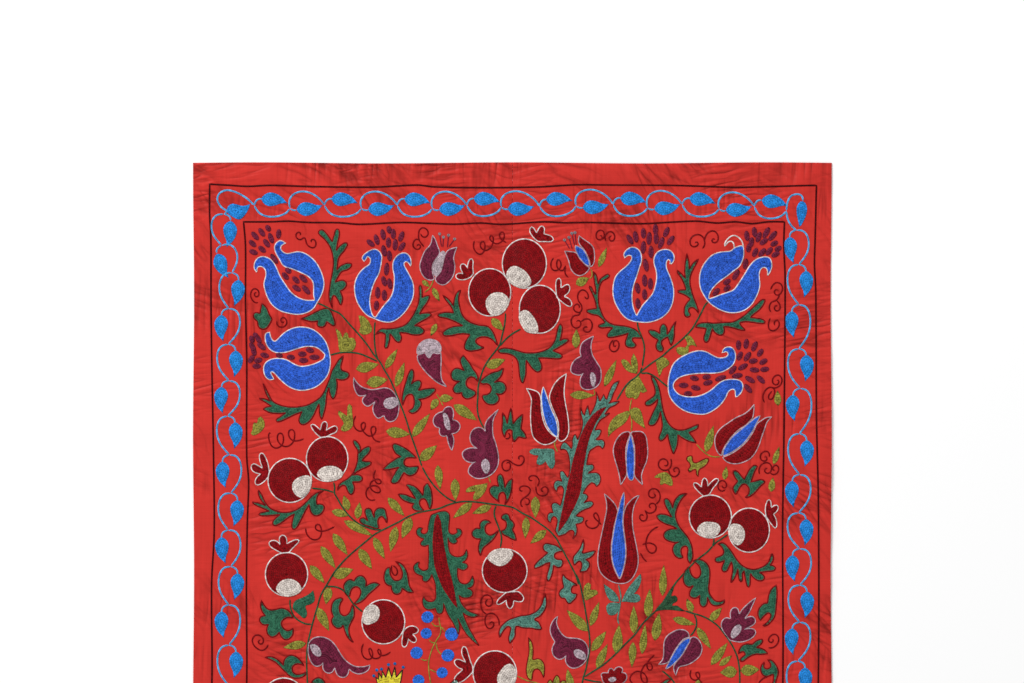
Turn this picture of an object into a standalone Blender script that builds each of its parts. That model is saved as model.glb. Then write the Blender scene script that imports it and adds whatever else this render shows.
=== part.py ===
"""A suzani hanging, laid out face up: two loom widths of red satin-faced cloth, sewn edge to edge.

Run it with blender --background --python part.py, or from Blender's text editor.

Units are metres and +Z is up. The origin is the middle of the cloth's underside, and its top edge is
towards +Y. The cloth lies on the surface, flat where it touches, and lifts off it along soft folds.
"""

import math

import bmesh
import bpy
from mathutils import Vector

# Driving dimensions
CLOTH_WIDTH = 1.00
CLOTH_LENGTH = 1.50
CLOTH_THICKNESS = 0.002
SEAM_GAP = 0.0003  # between the two sewn edges

# How finely each panel is divided
CELLS_ACROSS = 24
CELLS_ALONG = 72

# The edges are drawn in by up to this much, in slow waves
EDGE_PULL = 0.0016
SIDE_WAVES = 3.5
END_WAVES = 2.5

# Cloth
CLOTH_COLOUR = (0.578, 0.038, 0.030, 1.0)
CLOTH_ROUGHNESS = 0.5

# The main folds, each a soft ridge. A fold runs from one point to another, both measured from the middle
# of the top edge: metres to the right, then metres down the cloth. The last two are foot width and height.
MAIN_FOLDS = (
    # drag lines across the top margin, from the left corner down into the border
    (-0.450, 0.010, -0.200, 0.072, 0.062, 0.0040),
    (-0.320, 0.088, -0.140, 0.150, 0.060, 0.0035),
    # down the left margin from the corner
    (-0.490, 0.020, -0.462, 0.180, 0.060, 0.0030),
    # along the right half of the top margin, and across the right corner
    (0.020, 0.018, 0.330, 0.024, 0.060, 0.0035),
    (0.490, 0.005, 0.420, 0.072, 0.060, 0.0030),
    # below the top border on the right
    (0.220, 0.136, 0.400, 0.130, 0.060, 0.0030),
    # slack in the field
    (-0.150, 0.300, 0.060, 0.420, 0.100, 0.0030),
    (0.170, 0.420, 0.330, 0.640, 0.090, 0.0025),
    (-0.385, 0.440, -0.375, 0.840, 0.064, 0.0028),
    # the cloth was stored folded in three: a crease a third of the way down, and one two thirds down
    (-0.420, 0.500, 0.060, 0.510, 0.060, 0.0028),
    (0.020, 0.506, 0.400, 0.518, 0.060, 0.0028),
    (-0.380, 1.004, 0.360, 0.996, 0.060, 0.0028),
    # the right margin stands a little proud of the surface
    (0.484, 0.180, 0.488, 0.780, 0.060, 0.0030),
    (0.436, 0.580, 0.440, 0.840, 0.060, 0.0022),
    # slack towards the bottom edge
    (-0.440, 1.220, -0.240, 1.420, 0.080, 0.0038),
    (0.160, 1.400, 0.440, 1.330, 0.070, 0.0036),
    (-0.200, 1.480, 0.160, 1.486, 0.060, 0.0032),
)


def clear_scene():
    """Remove every object, so that the script gives the same cloth wherever it is run."""
    for item in list(bpy.data.objects):
        bpy.data.objects.remove(item, do_unlink=True)


def fold_height(point, fold):
    """How far one fold lifts the cloth at a point: a round-backed ridge that dies away at both ends."""
    start, end = Vector(fold[0:2]), Vector(fold[2:4])
    foot_width, height = fold[4:6]
    run = end - start
    offset = point - (start + end) / 2
    along = abs(offset.dot(run.normalized())) / (run.length / 2)
    across = abs(offset.cross(run.normalized())) / (foot_width / 2)
    if along >= 1 or across >= 1:
        return 0.0
    return height * (1 - along**2) ** 2 * (0.5 + 0.5 * math.cos(math.pi * across))


def lift(right, down):
    """Height of the cloth's underside over the surface."""
    point = Vector((right, down))
    return sum(fold_height(point, fold) for fold in MAIN_FOLDS)


def drawn_in(position, length, waves):
    """How far an edge is drawn in at a position along it."""
    return EDGE_PULL * (0.5 - 0.5 * math.cos(2 * math.pi * waves * position / length))


def lay_vertex(right, down):
    """Place of a grid point on the lying cloth, with uneven edges and folds."""
    side_scale = 1 - drawn_in(down, CLOTH_LENGTH, SIDE_WAVES) / (CLOTH_WIDTH / 2)
    end_scale = 1 - drawn_in(right, CLOTH_WIDTH, END_WAVES) / (CLOTH_LENGTH / 2)
    upward = (CLOTH_LENGTH / 2 - down) * end_scale
    return Vector((right * side_scale, upward, lift(right, down)))


def cloth_material():
    material = bpy.data.materials.new("red satin cloth")
    material.use_nodes = True
    shader = material.node_tree.nodes["Principled BSDF"]
    shader.inputs["Base Color"].default_value = CLOTH_COLOUR
    shader.inputs["Roughness"].default_value = CLOTH_ROUGHNESS
    shader.inputs["Metallic"].default_value = 0.0
    material.diffuse_color = CLOTH_COLOUR
    return material


def make_panel(name, side, material):
    """One loom width of cloth. side is -1 for the left panel and 1 for the right one."""
    panel_width = (CLOTH_WIDTH - SEAM_GAP) / 2
    centre = side * (CLOTH_WIDTH - panel_width) / 2
    sheet = bmesh.new()
    bmesh.ops.create_grid(sheet, x_segments=CELLS_ACROSS, y_segments=CELLS_ALONG, size=0.5)
    bmesh.ops.scale(sheet, vec=(panel_width, CLOTH_LENGTH, 1), verts=sheet.verts)
    bmesh.ops.translate(sheet, vec=(centre, 0, 0), verts=sheet.verts)
    for vertex in sheet.verts:
        vertex.co = lay_vertex(vertex.co.x, CLOTH_LENGTH / 2 - vertex.co.y)
    raised = bmesh.ops.extrude_face_region(sheet, geom=sheet.faces[:], use_keep_orig=True)
    top = [item for item in raised["geom"] if isinstance(item, bmesh.types.BMVert)]
    bmesh.ops.translate(sheet, vec=(0, 0, CLOTH_THICKNESS), verts=top)
    bmesh.ops.triangulate(sheet, faces=sheet.faces[:])
    bmesh.ops.recalc_face_normals(sheet, faces=sheet.faces[:])
    mesh = bpy.data.meshes.new(name)
    sheet.to_mesh(mesh)
    sheet.free()
    mesh.shade_smooth()
    mesh.set_sharp_from_angle(angle=math.radians(40))
    mesh.materials.append(material)
    panel = bpy.data.objects.new(name, mesh)
    bpy.context.scene.collection.objects.link(panel)


def main():
    clear_scene()
    material = cloth_material()
    make_panel("panel_left", -1, material)
    make_panel("panel_right", 1, material)


main()
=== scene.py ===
"""A suzani laid out face up: red satin cloth worked all over in silk chain stitch.

The cloth is two loom widths sewn edge to edge. The needlework is charted in centimetres, as a maker marks
it on the cloth: first how far right of the middle of the top edge, then how far down from it.
"""

import math

import bmesh
import bpy
import numpy as np
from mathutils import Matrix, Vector, geometry


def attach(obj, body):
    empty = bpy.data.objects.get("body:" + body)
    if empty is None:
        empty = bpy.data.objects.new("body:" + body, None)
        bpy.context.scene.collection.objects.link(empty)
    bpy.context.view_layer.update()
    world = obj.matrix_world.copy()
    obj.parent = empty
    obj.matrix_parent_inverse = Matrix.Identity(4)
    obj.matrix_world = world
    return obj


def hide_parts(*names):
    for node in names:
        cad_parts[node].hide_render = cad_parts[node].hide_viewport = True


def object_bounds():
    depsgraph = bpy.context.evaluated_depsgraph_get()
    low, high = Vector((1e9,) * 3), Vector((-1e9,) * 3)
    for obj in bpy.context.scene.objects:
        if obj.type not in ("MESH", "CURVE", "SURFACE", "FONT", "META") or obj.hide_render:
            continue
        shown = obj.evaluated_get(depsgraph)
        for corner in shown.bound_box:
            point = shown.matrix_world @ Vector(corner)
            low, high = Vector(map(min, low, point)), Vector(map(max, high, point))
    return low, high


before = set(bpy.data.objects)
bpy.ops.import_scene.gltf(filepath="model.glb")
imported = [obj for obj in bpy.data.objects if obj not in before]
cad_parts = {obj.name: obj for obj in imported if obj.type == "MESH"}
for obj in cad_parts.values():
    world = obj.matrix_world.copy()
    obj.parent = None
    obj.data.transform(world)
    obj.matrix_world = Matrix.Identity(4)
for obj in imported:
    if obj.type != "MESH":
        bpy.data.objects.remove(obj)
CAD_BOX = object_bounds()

bl_info = {
    "name": "Suzani",
    "version": (1, 0, 0),
    "blender": (4, 5, 0),
    "location": "3D View > Sidebar > Suzani",
    "description": "Lays out an embroidered suzani of two loom widths, with its chain-stitch needlework",
    "category": "Object",
}

CM = 0.01
MM = 0.001
CLOTH_WIDTH = CAD_BOX[1].x - CAD_BOX[0].x
CLOTH_LENGTH = CAD_BOX[1].y - CAD_BOX[0].y
TOP_EDGE = CAD_BOX[1].y
BODY = "root"
STITCH_MAP = "stitches"

# The cloth, as its solid gives it
CLOTH_THICKNESS = 2.0 * MM
SEAM_GAP = 0.3 * MM
EDGE_PULL = 1.6 * MM
SIDE_WAVES = 3.5
END_WAVES = 2.5

# Main folds of the solid: from and to (metres right, metres down), foot width, height
MAIN_FOLDS = (
    (-0.450, 0.010, -0.200, 0.072, 0.062, 0.0040),
    (-0.320, 0.088, -0.140, 0.150, 0.060, 0.0035),
    (-0.490, 0.020, -0.462, 0.180, 0.060, 0.0030),
    (0.020, 0.018, 0.330, 0.024, 0.060, 0.0035),
    (0.490, 0.005, 0.420, 0.072, 0.060, 0.0030),
    (0.220, 0.136, 0.400, 0.130, 0.060, 0.0030),
    (-0.150, 0.300, 0.060, 0.420, 0.100, 0.0030),
    (0.170, 0.420, 0.330, 0.640, 0.090, 0.0025),
    (-0.385, 0.440, -0.375, 0.840, 0.064, 0.0028),
    (-0.420, 0.500, 0.060, 0.510, 0.060, 0.0028),
    (0.020, 0.506, 0.400, 0.518, 0.060, 0.0028),
    (-0.380, 1.004, 0.360, 0.996, 0.060, 0.0028),
    (0.484, 0.180, 0.488, 0.780, 0.060, 0.0030),
    (0.436, 0.580, 0.440, 0.840, 0.060, 0.0022),
    (-0.440, 1.220, -0.240, 1.420, 0.080, 0.0038),
    (0.160, 1.400, 0.440, 1.330, 0.070, 0.0036),
    (-0.200, 1.480, 0.160, 1.486, 0.060, 0.0032),
)
# Sharp creases and puckers, in the same form. A negative height is a trough.
CREASES = (
    # drag lines in the left half of the top margin
    (-0.410, 0.004, -0.280, 0.030, 0.014, -0.0008),
    (-0.400, 0.018, -0.230, 0.046, 0.016, -0.0013),
    (-0.350, 0.026, -0.240, 0.044, 0.010, 0.0008),
    (-0.280, 0.012, -0.120, 0.030, 0.012, -0.0006),
    (-0.300, 0.046, -0.180, 0.058, 0.012, -0.0007),
    # down the left margin and through the corner of the border
    (-0.492, 0.024, -0.470, 0.130, 0.012, -0.0009),
    (-0.480, 0.030, -0.468, 0.100, 0.009, 0.0005),
    (-0.455, 0.050, -0.415, 0.075, 0.010, -0.0007),
    (-0.440, 0.048, -0.400, 0.090, 0.011, -0.0009),
    (-0.300, 0.094, -0.190, 0.138, 0.012, -0.0009),
    (-0.355, 0.090, -0.290, 0.118, 0.010, -0.0006),
    # drawn in at the top of the seam
    (-0.004, 0.004, -0.011, 0.036, 0.007, -0.0010),
    (0.008, 0.002, 0.004, 0.038, 0.007, -0.0009),
    (0.025, 0.004, 0.014, 0.034, 0.008, -0.0009),
    (-0.020, 0.012, -0.032, 0.034, 0.008, -0.0007),
    (0.052, 0.006, 0.066, 0.028, 0.008, -0.0006),
    # right half of the top margin
    (0.060, 0.016, 0.200, 0.020, 0.014, -0.0010),
    (0.110, 0.008, 0.260, 0.014, 0.012, 0.0007),
    (0.180, 0.006, 0.205, 0.026, 0.010, -0.0009),
    (0.240, 0.020, 0.330, 0.010, 0.012, -0.0008),
    (0.488, 0.012, 0.440, 0.050, 0.010, -0.0009),
    (0.494, 0.020, 0.468, 0.046, 0.008, 0.0005),
    # below the top border
    (0.250, 0.138, 0.330, 0.132, 0.012, -0.0008),
    (0.140, 0.160, 0.185, 0.165, 0.010, -0.0006),
    (-0.260, 0.112, -0.215, 0.136, 0.010, -0.0009),
    # storage creases, sharper than the soft swell that they sit on
    (-0.300, 0.5020, 0.010, 0.5040, 0.008, -0.0011),
    (-0.010, 0.5060, 0.170, 0.5170, 0.008, -0.0011),
    (0.160, 0.5260, 0.290, 0.5120, 0.008, -0.0010),
    (-0.400, 1.0040, 0.380, 0.9960, 0.008, -0.0011),
    # slack in the side margins and between the motifs
    (0.489, 0.200, 0.492, 0.500, 0.010, -0.0009),
    (0.486, 0.450, 0.489, 0.800, 0.010, -0.0009),
    (0.434, 0.620, 0.430, 0.790, 0.012, -0.0008),
    (-0.388, 0.480, -0.384, 0.640, 0.012, -0.0007),
    (-0.386, 0.620, -0.382, 0.830, 0.014, -0.0007),
    (-0.176, 0.285, -0.130, 0.315, 0.012, -0.0007),
    (-0.180, 0.310, -0.150, 0.320, 0.010, -0.0006),
    (-0.070, 0.440, -0.020, 0.425, 0.010, -0.0006),
    (-0.345, 0.370, -0.365, 0.350, 0.010, -0.0008),
    (0.245, 0.225, 0.275, 0.240, 0.008, -0.0005),
)
# Slow unevenness all over, and fine ripples round the worked motifs
SLACK_HEIGHT = 0.5 * MM
RIPPLE_HEIGHT = 0.55 * MM
RIPPLE_SPACING = 11 * MM
RIPPLE_REACH = 13 * MM

# Needlework
PANEL_CELL = 4.6 * MM
FILL_CELL = 3.5 * MM
LINE_STEP = 3.0 * MM
LINE_SIDES = 5
ROW_PITCH = 3.1 * MM
LINK_LENGTH = 4.6 * MM
FILL_RISE = 0.9 * MM
FILL_EDGE_RISE = 0.45 * MM
LINE_RISE = 1.1 * MM
SUNK = 0.3 * MM  # how far the underside of the stitching sits in the cloth
OUTLINE_WIDTH = 2.6 * MM
SEAM_STITCH = 9 * MM
TURN_LENGTH = 150.0  # the cloth's length on the chart
VIEW_WIDTH = 1.604
VIEW_CENTRE = (-0.0006, 0.2805)


# ---------------------------------------------------------------- the chart, in centimetres
#
# A point is (right, down). A third number marks a sharp corner.

# Open pomegranates: the outline of the blue fruit, and its seeds as (right, down, turn, length)
OPEN_POMEGRANATES = [
    (
        [(-35.5, 12.65, 1), (-36.3, 12.25), (-36.95, 12.6), (-37.25, 13.3), (-37, 14.25), (-36.5, 15.1),
         (-35.8, 16.2), (-34.4, 16.7), (-33, 17.3), (-31.9, 17.9), (-31.2, 18.8), (-31.1, 20.9),
         (-30.9, 21.6, 1), (-32.3, 21.6), (-33.6, 21.15), (-34.7, 20.3), (-35.6, 19.05), (-36.4, 17.8),
         (-37, 16.4), (-37.6, 15.45), (-38.3, 14.95), (-39.3, 14.75), (-40.15, 15.3), (-40.45, 16.5),
         (-40, 17.25, 1), (-39.9, 16.4), (-39.25, 16.3), (-38.7, 16.8), (-38.6, 17.7), (-38.9, 19),
         (-38.7, 20.1), (-38.2, 21.4), (-37.5, 22.4), (-36.4, 23.2), (-35.1, 23.6), (-33.6, 23.8),
         (-32.3, 23.55), (-31.2, 22.9), (-30.6, 21.95), (-29.85, 20.6), (-29.5, 19), (-29.85, 17.4),
         (-30.6, 15.9), (-31.4, 15), (-32.5, 14.25), (-33.6, 14), (-35.3, 14.3), (-35.95, 14),
         (-36.3, 13.45), (-36.1, 12.95)],
        [(-40.3, 11.5, 50, 1.6), (-39.25, 10.95, 55, 1.5), (-38.25, 10.3, 60, 1.1), (-37.8, 11.85, 70, 1.7),
         (-36.6, 11.2, 95, 1.5), (-40.7, 12.7, 40, 1.4), (-38.5, 12.65, 55, 1.5), (-39.2, 13.6, 40, 1.4),
         (-40.55, 14.05, 20, 1.4), (-37.3, 15.1, 55, 1.8), (-35.55, 17.8, 50, 1.4), (-35.1, 16.95, 40, 1.1),
         (-33.9, 18.4, 45, 1.4), (-32.75, 18.2, 45, 1.6), (-33.8, 19.7, 30, 1.5), (-32.3, 19.95, 50, 1.7)],
    ),
    (
        [(-23.2, 15.5, 1), (-23.55, 14.97), (-23.15, 14.4), (-22.35, 13.85), (-21.5, 13.6), (-20.8, 14),
         (-20.45, 14.7), (-20.5, 15.5), (-20.6, 16.1), (-20.9, 17.4), (-21.5, 18.5), (-21.9, 19.5),
         (-22.2, 20.6), (-22.35, 21.7), (-22.2, 23), (-21.8, 24.1), (-21.4, 24.3, 1), (-20.9, 23.5),
         (-20.1, 22.4), (-19.1, 21.2), (-18.65, 20.1), (-18.5, 18.8), (-18.5, 17.7), (-18.7, 16.7),
         (-18.65, 15.6), (-18.1, 14.7), (-17.4, 14.25), (-16.6, 14.25), (-16, 14.9), (-15.85, 15.9),
         (-15.95, 16.25, 1), (-16.2, 15.8), (-16.7, 15.5), (-17, 15.9), (-16.7, 16.6), (-16.1, 17.7),
         (-15.6, 18.8), (-15.45, 19.95), (-15.6, 21.2), (-16.2, 22.5), (-17, 23.6), (-18, 24.5),
         (-19.1, 25), (-20.4, 24.9), (-21.5, 24.5), (-22.7, 23.95), (-23.6, 23), (-24.35, 21.7),
         (-24.7, 20.1), (-24.6, 18.7), (-24, 17.4), (-23.15, 16.5), (-22.4, 16), (-22.2, 15.5),
         (-22.2, 15.1), (-22.7, 14.7), (-22.9, 15.1)],
        [(-22.2, 12.65, 40, 1.5), (-21.25, 12.1, 75, 1.7), (-20.25, 11.3, 80, 1.7), (-19.3, 10.55, 80, 1.2),
         (-18.65, 11.2, 90, 1.6), (-17.4, 11.6, 110, 1.7), (-19.4, 12.55, 90, 1.6), (-18.35, 12.9, 95, 1.8),
         (-17.3, 13.2, 125, 1.6), (-20.1, 13.85, 80, 1.8), (-19.25, 14.65, 85, 1.7), (-19.7, 16.7, 95, 2),
         (-20.1, 18.6, 75, 1.6), (-19.2, 19, 80, 1.7), (-21.1, 20.4, 90, 1.8), (-20.05, 20.8, 90, 1.7),
         (-21.3, 22.4, 95, 1.5)],
    ),
    (
        [(-38, 26.6, 1), (-38.6, 26.8), (-38.7, 27.7), (-38.45, 28.6), (-37.8, 29.4), (-36.8, 29.8),
         (-35.4, 29.7), (-34.1, 29.3), (-32.8, 28.9), (-31.7, 28.8), (-30.6, 29), (-29.8, 29.6),
         (-29.3, 30.1, 1), (-29.6, 30.8), (-30.75, 31.45), (-31.85, 31.8), (-33.15, 31.95), (-33.95, 31.7),
         (-34.6, 31.35), (-35.3, 30.95), (-36.5, 30.7), (-37.6, 30.8), (-38.5, 31.25), (-38.9, 31.9),
         (-38.95, 32.5), (-38.85, 33.05), (-38.55, 33.7), (-37.9, 34.05), (-37.35, 33.9, 1), (-37.75, 33.2),
         (-37.9, 32.9), (-37.65, 32.75), (-37.2, 33.05), (-36.5, 33.85), (-35.75, 34.55), (-34.85, 35.2),
         (-33.8, 35.6), (-32.85, 35.7), (-31.7, 35.5), (-30.6, 35.05), (-29.65, 34.25), (-28.9, 33.2),
         (-28.55, 31.9), (-28.5, 30.95), (-28.65, 29.9), (-28.9, 28.9), (-29.3, 28), (-30.1, 27),
         (-31.2, 26.2), (-32.3, 25.85), (-33.6, 25.8), (-34.9, 26.2), (-35.9, 26.85), (-36.7, 27.65),
         (-37.2, 28.05), (-37.6, 27.8), (-37.9, 27.2)],
        [(-40.8, 27.7, 70, 1.2), (-40.2, 27.1, 50, 1), (-39.8, 27.65, 60, 1.6), (-40.7, 28.9, 60, 1.6),
         (-39.3, 28.8, 40, 1.6), (-40.5, 29.6, 70, 1.4), (-38.8, 30.2, 15, 1.4), (-40.9, 30.8, 125, 1.4),
         (-39.8, 31, 165, 1.3), (-40.05, 31.9, 0, 1.3), (-36.5, 30.2, 15, 1.1), (-34.7, 30.5, 5, 1.3),
         (-32.9, 30, 0, 1.3), (-32.7, 31, 0, 1.4), (-31.7, 29.4, 15, 1.3), (-31, 30.5, 0, 1.6)],
    ),
    (
        [(17.6, 14.95, 1), (17.45, 14.4), (17.85, 13.75), (18.65, 13.3), (19.45, 13.45), (20, 14),
         (20.2, 14.7), (20.2, 15.5), (19.95, 16.25), (19.5, 17.7), (19, 19.15), (18.75, 20.4),
         (18.75, 21.7), (19, 23), (19.45, 24.05, 1), (19.8, 23.4), (20.4, 22.4), (21.3, 21.4), (22, 20.5),
         (22.4, 19.3), (22.6, 18), (22.5, 16.9), (22.2, 15.9), (22.2, 15), (22.6, 14.2), (23.3, 13.75),
         (24.2, 13.65), (24.9, 13.95), (25.3, 14.6), (25.3, 15.3), (24.95, 15.85), (24.65, 15.95, 1),
         (24.75, 15.4), (24.4, 15.2), (24.1, 15.7), (24.15, 16.6), (24.6, 17.7), (25, 18.8), (25.25, 20),
         (25.2, 21.3), (24.9, 22.5), (24.3, 23.5), (23.4, 24.3), (22.3, 24.8), (21.1, 25.05), (20, 25),
         (18.9, 24.85), (18, 24.5), (17.2, 23.8), (16.55, 22.85), (16, 21.7), (15.75, 20.4), (15.85, 18.95),
         (16.2, 17.85), (16.9, 17.05), (17.7, 16.4), (18.3, 15.8), (18.7, 15.1), (18.6, 14.6), (18, 14.6)],
        [(18.4, 12.05, 60, 1.7), (19.3, 11.65, 80, 1.8), (20.5, 11.1, 90, 1.6), (22.4, 10.5, 90, 1.7),
         (24.1, 10.9, 115, 1.7), (21.4, 11.9, 95, 2), (22.5, 11.9, 90, 1.8), (23.3, 12.6, 110, 1.9),
         (24.8, 12.2, 125, 1.7), (20.5, 13.3, 95, 2), (21.7, 14, 90, 1.9), (20.9, 16.1, 80, 2),
         (20.7, 18.5, 88, 1.9), (21.6, 19, 90, 1.8), (20.7, 20.7, 88, 1.7), (19.6, 19.7, 80, 1.7),
         (19.65, 22.1, 85, 1.7)],
    ),
    (
        [(34.7, 13.45), (35.3, 13.2), (36, 13.05), (36.2, 13.6), (36.2, 14.6), (36, 15.4), (35.5, 16.3),
         (34.6, 17), (33.6, 17.8), (32.6, 18.5), (31.8, 19.2), (31.2, 19.9), (30.8, 20.7), (30.75, 21.4, 1),
         (31.4, 21.2), (32.4, 20.8), (33.6, 20.4), (34.6, 20), (35.2, 19.3), (35.8, 18.4), (36.5, 17.3),
         (37.1, 16.3), (37.8, 15.5), (38.6, 15), (39.6, 14.8), (40.3, 15), (40.6, 15.8), (40.6, 16.5),
         (40.3, 17.2), (39.95, 17.8, 1), (39.95, 17), (39.7, 16.5), (39.1, 16.5), (38.7, 17.1), (38.65, 18),
         (38.75, 19), (38.6, 20), (38.1, 21.2), (37.4, 22.3), (36.4, 23.1), (35.2, 23.5), (33.9, 23.5),
         (32.6, 23.1), (31.4, 22.4), (30.6, 21.7), (30, 20.8), (29.5, 19.8), (29.3, 18.6), (29.4, 17.4),
         (29.8, 16.3), (30.4, 15.4), (31.2, 14.6), (32.2, 14.15), (33.2, 14), (34.2, 13.9)],
        [(36.7, 11.5, 85, 1.6), (37.9, 10.9, 85, 1.6), (38.55, 11.7, 110, 1.7), (39.75, 11, 120, 1.9),
         (40.75, 11.5, 130, 1.9), (37.4, 12.5, 100, 1.6), (39.35, 12.4, 145, 1.5), (41, 12.7, 150, 1.3),
         (37, 13.4, 100, 1.4), (38, 14.1, 115, 1.5), (39.1, 14.1, 130, 1.6), (40.2, 13.9, 130, 1.5),
         (41.6, 13.5, 150, 1.2), (41.2, 14.4, 150, 1.4), (36.5, 15.9, 100, 1.7), (35, 17.6, 120, 1.8),
         (33.6, 18.7, 145, 1.3), (33.6, 19.7, 135, 1.3), (31.9, 20.3, 130, 1.5)],
    ),
    (
        [(32.85, 29.8, 1), (33.1, 29.2), (33.8, 28.9), (34.5, 29.1), (34.9, 29.9), (34.9, 30.8),
         (34.5, 31.7), (33.8, 32.3), (32.8, 32.8), (31.5, 33), (30, 33), (28.5, 33.1), (27.2, 33.3),
         (26.1, 33.7), (25.4, 34.3), (25.15, 35), (25.5, 35.8), (26.2, 36.4), (27.3, 36.7), (28.7, 36.7),
         (30, 36.3), (31.2, 35.6), (32.1, 34.8), (33, 34.2), (34, 34), (35, 34), (35.8, 34.3), (36.1, 35),
         (35.9, 35.9), (35.4, 36.5), (35, 36.8, 1), (34.9, 36.2), (34.9, 35.7), (34.4, 35.5), (33.8, 35.9),
         (33.4, 36.8), (32.6, 37.9), (31.5, 38.8), (30.2, 39.4), (28.9, 39.4), (27.5, 39.1), (26.3, 38.5),
         (25.3, 37.6), (24.6, 36.5), (24.4, 35.3), (24.45, 34), (24.75, 32.7), (25.2, 31.6), (26, 30.8),
         (27, 30.2), (28.2, 29.7), (29.4, 29.5), (30.4, 29.7), (31.3, 30.2), (32.2, 30.6), (33, 30.6),
         (33.6, 30.4), (33.8, 29.95), (33.5, 29.6), (33.2, 29.7)],
        [(35.4, 28.6, 90, 1.5), (36.6, 28.4, 100, 1.6), (37.9, 28.8, 115, 1.7), (38.8, 29.8, 125, 1.4),
         (35.6, 30.3, 115, 1.5), (36.8, 30.4, 125, 1.7), (37.7, 31.1, 170, 1.4), (39.3, 31.2, 150, 1.4),
         (34.5, 32.5, 130, 1.6), (36.1, 32, 150, 1.7), (37.9, 32.5, 5, 1.5), (39.5, 32.4, 170, 1.4),
         (35.2, 33.4, 170, 1.7), (37.2, 34, 30, 1.7), (38.9, 34, 45, 1.6), (36.9, 35.4, 50, 1.7),
         (28.5, 33.8, 10, 1.4), (30.4, 33.6, 170, 1.3), (32.6, 33.8, 160, 1.8), (26.8, 34.9, 0, 1.5),
         (28.7, 35.3, 10, 1.5), (30.6, 34.5, 165, 1.5), (27.5, 36.2, 0, 1.3)],
    ),
]

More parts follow.
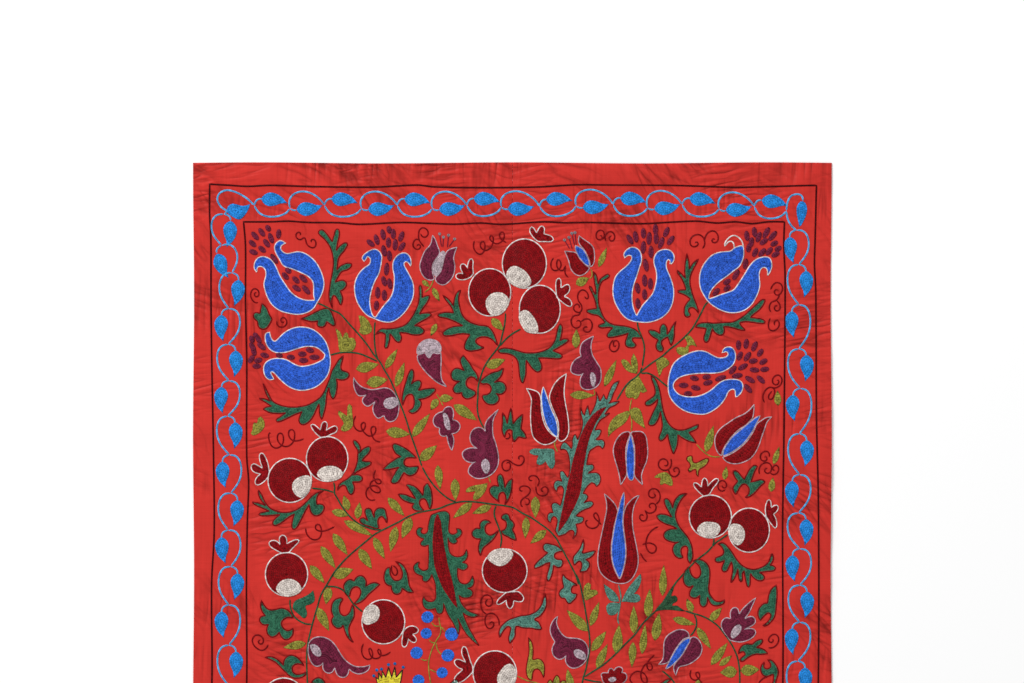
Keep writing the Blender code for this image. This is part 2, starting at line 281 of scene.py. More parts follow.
# Whole pomegranates: centre, half width, half height, the ivory cap, and the crown's outline
POMEGRANATES = [
    (
        (-3.55, 20.35), 3.3, 3.7,
        [(-0.5, 21.5), (-0.5, 22.1), (-0.9, 22.9), (-1.5, 23.6), (-2.3, 24), (-3.1, 24), (-3.8, 23.4),
         (-4.15, 22.5), (-4.15, 21.6), (-3.6, 20.8), (-2.8, 20.4), (-1.9, 20.35), (-1.1, 20.7)],
        [(-6.1, 17.4, 1), (-6.2, 16.3), (-6.15, 15.4), (-6.5, 15.05), (-6.9, 15.7), (-7.05, 16.6, 1),
         (-7.3, 16.1), (-7.9, 15.9), (-8.15, 16.4), (-7.9, 17.1), (-7.7, 17.45, 1), (-8.4, 17.35),
         (-8.9, 17.8), (-8.5, 18.3), (-7.4, 18.35), (-6.5, 17.95, 1)],
    ),
    (
        (1.88, 15.85), 3.45, 3.85,
        [(-0.85, 17.05), (-0.3, 16.4), (0.27, 16.2), (1.15, 16.45), (2.1, 17.1), (2.75, 18), (3, 18.8),
         (2.6, 19.4), (1.65, 19.7), (0.7, 19.5), (-0.2, 19.05), (-0.75, 18.5), (-0.95, 17.7)],
        [(3.9, 12.3, 1), (3.4, 11.85), (2.9, 11.2), (2.7, 10.65), (3, 10.1), (3.4, 10.4), (3.8, 11.1, 1),
         (4.2, 10.25), (4.6, 9.95), (5, 10.3), (4.95, 11.2, 1), (5.5, 11.35), (6.15, 11.6), (6.45, 12.15),
         (6.1, 12.4), (5.2, 12.4), (4.2, 12.4)],
    ),
    (
        (4.3, 23), 3.2, 3.75,
        [(1.05, 23.65), (1.5, 23.25), (2.05, 23.1), (2.75, 23.5), (3.4, 24.3), (3.9, 25.25), (4.05, 26.05),
         (3.95, 26.7), (3.1, 26.8), (2.1, 26.5), (1.5, 25.7), (1.05, 24.75)],
        [(6.95, 21.15, 1), (6.85, 20.1), (6.8, 18.95), (7, 18.25), (7.35, 18.15), (7.6, 18.55),
         (7.6, 19.7, 1), (8.15, 19.3), (8.7, 19.1), (9, 19.55), (8.8, 20.35), (8.05, 21, 1), (8.8, 21.3),
         (9.25, 21.85), (9.25, 22.5), (8.7, 22.5), (7.9, 21.95), (7.25, 21.4)],
    ),
    (
        (31, 55.45), 3.3, 3.35,
        [(28.9, 57.6), (29.3, 56.8), (30.1, 56.3), (31.2, 56.3), (32.2, 56.6), (32.6, 57.4), (32.3, 58.1),
         (31.5, 58.7), (30.5, 58.8), (29.6, 58.5)],
        [(29.9, 52.25, 1), (29.2, 51.6), (28.5, 50.8), (28.4, 50.2), (29, 50.3), (29.6, 50.9, 1),
         (29.7, 50), (30.1, 49.4), (30.5, 49.9), (30.6, 50.7, 1), (31.2, 50), (31.9, 49.5), (32.3, 49.6),
         (32, 50.3), (31.4, 51), (30.9, 51.9), (30.5, 52.2, 1)],
    ),
    (
        (37.05, 57.6), 3.2, 3.45,
        [(34, 57), (34.4, 56.6), (35.2, 56.6), (36, 57), (36.4, 57.9), (36.3, 59), (35.6, 59.9),
         (34.8, 59.8), (34.2, 59), (33.8, 58)],
        [(39.7, 55.35, 1), (39.6, 54.3), (39.8, 53.3), (40.2, 52.8), (40.5, 53.3), (40.5, 54.1, 1),
         (41.1, 53.7), (41.6, 53.8), (41.5, 54.5), (40.9, 55.1, 1), (41.3, 55.9), (41.4, 57), (41.2, 57.3),
         (40.6, 56.7), (40.15, 56.1, 1)],
    ),
    (
        (-29, 46.45), 3.25, 3.5,
        [(-30.6, 48.9), (-30.3, 48.2), (-29.6, 47.7), (-28.6, 47.5), (-27.5, 47.7), (-26.7, 48.3),
         (-26.5, 48.9), (-27, 49.5), (-28, 49.9), (-29.1, 50), (-30, 49.6)],
        [(-29.2, 43, 1), (-28.35, 42.55), (-27.6, 42.2), (-27.4, 41.55), (-27.7, 41.25), (-28.5, 41.55),
         (-29.15, 41.95, 1), (-29, 40.9), (-29.4, 40.55), (-29.8, 40.9), (-30.05, 41.95, 1), (-30.6, 41.4),
         (-31.25, 41), (-31.55, 41.15), (-31.25, 41.85), (-30.6, 42.6), (-29.95, 43.1, 1)],
    ),
    (
        (-34.85, 49.8), 3.4, 3.45,
        [(-34.5, 50.9), (-34.4, 50.2), (-33.8, 49.5), (-32.9, 49.1), (-32, 49), (-31.5, 49.4),
         (-31.4, 50.3), (-31.7, 51.2), (-32.2, 52), (-33, 52.5), (-33.8, 52.2), (-34.3, 51.6)],
        [(-38.05, 48.4, 1), (-38.3, 47.1), (-38.7, 46.1), (-39.2, 45.5), (-39.6, 45.8), (-39.5, 46.8),
         (-39.1, 47.9, 1), (-39.8, 47.5), (-40.5, 47.2), (-40.9, 47.6), (-40.7, 48.3), (-39.9, 48.7),
         (-39.4, 48.8, 1), (-40, 49.3), (-40.3, 50), (-40.1, 50.5), (-39.5, 50.4), (-38.8, 49.9),
         (-38.25, 49.3, 1)],
    ),
    (
        (-35.35, 64.5), 3.3, 3.4,
        [(-37, 66.8), (-36.5, 65.8), (-35.7, 65.3), (-34.8, 65.2), (-33.9, 65.5), (-33.2, 66.2),
         (-33, 66.9), (-33.5, 67.5), (-34.4, 67.9), (-35.4, 68), (-36.4, 67.6)],
        [(-36.1, 61.2, 1), (-37, 60.7), (-37.8, 60.2), (-38.1, 59.6), (-37.6, 59.2), (-36.9, 59.3),
         (-36.3, 59.9, 1), (-36.5, 59.2), (-36.3, 58.5), (-35.8, 58.4), (-35.4, 58.8), (-35.3, 59.7, 1),
         (-34.7, 59.4), (-34, 59.1), (-33.4, 59.2), (-33.8, 59.8), (-34.4, 60.4), (-35, 61.1, 1)],
    ),
    (
        (-1.2, 63.95), 3.5, 3.4,
        [(-4, 61.9), (-3.5, 61.1), (-2.7, 60.6), (-1.6, 60.4), (-0.6, 60.6), (0.1, 61.1), (0.1, 61.7),
         (-0.5, 62.5), (-1.3, 63.1), (-2.2, 63.2), (-3.1, 62.8), (-3.7, 62.3)],
        [(-1, 67.35, 1), (-1.6, 67.9), (-2.3, 68.6), (-2.4, 69.2), (-1.6, 69), (-0.95, 68.5, 1),
         (-0.9, 69.2), (-0.4, 69.9), (0.1, 69.4), (0.2, 68.6, 1), (0.9, 68.8), (1.6, 68.7), (1.8, 68.3),
         (1.5, 67.7), (0.9, 67.2), (0.5, 67.2, 1)],
    ),
    (
        (-20.2, 71.95), 3.35, 3.45,
        [(-23.5, 71.9), (-23.5, 71), (-23.3, 70.2), (-22.8, 69.5), (-22.1, 69.2), (-21.3, 69.4),
         (-20.8, 70.1), (-20.8, 71), (-21.2, 71.8), (-21.9, 72.2), (-22.8, 72.4)],
        [(-17.1, 73.5, 1), (-16.6, 72.9), (-15.9, 72.6), (-15.2, 72.7), (-14.7, 73.2), (-15, 73.7),
         (-15.7, 73.9, 1), (-15.2, 74.3), (-15, 74.9), (-15.3, 75.2), (-15.9, 75), (-16.3, 74.6, 1),
         (-16.4, 75.3), (-16.8, 75.9), (-17.2, 75.8), (-17.3, 75.1), (-17.2, 74.3)],
    ),
    (
        (-2.75, 79.95), 3.4, 3.45,
        [(-1.8, 79.5), (-1.2, 78.8), (-0.5, 78.5), (0.1, 78.7), (0.5, 79.4), (0.6, 80.4), (0.3, 81.5),
         (-0.4, 82.3), (-1.3, 82.5), (-2, 82), (-2.4, 81.2), (-2.3, 80.3)],
        [(-6.2, 79, 1), (-6.6, 78), (-6.9, 77), (-7.2, 76.1), (-7.6, 75.8), (-7.9, 76.2), (-7.9, 77),
         (-7.6, 77.7), (-7.3, 78.3, 1), (-7.9, 78), (-8.6, 77.8), (-9.1, 78.1), (-8.9, 78.7), (-8.3, 79.2),
         (-7.7, 79.4, 1), (-8.3, 79.9), (-8.9, 80.5), (-9.1, 81.1), (-8.8, 81.5), (-7.9, 81.3), (-7, 80.6),
         (-6.2, 79.8, 1)],
    ),
    (
        (-35.8, 84.15), 3.3, 3.4,
        [(-37.2, 86.3), (-36.7, 85.4), (-35.8, 85), (-34.9, 85.3), (-34.3, 86.1), (-34.6, 86.9),
         (-35.5, 87.4), (-36.6, 87.2)],
        [(-33, 82.3, 1), (-32.4, 81.8), (-31.9, 82.3), (-31.6, 83), (-32.2, 83.4), (-32.5, 83.6, 1)],
    ),
]

# Flowers, each as a name and its parts: (thread, edging thread or None, outline)
FLOWERS = [
    (
        "tulip_1",
        [
            (
                "plum", "silver",
                [(-12.5, 11.4, 1), (-12.8, 12.8), (-13.7, 13.9), (-14.2, 15.05), (-14.5, 16.25),
                 (-14.15, 17.5), (-13.35, 18.3), (-12.3, 18.3), (-12.5, 17.4), (-12.5, 16.25),
                 (-12.1, 15.3), (-11.4, 14.2), (-11.75, 13), (-12.1, 12)],
            ),
            (
                "silver", "silver",
                [(-10.9, 13.9), (-10.5, 14.2), (-10.8, 15.4), (-10.9, 16.1), (-11.4, 17.2), (-12, 17.9, 1),
                 (-12.5, 17.05), (-12.5, 16.1), (-12.1, 15.3), (-11.4, 14.4)],
            ),
            (
                "plum", "silver",
                [(-8.7, 13.3, 1), (-9, 14.1), (-9.2, 15.05), (-9, 16.25), (-9.25, 17.7), (-9.97, 18.7),
                 (-10.9, 19.2), (-11.9, 18.7), (-12.1, 18.1, 1), (-11.2, 17.05), (-10.9, 15.6),
                 (-10.6, 14.7), (-10.2, 13.9), (-9.5, 13.5)],
            ),
        ],
    ),
    (
        "bud_1",
        [
            (
                "silver", "silver",
                [(-13, 27.7), (-14.15, 28.1), (-14.9, 29.1), (-14.9, 30.1, 1), (-14.15, 29.8),
                 (-13.7, 29.6), (-13.4, 30.1), (-13, 30.5), (-12.7, 29.9), (-12.4, 29.6), (-11.7, 29.8),
                 (-11.2, 29.6, 1), (-11.2, 28.8), (-11.7, 28.05)],
            ),
            (
                "plum", "silver",
                [(-11.2, 29.8, 1), (-11.15, 31), (-11.2, 32.9), (-11, 34.15), (-10.25, 35.15, 1),
                 (-11.6, 34.55), (-12.9, 33.5), (-14.15, 32.1), (-14.8, 31), (-14.9, 30.2, 1),
                 (-14.15, 29.95), (-13.7, 29.8), (-13.4, 30.3), (-13, 30.65), (-12.7, 30.1), (-12.4, 29.8),
                 (-11.7, 30)],
            ),
        ],
    ),
    (
        "tulip_2",
        [
            (
                "garnet", "silver",
                [(8.2, 13.9, 1), (8.55, 14.7), (8.85, 15.5), (9.1, 16.55), (9.65, 17.35), (10.45, 17.75),
                 (11.25, 17.5), (11.9, 16.9), (12.1, 16.5, 1), (11.4, 16), (10.95, 15.5), (10.45, 14.95),
                 (10.05, 14.2), (9.2, 14)],
            ),
            (
                "cobalt", "silver",
                [(9.9, 13.1, 1), (10.5, 13.3), (11.1, 13.75), (11.55, 14.5), (11.9, 15.3),
                 (12.05, 16.25, 1), (11.4, 15.9), (10.95, 15.4), (10.45, 14.8), (10.1, 14.1), (9.9, 13.6)],
            ),
            (
                "garnet", "silver",
                [(10.45, 11.5, 1), (11.25, 12.1), (12.05, 12.65), (12.65, 13.3), (12.85, 14.25),
                 (12.85, 15.35), (12.65, 16), (12.25, 16.4, 1), (12.05, 15.4), (11.6, 14.3), (11.1, 13.5),
                 (10.6, 12.95), (10.35, 12.3)],
            ),
        ],
    ),
    (
        "iris_1",
        [
            (
                "plum", "silver",
                [(-24.85, 33.7, 1), (-24.6, 34.15), (-23.95, 34.9), (-23.15, 35.35), (-22, 35.6),
                 (-20.9, 35.45), (-20.1, 35.3), (-19.3, 35.45), (-18.65, 35.95), (-18.1, 36.75),
                 (-17.8, 37.55), (-17.75, 38.35), (-17.85, 39.15), (-18.1, 39.95), (-18.65, 40.5),
                 (-19.3, 40.6), (-19.85, 40.25), (-20.1, 39.6, 1), (-20.35, 39.75), (-20.6, 39.95),
                 (-21.05, 40.05), (-21.45, 39.7), (-21.8, 39), (-21.8, 38.2), (-21.45, 37.45, 1),
                 (-22, 37.85), (-22.7, 38.2), (-23.25, 37.85), (-23.5, 37.3), (-23.3, 36.8),
                 (-22.85, 36.4, 1), (-23.4, 36.55), (-24.1, 36.5), (-24.6, 35.75), (-24.85, 34.8)],
            ),
            (
                "silver", None,
                [(-20.2, 37.7), (-19.9, 37.1), (-19.1, 36.8), (-18.3, 36.8), (-17.9, 37.3), (-17.9, 37.9),
                 (-18.5, 38.4), (-19.3, 38.65), (-20, 38.3)],
            ),
        ],
    ),
    (
        "quatrefoil",
        [
            (
                "plum", "silver",
                [(-10, 38.25), (-9.5, 38.4), (-9.25, 39), (-9.25, 39.8), (-9.4, 40.35, 1), (-8.85, 40.4),
                 (-8.3, 40.9), (-8.2, 41.55), (-8.7, 42.25), (-9.25, 42.45), (-9.5, 42.45, 1),
                 (-9.2, 43.15), (-9.2, 44.1), (-9.5, 45.15, 1), (-9.9, 44.3), (-10.15, 43.45),
                 (-10.25, 42.75, 1), (-10.65, 42.9), (-11.2, 42.75), (-11.45, 42.2), (-11.35, 41.55, 1),
                 (-11.9, 41.45), (-12.35, 40.9), (-12.35, 40.1), (-11.9, 39.45), (-11.35, 39.15),
                 (-10.85, 39.05, 1), (-10.7, 38.65), (-10.4, 38.35)],
            ),
            (
                "silver", None,
                [(-10.85, 39.2), (-10.3, 39.4), (-9.95, 40.1), (-9.7, 41.25), (-9.75, 41.9), (-10.15, 41.9),
                 (-10.6, 41.25), (-10.8, 40.1)],
            ),
        ],
    ),
    (
        "tulip_3",
        [
            (
                "garnet", "cream",
                [(2.2, 35.4, 1), (2.7, 36.3), (3, 37.2), (2.9, 38.5), (2.85, 40), (2.95, 41.5), (3.2, 42.8),
                 (3.9, 43.7), (5, 44.2), (6, 44), (6.8, 43.5), (7, 43.1, 1), (6.2, 42.6), (5.4, 41.7),
                 (4.9, 40.6), (4.6, 39.3), (4.5, 38.2), (4.45, 37), (4.1, 36.1), (3.4, 35.7)],
            ),
            (
                "cobalt", "cream",
                [(4.85, 35.2, 1), (5.2, 36.2), (5.6, 37.4), (6.1, 38.8), (6.7, 40.1), (7, 41.4),
                 (7.05, 42.4), (6.95, 43, 1), (6.2, 42.3), (5.5, 41.3), (5.1, 40.2), (4.8, 39),
                 (4.65, 37.7), (4.6, 36.5)],
            ),
            (
                "garnet", "cream",
                [(8.45, 33.1, 1), (7.4, 33.8), (6.6, 34.7), (6.1, 35.7), (5.8, 36.8), (6.1, 38),
                 (6.6, 39.2), (7.15, 40.6), (7.25, 42), (7.1, 43.3, 1), (7.6, 43.7), (8.4, 43.2),
                 (8.8, 42.2), (8.8, 40.9), (8.6, 39.3), (8.3, 37.7), (8.1, 36.2), (8.2, 34.6)],
            ),
        ],
    ),
    (
        "bud_2",
        [
            (
                "plum", "silver",
                [(12.7, 27.2, 1), (12.4, 28.1), (12.3, 29), (12.55, 30.2), (13.2, 31.3), (13.8, 32.3),
                 (13.9, 33.2), (13.8, 34.2), (13.3, 35), (12.7, 35.4), (11.7, 35.6), (10.9, 35.3),
                 (10.6, 34.6), (10.7, 33.7), (11.1, 33, 1), (10.6, 33.3), (9.8, 33.2), (9.2, 32.8),
                 (9.2, 32), (9.5, 31.3), (10.1, 30.7), (10.8, 30.35, 1), (10.6, 29.8), (10.7, 28.8),
                 (11.1, 28.1), (11.9, 27.6)],
            ),
            (
                "silver", None,
                [(12.3, 32.9), (12.8, 33), (13.1, 33.8), (13, 34.6), (12.8, 35.2), (12.4, 34.9), (12.2, 34),
                 (12.15, 33.3)],
            ),
        ],
    ),
    (
        "tulip_4",
        [
            (
                "garnet", "silver",
                [(18.4, 42.3), (17.4, 42.3), (16.6, 43), (16, 44.1), (15.8, 45.3), (16.1, 46.7), (16.5, 48),
                 (16.8, 49.3), (16.95, 50.5, 1), (17.4, 49.8), (17.9, 48.8), (17.85, 47.5), (17.75, 46),
                 (17.8, 44.6), (18.2, 43.2)],
            ),
            (
                "cobalt", "silver",
                [(18.5, 42.7, 1), (18.8, 43.8), (19, 45.2), (19.05, 46.7), (19, 48.2), (18.95, 49.3),
                 (18.7, 49.8), (18.3, 49.6), (18, 48.7), (17.9, 47.2), (17.9, 45.6), (18.15, 44)],
            ),
            (
                "garnet", "silver",
                [(18.6, 42.3), (19.3, 42.15), (20.3, 42.2), (20.9, 42.9), (21.1, 44), (21.2, 45.4),
                 (21, 46.8), (20.5, 48), (20.2, 49.1), (20.3, 50), (20.4, 50.5, 1), (19.6, 49.7),
                 (19.1, 49), (19.15, 47.5), (19.15, 46), (19.1, 44.5), (18.8, 43.1)],
            ),
        ],
    ),
    (
        "tulip_5",
        [
            (
                "garnet", "silver",
                [(37.85, 37.9, 1), (37.8, 38.9), (37.6, 40), (37.2, 40.5), (36.6, 41.1), (35.4, 41.9),
                 (34.3, 43), (33.5, 44.1), (32.9, 45.2), (32.75, 45.95, 1), (32.2, 45.5), (31.8, 44.5),
                 (31.7, 43.3), (32.1, 42.3), (32.8, 41.5), (33.8, 40.8), (35, 40), (36.3, 39.4),
                 (37.2, 38.7)],
            ),
            (
                "garnet", "silver",
                [(40.6, 39.85, 1), (39.9, 40.6), (39.5, 41.7), (39, 43.1), (38.6, 44.3), (38, 45.5),
                 (37.2, 46.4), (36, 47), (34.8, 47.2), (33.6, 46.9), (32.9, 46.2, 1), (34.1, 45.7),
                 (35.1, 45.1), (36.1, 44.3), (37, 43.3), (37.8, 42), (38.3, 40.95), (38.9, 40.5),
                 (39.7, 40)],
            ),
            (
                "cobalt", "silver",
                [(38.75, 39.7, 1), (38.2, 40.8), (37.65, 41.9), (36.85, 43.1), (36, 44.1), (35, 44.9),
                 (34, 45.5), (33, 45.95, 1), (33.1, 45.1), (33.8, 43.9), (34.6, 42.9), (35.8, 41.9),
                 (37, 40.9), (38, 40.1)],
            ),
        ],
    ),
    (
        "iris_2",
        [
            (
                "plum", "silver",
                [(-2.2, 38.7, 1), (-2.6, 39.4), (-3, 40.3), (-3.1, 41.5), (-3, 42.8), (-2.6, 44),
                 (-2.3, 45.2), (-2.15, 46.4), (-2.3, 47.5), (-2.8, 48.4), (-3.5, 49), (-4.4, 49.4),
                 (-5.5, 49.5), (-6.4, 49.1), (-6.9, 48.5), (-6.7, 47.7), (-6.1, 47), (-5.7, 46.9, 1),
                 (-6.5, 47), (-7.3, 46.7), (-7.8, 46), (-7.8, 45.4), (-7.2, 44.9), (-6.3, 44.7),
                 (-5.5, 44.8, 1), (-6.2, 44.3), (-6.6, 43.6), (-6.6, 42.7), (-6.2, 41.9), (-5.4, 41.5),
                 (-4.6, 41.7), (-4.2, 42.2, 1), (-4.3, 41.3), (-3.9, 40.3), (-3.1, 39.5)],
            ),
            (
                "silver", None,
                [(-4.2, 46.4), (-3.7, 46.8), (-3.5, 47.6), (-3.7, 48.5), (-4.1, 48.8), (-4.6, 48.3),
                 (-4.9, 47.4), (-4.7, 46.7)],
            ),
        ],
    ),
    (
        "tulip_6",
        [
            (
                "garnet", "silver",
                [(14.4, 51.9, 1), (15.1, 52.5), (15.8, 53.2), (16.3, 54), (16.55, 54.8, 1), (16.2, 56),
                 (15.9, 57.2), (15.7, 58.5), (15.5, 60), (15.5, 61.5), (15.7, 62.8), (16.1, 64),
                 (16.5, 64.8), (16.8, 65.3, 1), (17.1, 64.7), (17.4, 63.7), (17.7, 62.3), (17.8, 61),
                 (17.7, 59.5), (17.5, 58), (17.35, 56.5), (17.4, 55.2), (17.6, 54.4, 1), (17.9, 53.7),
                 (18.5, 53), (19.2, 52.4), (19.9, 52.1, 1), (19.4, 53), (19, 54), (18.8, 55.2),
                 (18.8, 56.3), (18.9, 57.5), (19.2, 59), (19.5, 60.5), (19.7, 62), (19.6, 63.3),
                 (19.2, 64.4), (18.6, 65.3), (17.9, 65.8), (17, 65.95), (16, 65.8), (15.1, 65.4),
                 (14.3, 64.8), (13.7, 64), (13.4, 62.9), (13.4, 61.5), (13.6, 60), (13.9, 58.6),
                 (14.2, 57.2), (14.5, 55.8), (14.75, 54.5), (14.75, 53.4), (14.6, 52.6)],
            ),
            (
                "cobalt", "silver",
                [(17.45, 51.7, 1), (17.5, 52.8), (17.4, 54), (17.3, 55.2), (17.25, 56.5), (17.4, 58),
                 (17.6, 59.5), (17.7, 61), (17.6, 62.3), (17.3, 63.7), (17, 64.7), (16.8, 65.1, 1),
                 (16.5, 64.6), (16.2, 63.9), (15.8, 62.8), (15.6, 61.5), (15.6, 60), (15.8, 58.5),
                 (16.05, 57), (16.35, 55.5), (16.7, 54.2), (17.05, 52.8)],
            ),
        ],
    ),
    (
        "tulip_7",
        [
            (
                "plum", "silver",
                [(27.7, 74.35, 1), (27.5, 73.6), (26.8, 73.2), (25.9, 73.2), (25, 73.6), (24.2, 74.2),
                 (23.8, 75), (23.7, 76), (23.7, 77), (23.5, 77.9), (22.9, 78.6, 1), (23.8, 78.5),
                 (24.5, 78.2, 1), (24.9, 77.4), (25.5, 76.3), (26.2, 75.3), (26.9, 74.6)],
            ),
            (
                "plum", "silver",
                [(27.9, 74.5, 1), (28.4, 74.3), (29, 74.6), (29.5, 75.3), (29.7, 76.2), (29.4, 77.2),
                 (28.7, 77.9), (27.8, 78.5), (26.9, 78.8), (26.1, 79), (25.8, 79.6), (25.6, 80.3, 1),
                 (25.3, 79.6), (25.3, 78.8), (25.7, 78.2, 1), (26.2, 77.6), (26.8, 76.8), (27.3, 75.9),
                 (27.7, 75.1)],
            ),
            (
                "cobalt", "silver",
                [(27.75, 74.5, 1), (27.75, 75), (27.3, 75.7), (26.8, 76.6), (26.3, 77.4), (25.7, 78),
                 (25, 78.7), (24, 79.35, 1), (24.5, 78.4), (25, 77.4), (25.6, 76.4), (26.3, 75.4),
                 (27, 74.8)],
            ),
        ],
    ),
    (
        "iris_3",
        [
            (
                "plum", "silver",
                [(-31.9, 75.3, 1), (-31.3, 74.6), (-30.4, 74.3), (-29.4, 74.4), (-28.4, 74.9),
                 (-27.6, 75.8), (-27, 76.8), (-26.3, 77.8), (-25.6, 78.4), (-24.7, 78.9), (-23.7, 79),
                 (-22.9, 78.9), (-22.3, 78.7, 1), (-22.5, 79.4), (-23.2, 79.9), (-24.1, 80.1), (-25, 79.8),
                 (-25.6, 79.3, 1), (-25.7, 80), (-26.2, 80.6), (-26.9, 80.6), (-27.5, 80.1),
                 (-27.8, 79.1, 1), (-28.2, 79.8), (-28.8, 80), (-29.5, 79.6), (-29.7, 79), (-29.6, 78.3, 1),
                 (-30.1, 78.8), (-30.8, 78.9), (-31.4, 78.4), (-31.8, 77.5), (-32, 76.4)],
            ),
            (
                "silver", None,
                [(-31.7, 75.6), (-31.2, 75.4), (-30.5, 75.7), (-30, 76.4), (-29.9, 77.1), (-30.3, 77.4),
                 (-30.9, 77.2), (-31.4, 76.6)],
            ),
        ],
    ),
    (
        "iris_4",
        [
            (
                "plum", "silver",
                [(7.1, 71.1, 1), (6.9, 72), (7.2, 73), (7.8, 73.9), (8.5, 74.4), (9.5, 74.5), (10.4, 74.6),
                 (11.2, 75), (11.7, 75.7), (11.9, 76.6), (11.7, 77.6), (11.2, 78.4), (10.4, 79),
                 (9.4, 79.2), (8.7, 78.8), (8.3, 78), (8.4, 77.2, 1), (7.9, 77.7), (7.2, 77.8), (6.5, 77.3),
                 (6.2, 76.4), (6.4, 75.6), (6.7, 75.1, 1), (6.2, 74.3), (5.9, 73.3), (6.1, 72.3),
                 (6.6, 71.5)],
            ),
            (
                "silver", None,
                [(9.6, 76.5), (10.1, 76.2), (10.8, 76.4), (11.4, 76.9), (11.6, 77.5), (11.3, 77.9),
                 (10.7, 77.8), (10, 77.5), (9.7, 77.1)],
            ),
        ],
    ),
    (
        "iris_5",
        [
            (
                "plum", "silver",
                [(38.1, 68.2, 1), (37.6, 69.3), (37.1, 70.4), (36.3, 71.5, 1), (36.9, 71.2), (37.5, 71.1),
                 (38, 71.5), (38, 72.1), (37.4, 72.6), (36.3, 73.1, 1), (37, 73), (37.8, 73.1),
                 (38.1, 73.6), (37.8, 74.2), (36.9, 74.8), (35.8, 75.1), (34.8, 75), (34, 74.8, 1),
                 (33.4, 74), (32.9, 73.2), (32.7, 72.4), (32.9, 71.7), (33.5, 71.3), (34.2, 71.5, 1),
                 (34.1, 70.7), (34.4, 69.9), (35, 69.7), (35.4, 70.1), (35.5, 70.8, 1), (36, 70),
                 (36.7, 69.3), (37.4, 68.7)],
            ),
            (
                "silver", None,
                [(34.2, 74.3), (34.2, 73.7), (34.6, 72.9), (35.2, 72.4), (35.7, 72.4), (35.9, 73),
                 (35.6, 73.7), (35, 74.3), (34.5, 74.6)],
            ),
        ],
    ),
    (
        "bud_3",
        [
            (
                "garnet", "silver",
                [(14, 80.6), (13.9, 80.1), (14.4, 79.9), (15, 80, 1), (15.1, 79.4), (15.5, 79.2),
                 (15.9, 79.6, 1), (16.3, 79.1), (16.9, 79), (17.3, 79.4), (17.1, 79.9, 1), (17.7, 80),
                 (17.95, 80.6), (17.7, 81.2), (17.2, 81.6), (16.4, 82.2), (15.5, 82.2), (14.5, 81.7),
                 (14.1, 81.1)],
            ),
            (
                "silver", None,
                [(15, 80.9), (15.5, 80.6), (16.1, 80.6), (16.3, 80.9), (16, 81.3), (15.4, 81.4)],
            ),
        ],
    ),
]

# Stamens: foot, tip. The tips carry a silver knot.
STAMENS = [
    ((-11.1, 13.3), (-11.4, 11.2)), ((-10.9, 13.4), (-10.8, 11.7)), ((-10.2, 13.4), (-10, 11.4)),
    ((-10, 13.3), (-9.05, 12)), ((9, 13.6), (8.15, 12.15)), ((9.4, 13.7), (8.85, 11.75)),
    ((9.75, 13.1), (9.3, 11.1)), ((10, 13), (9.8, 11)),
]

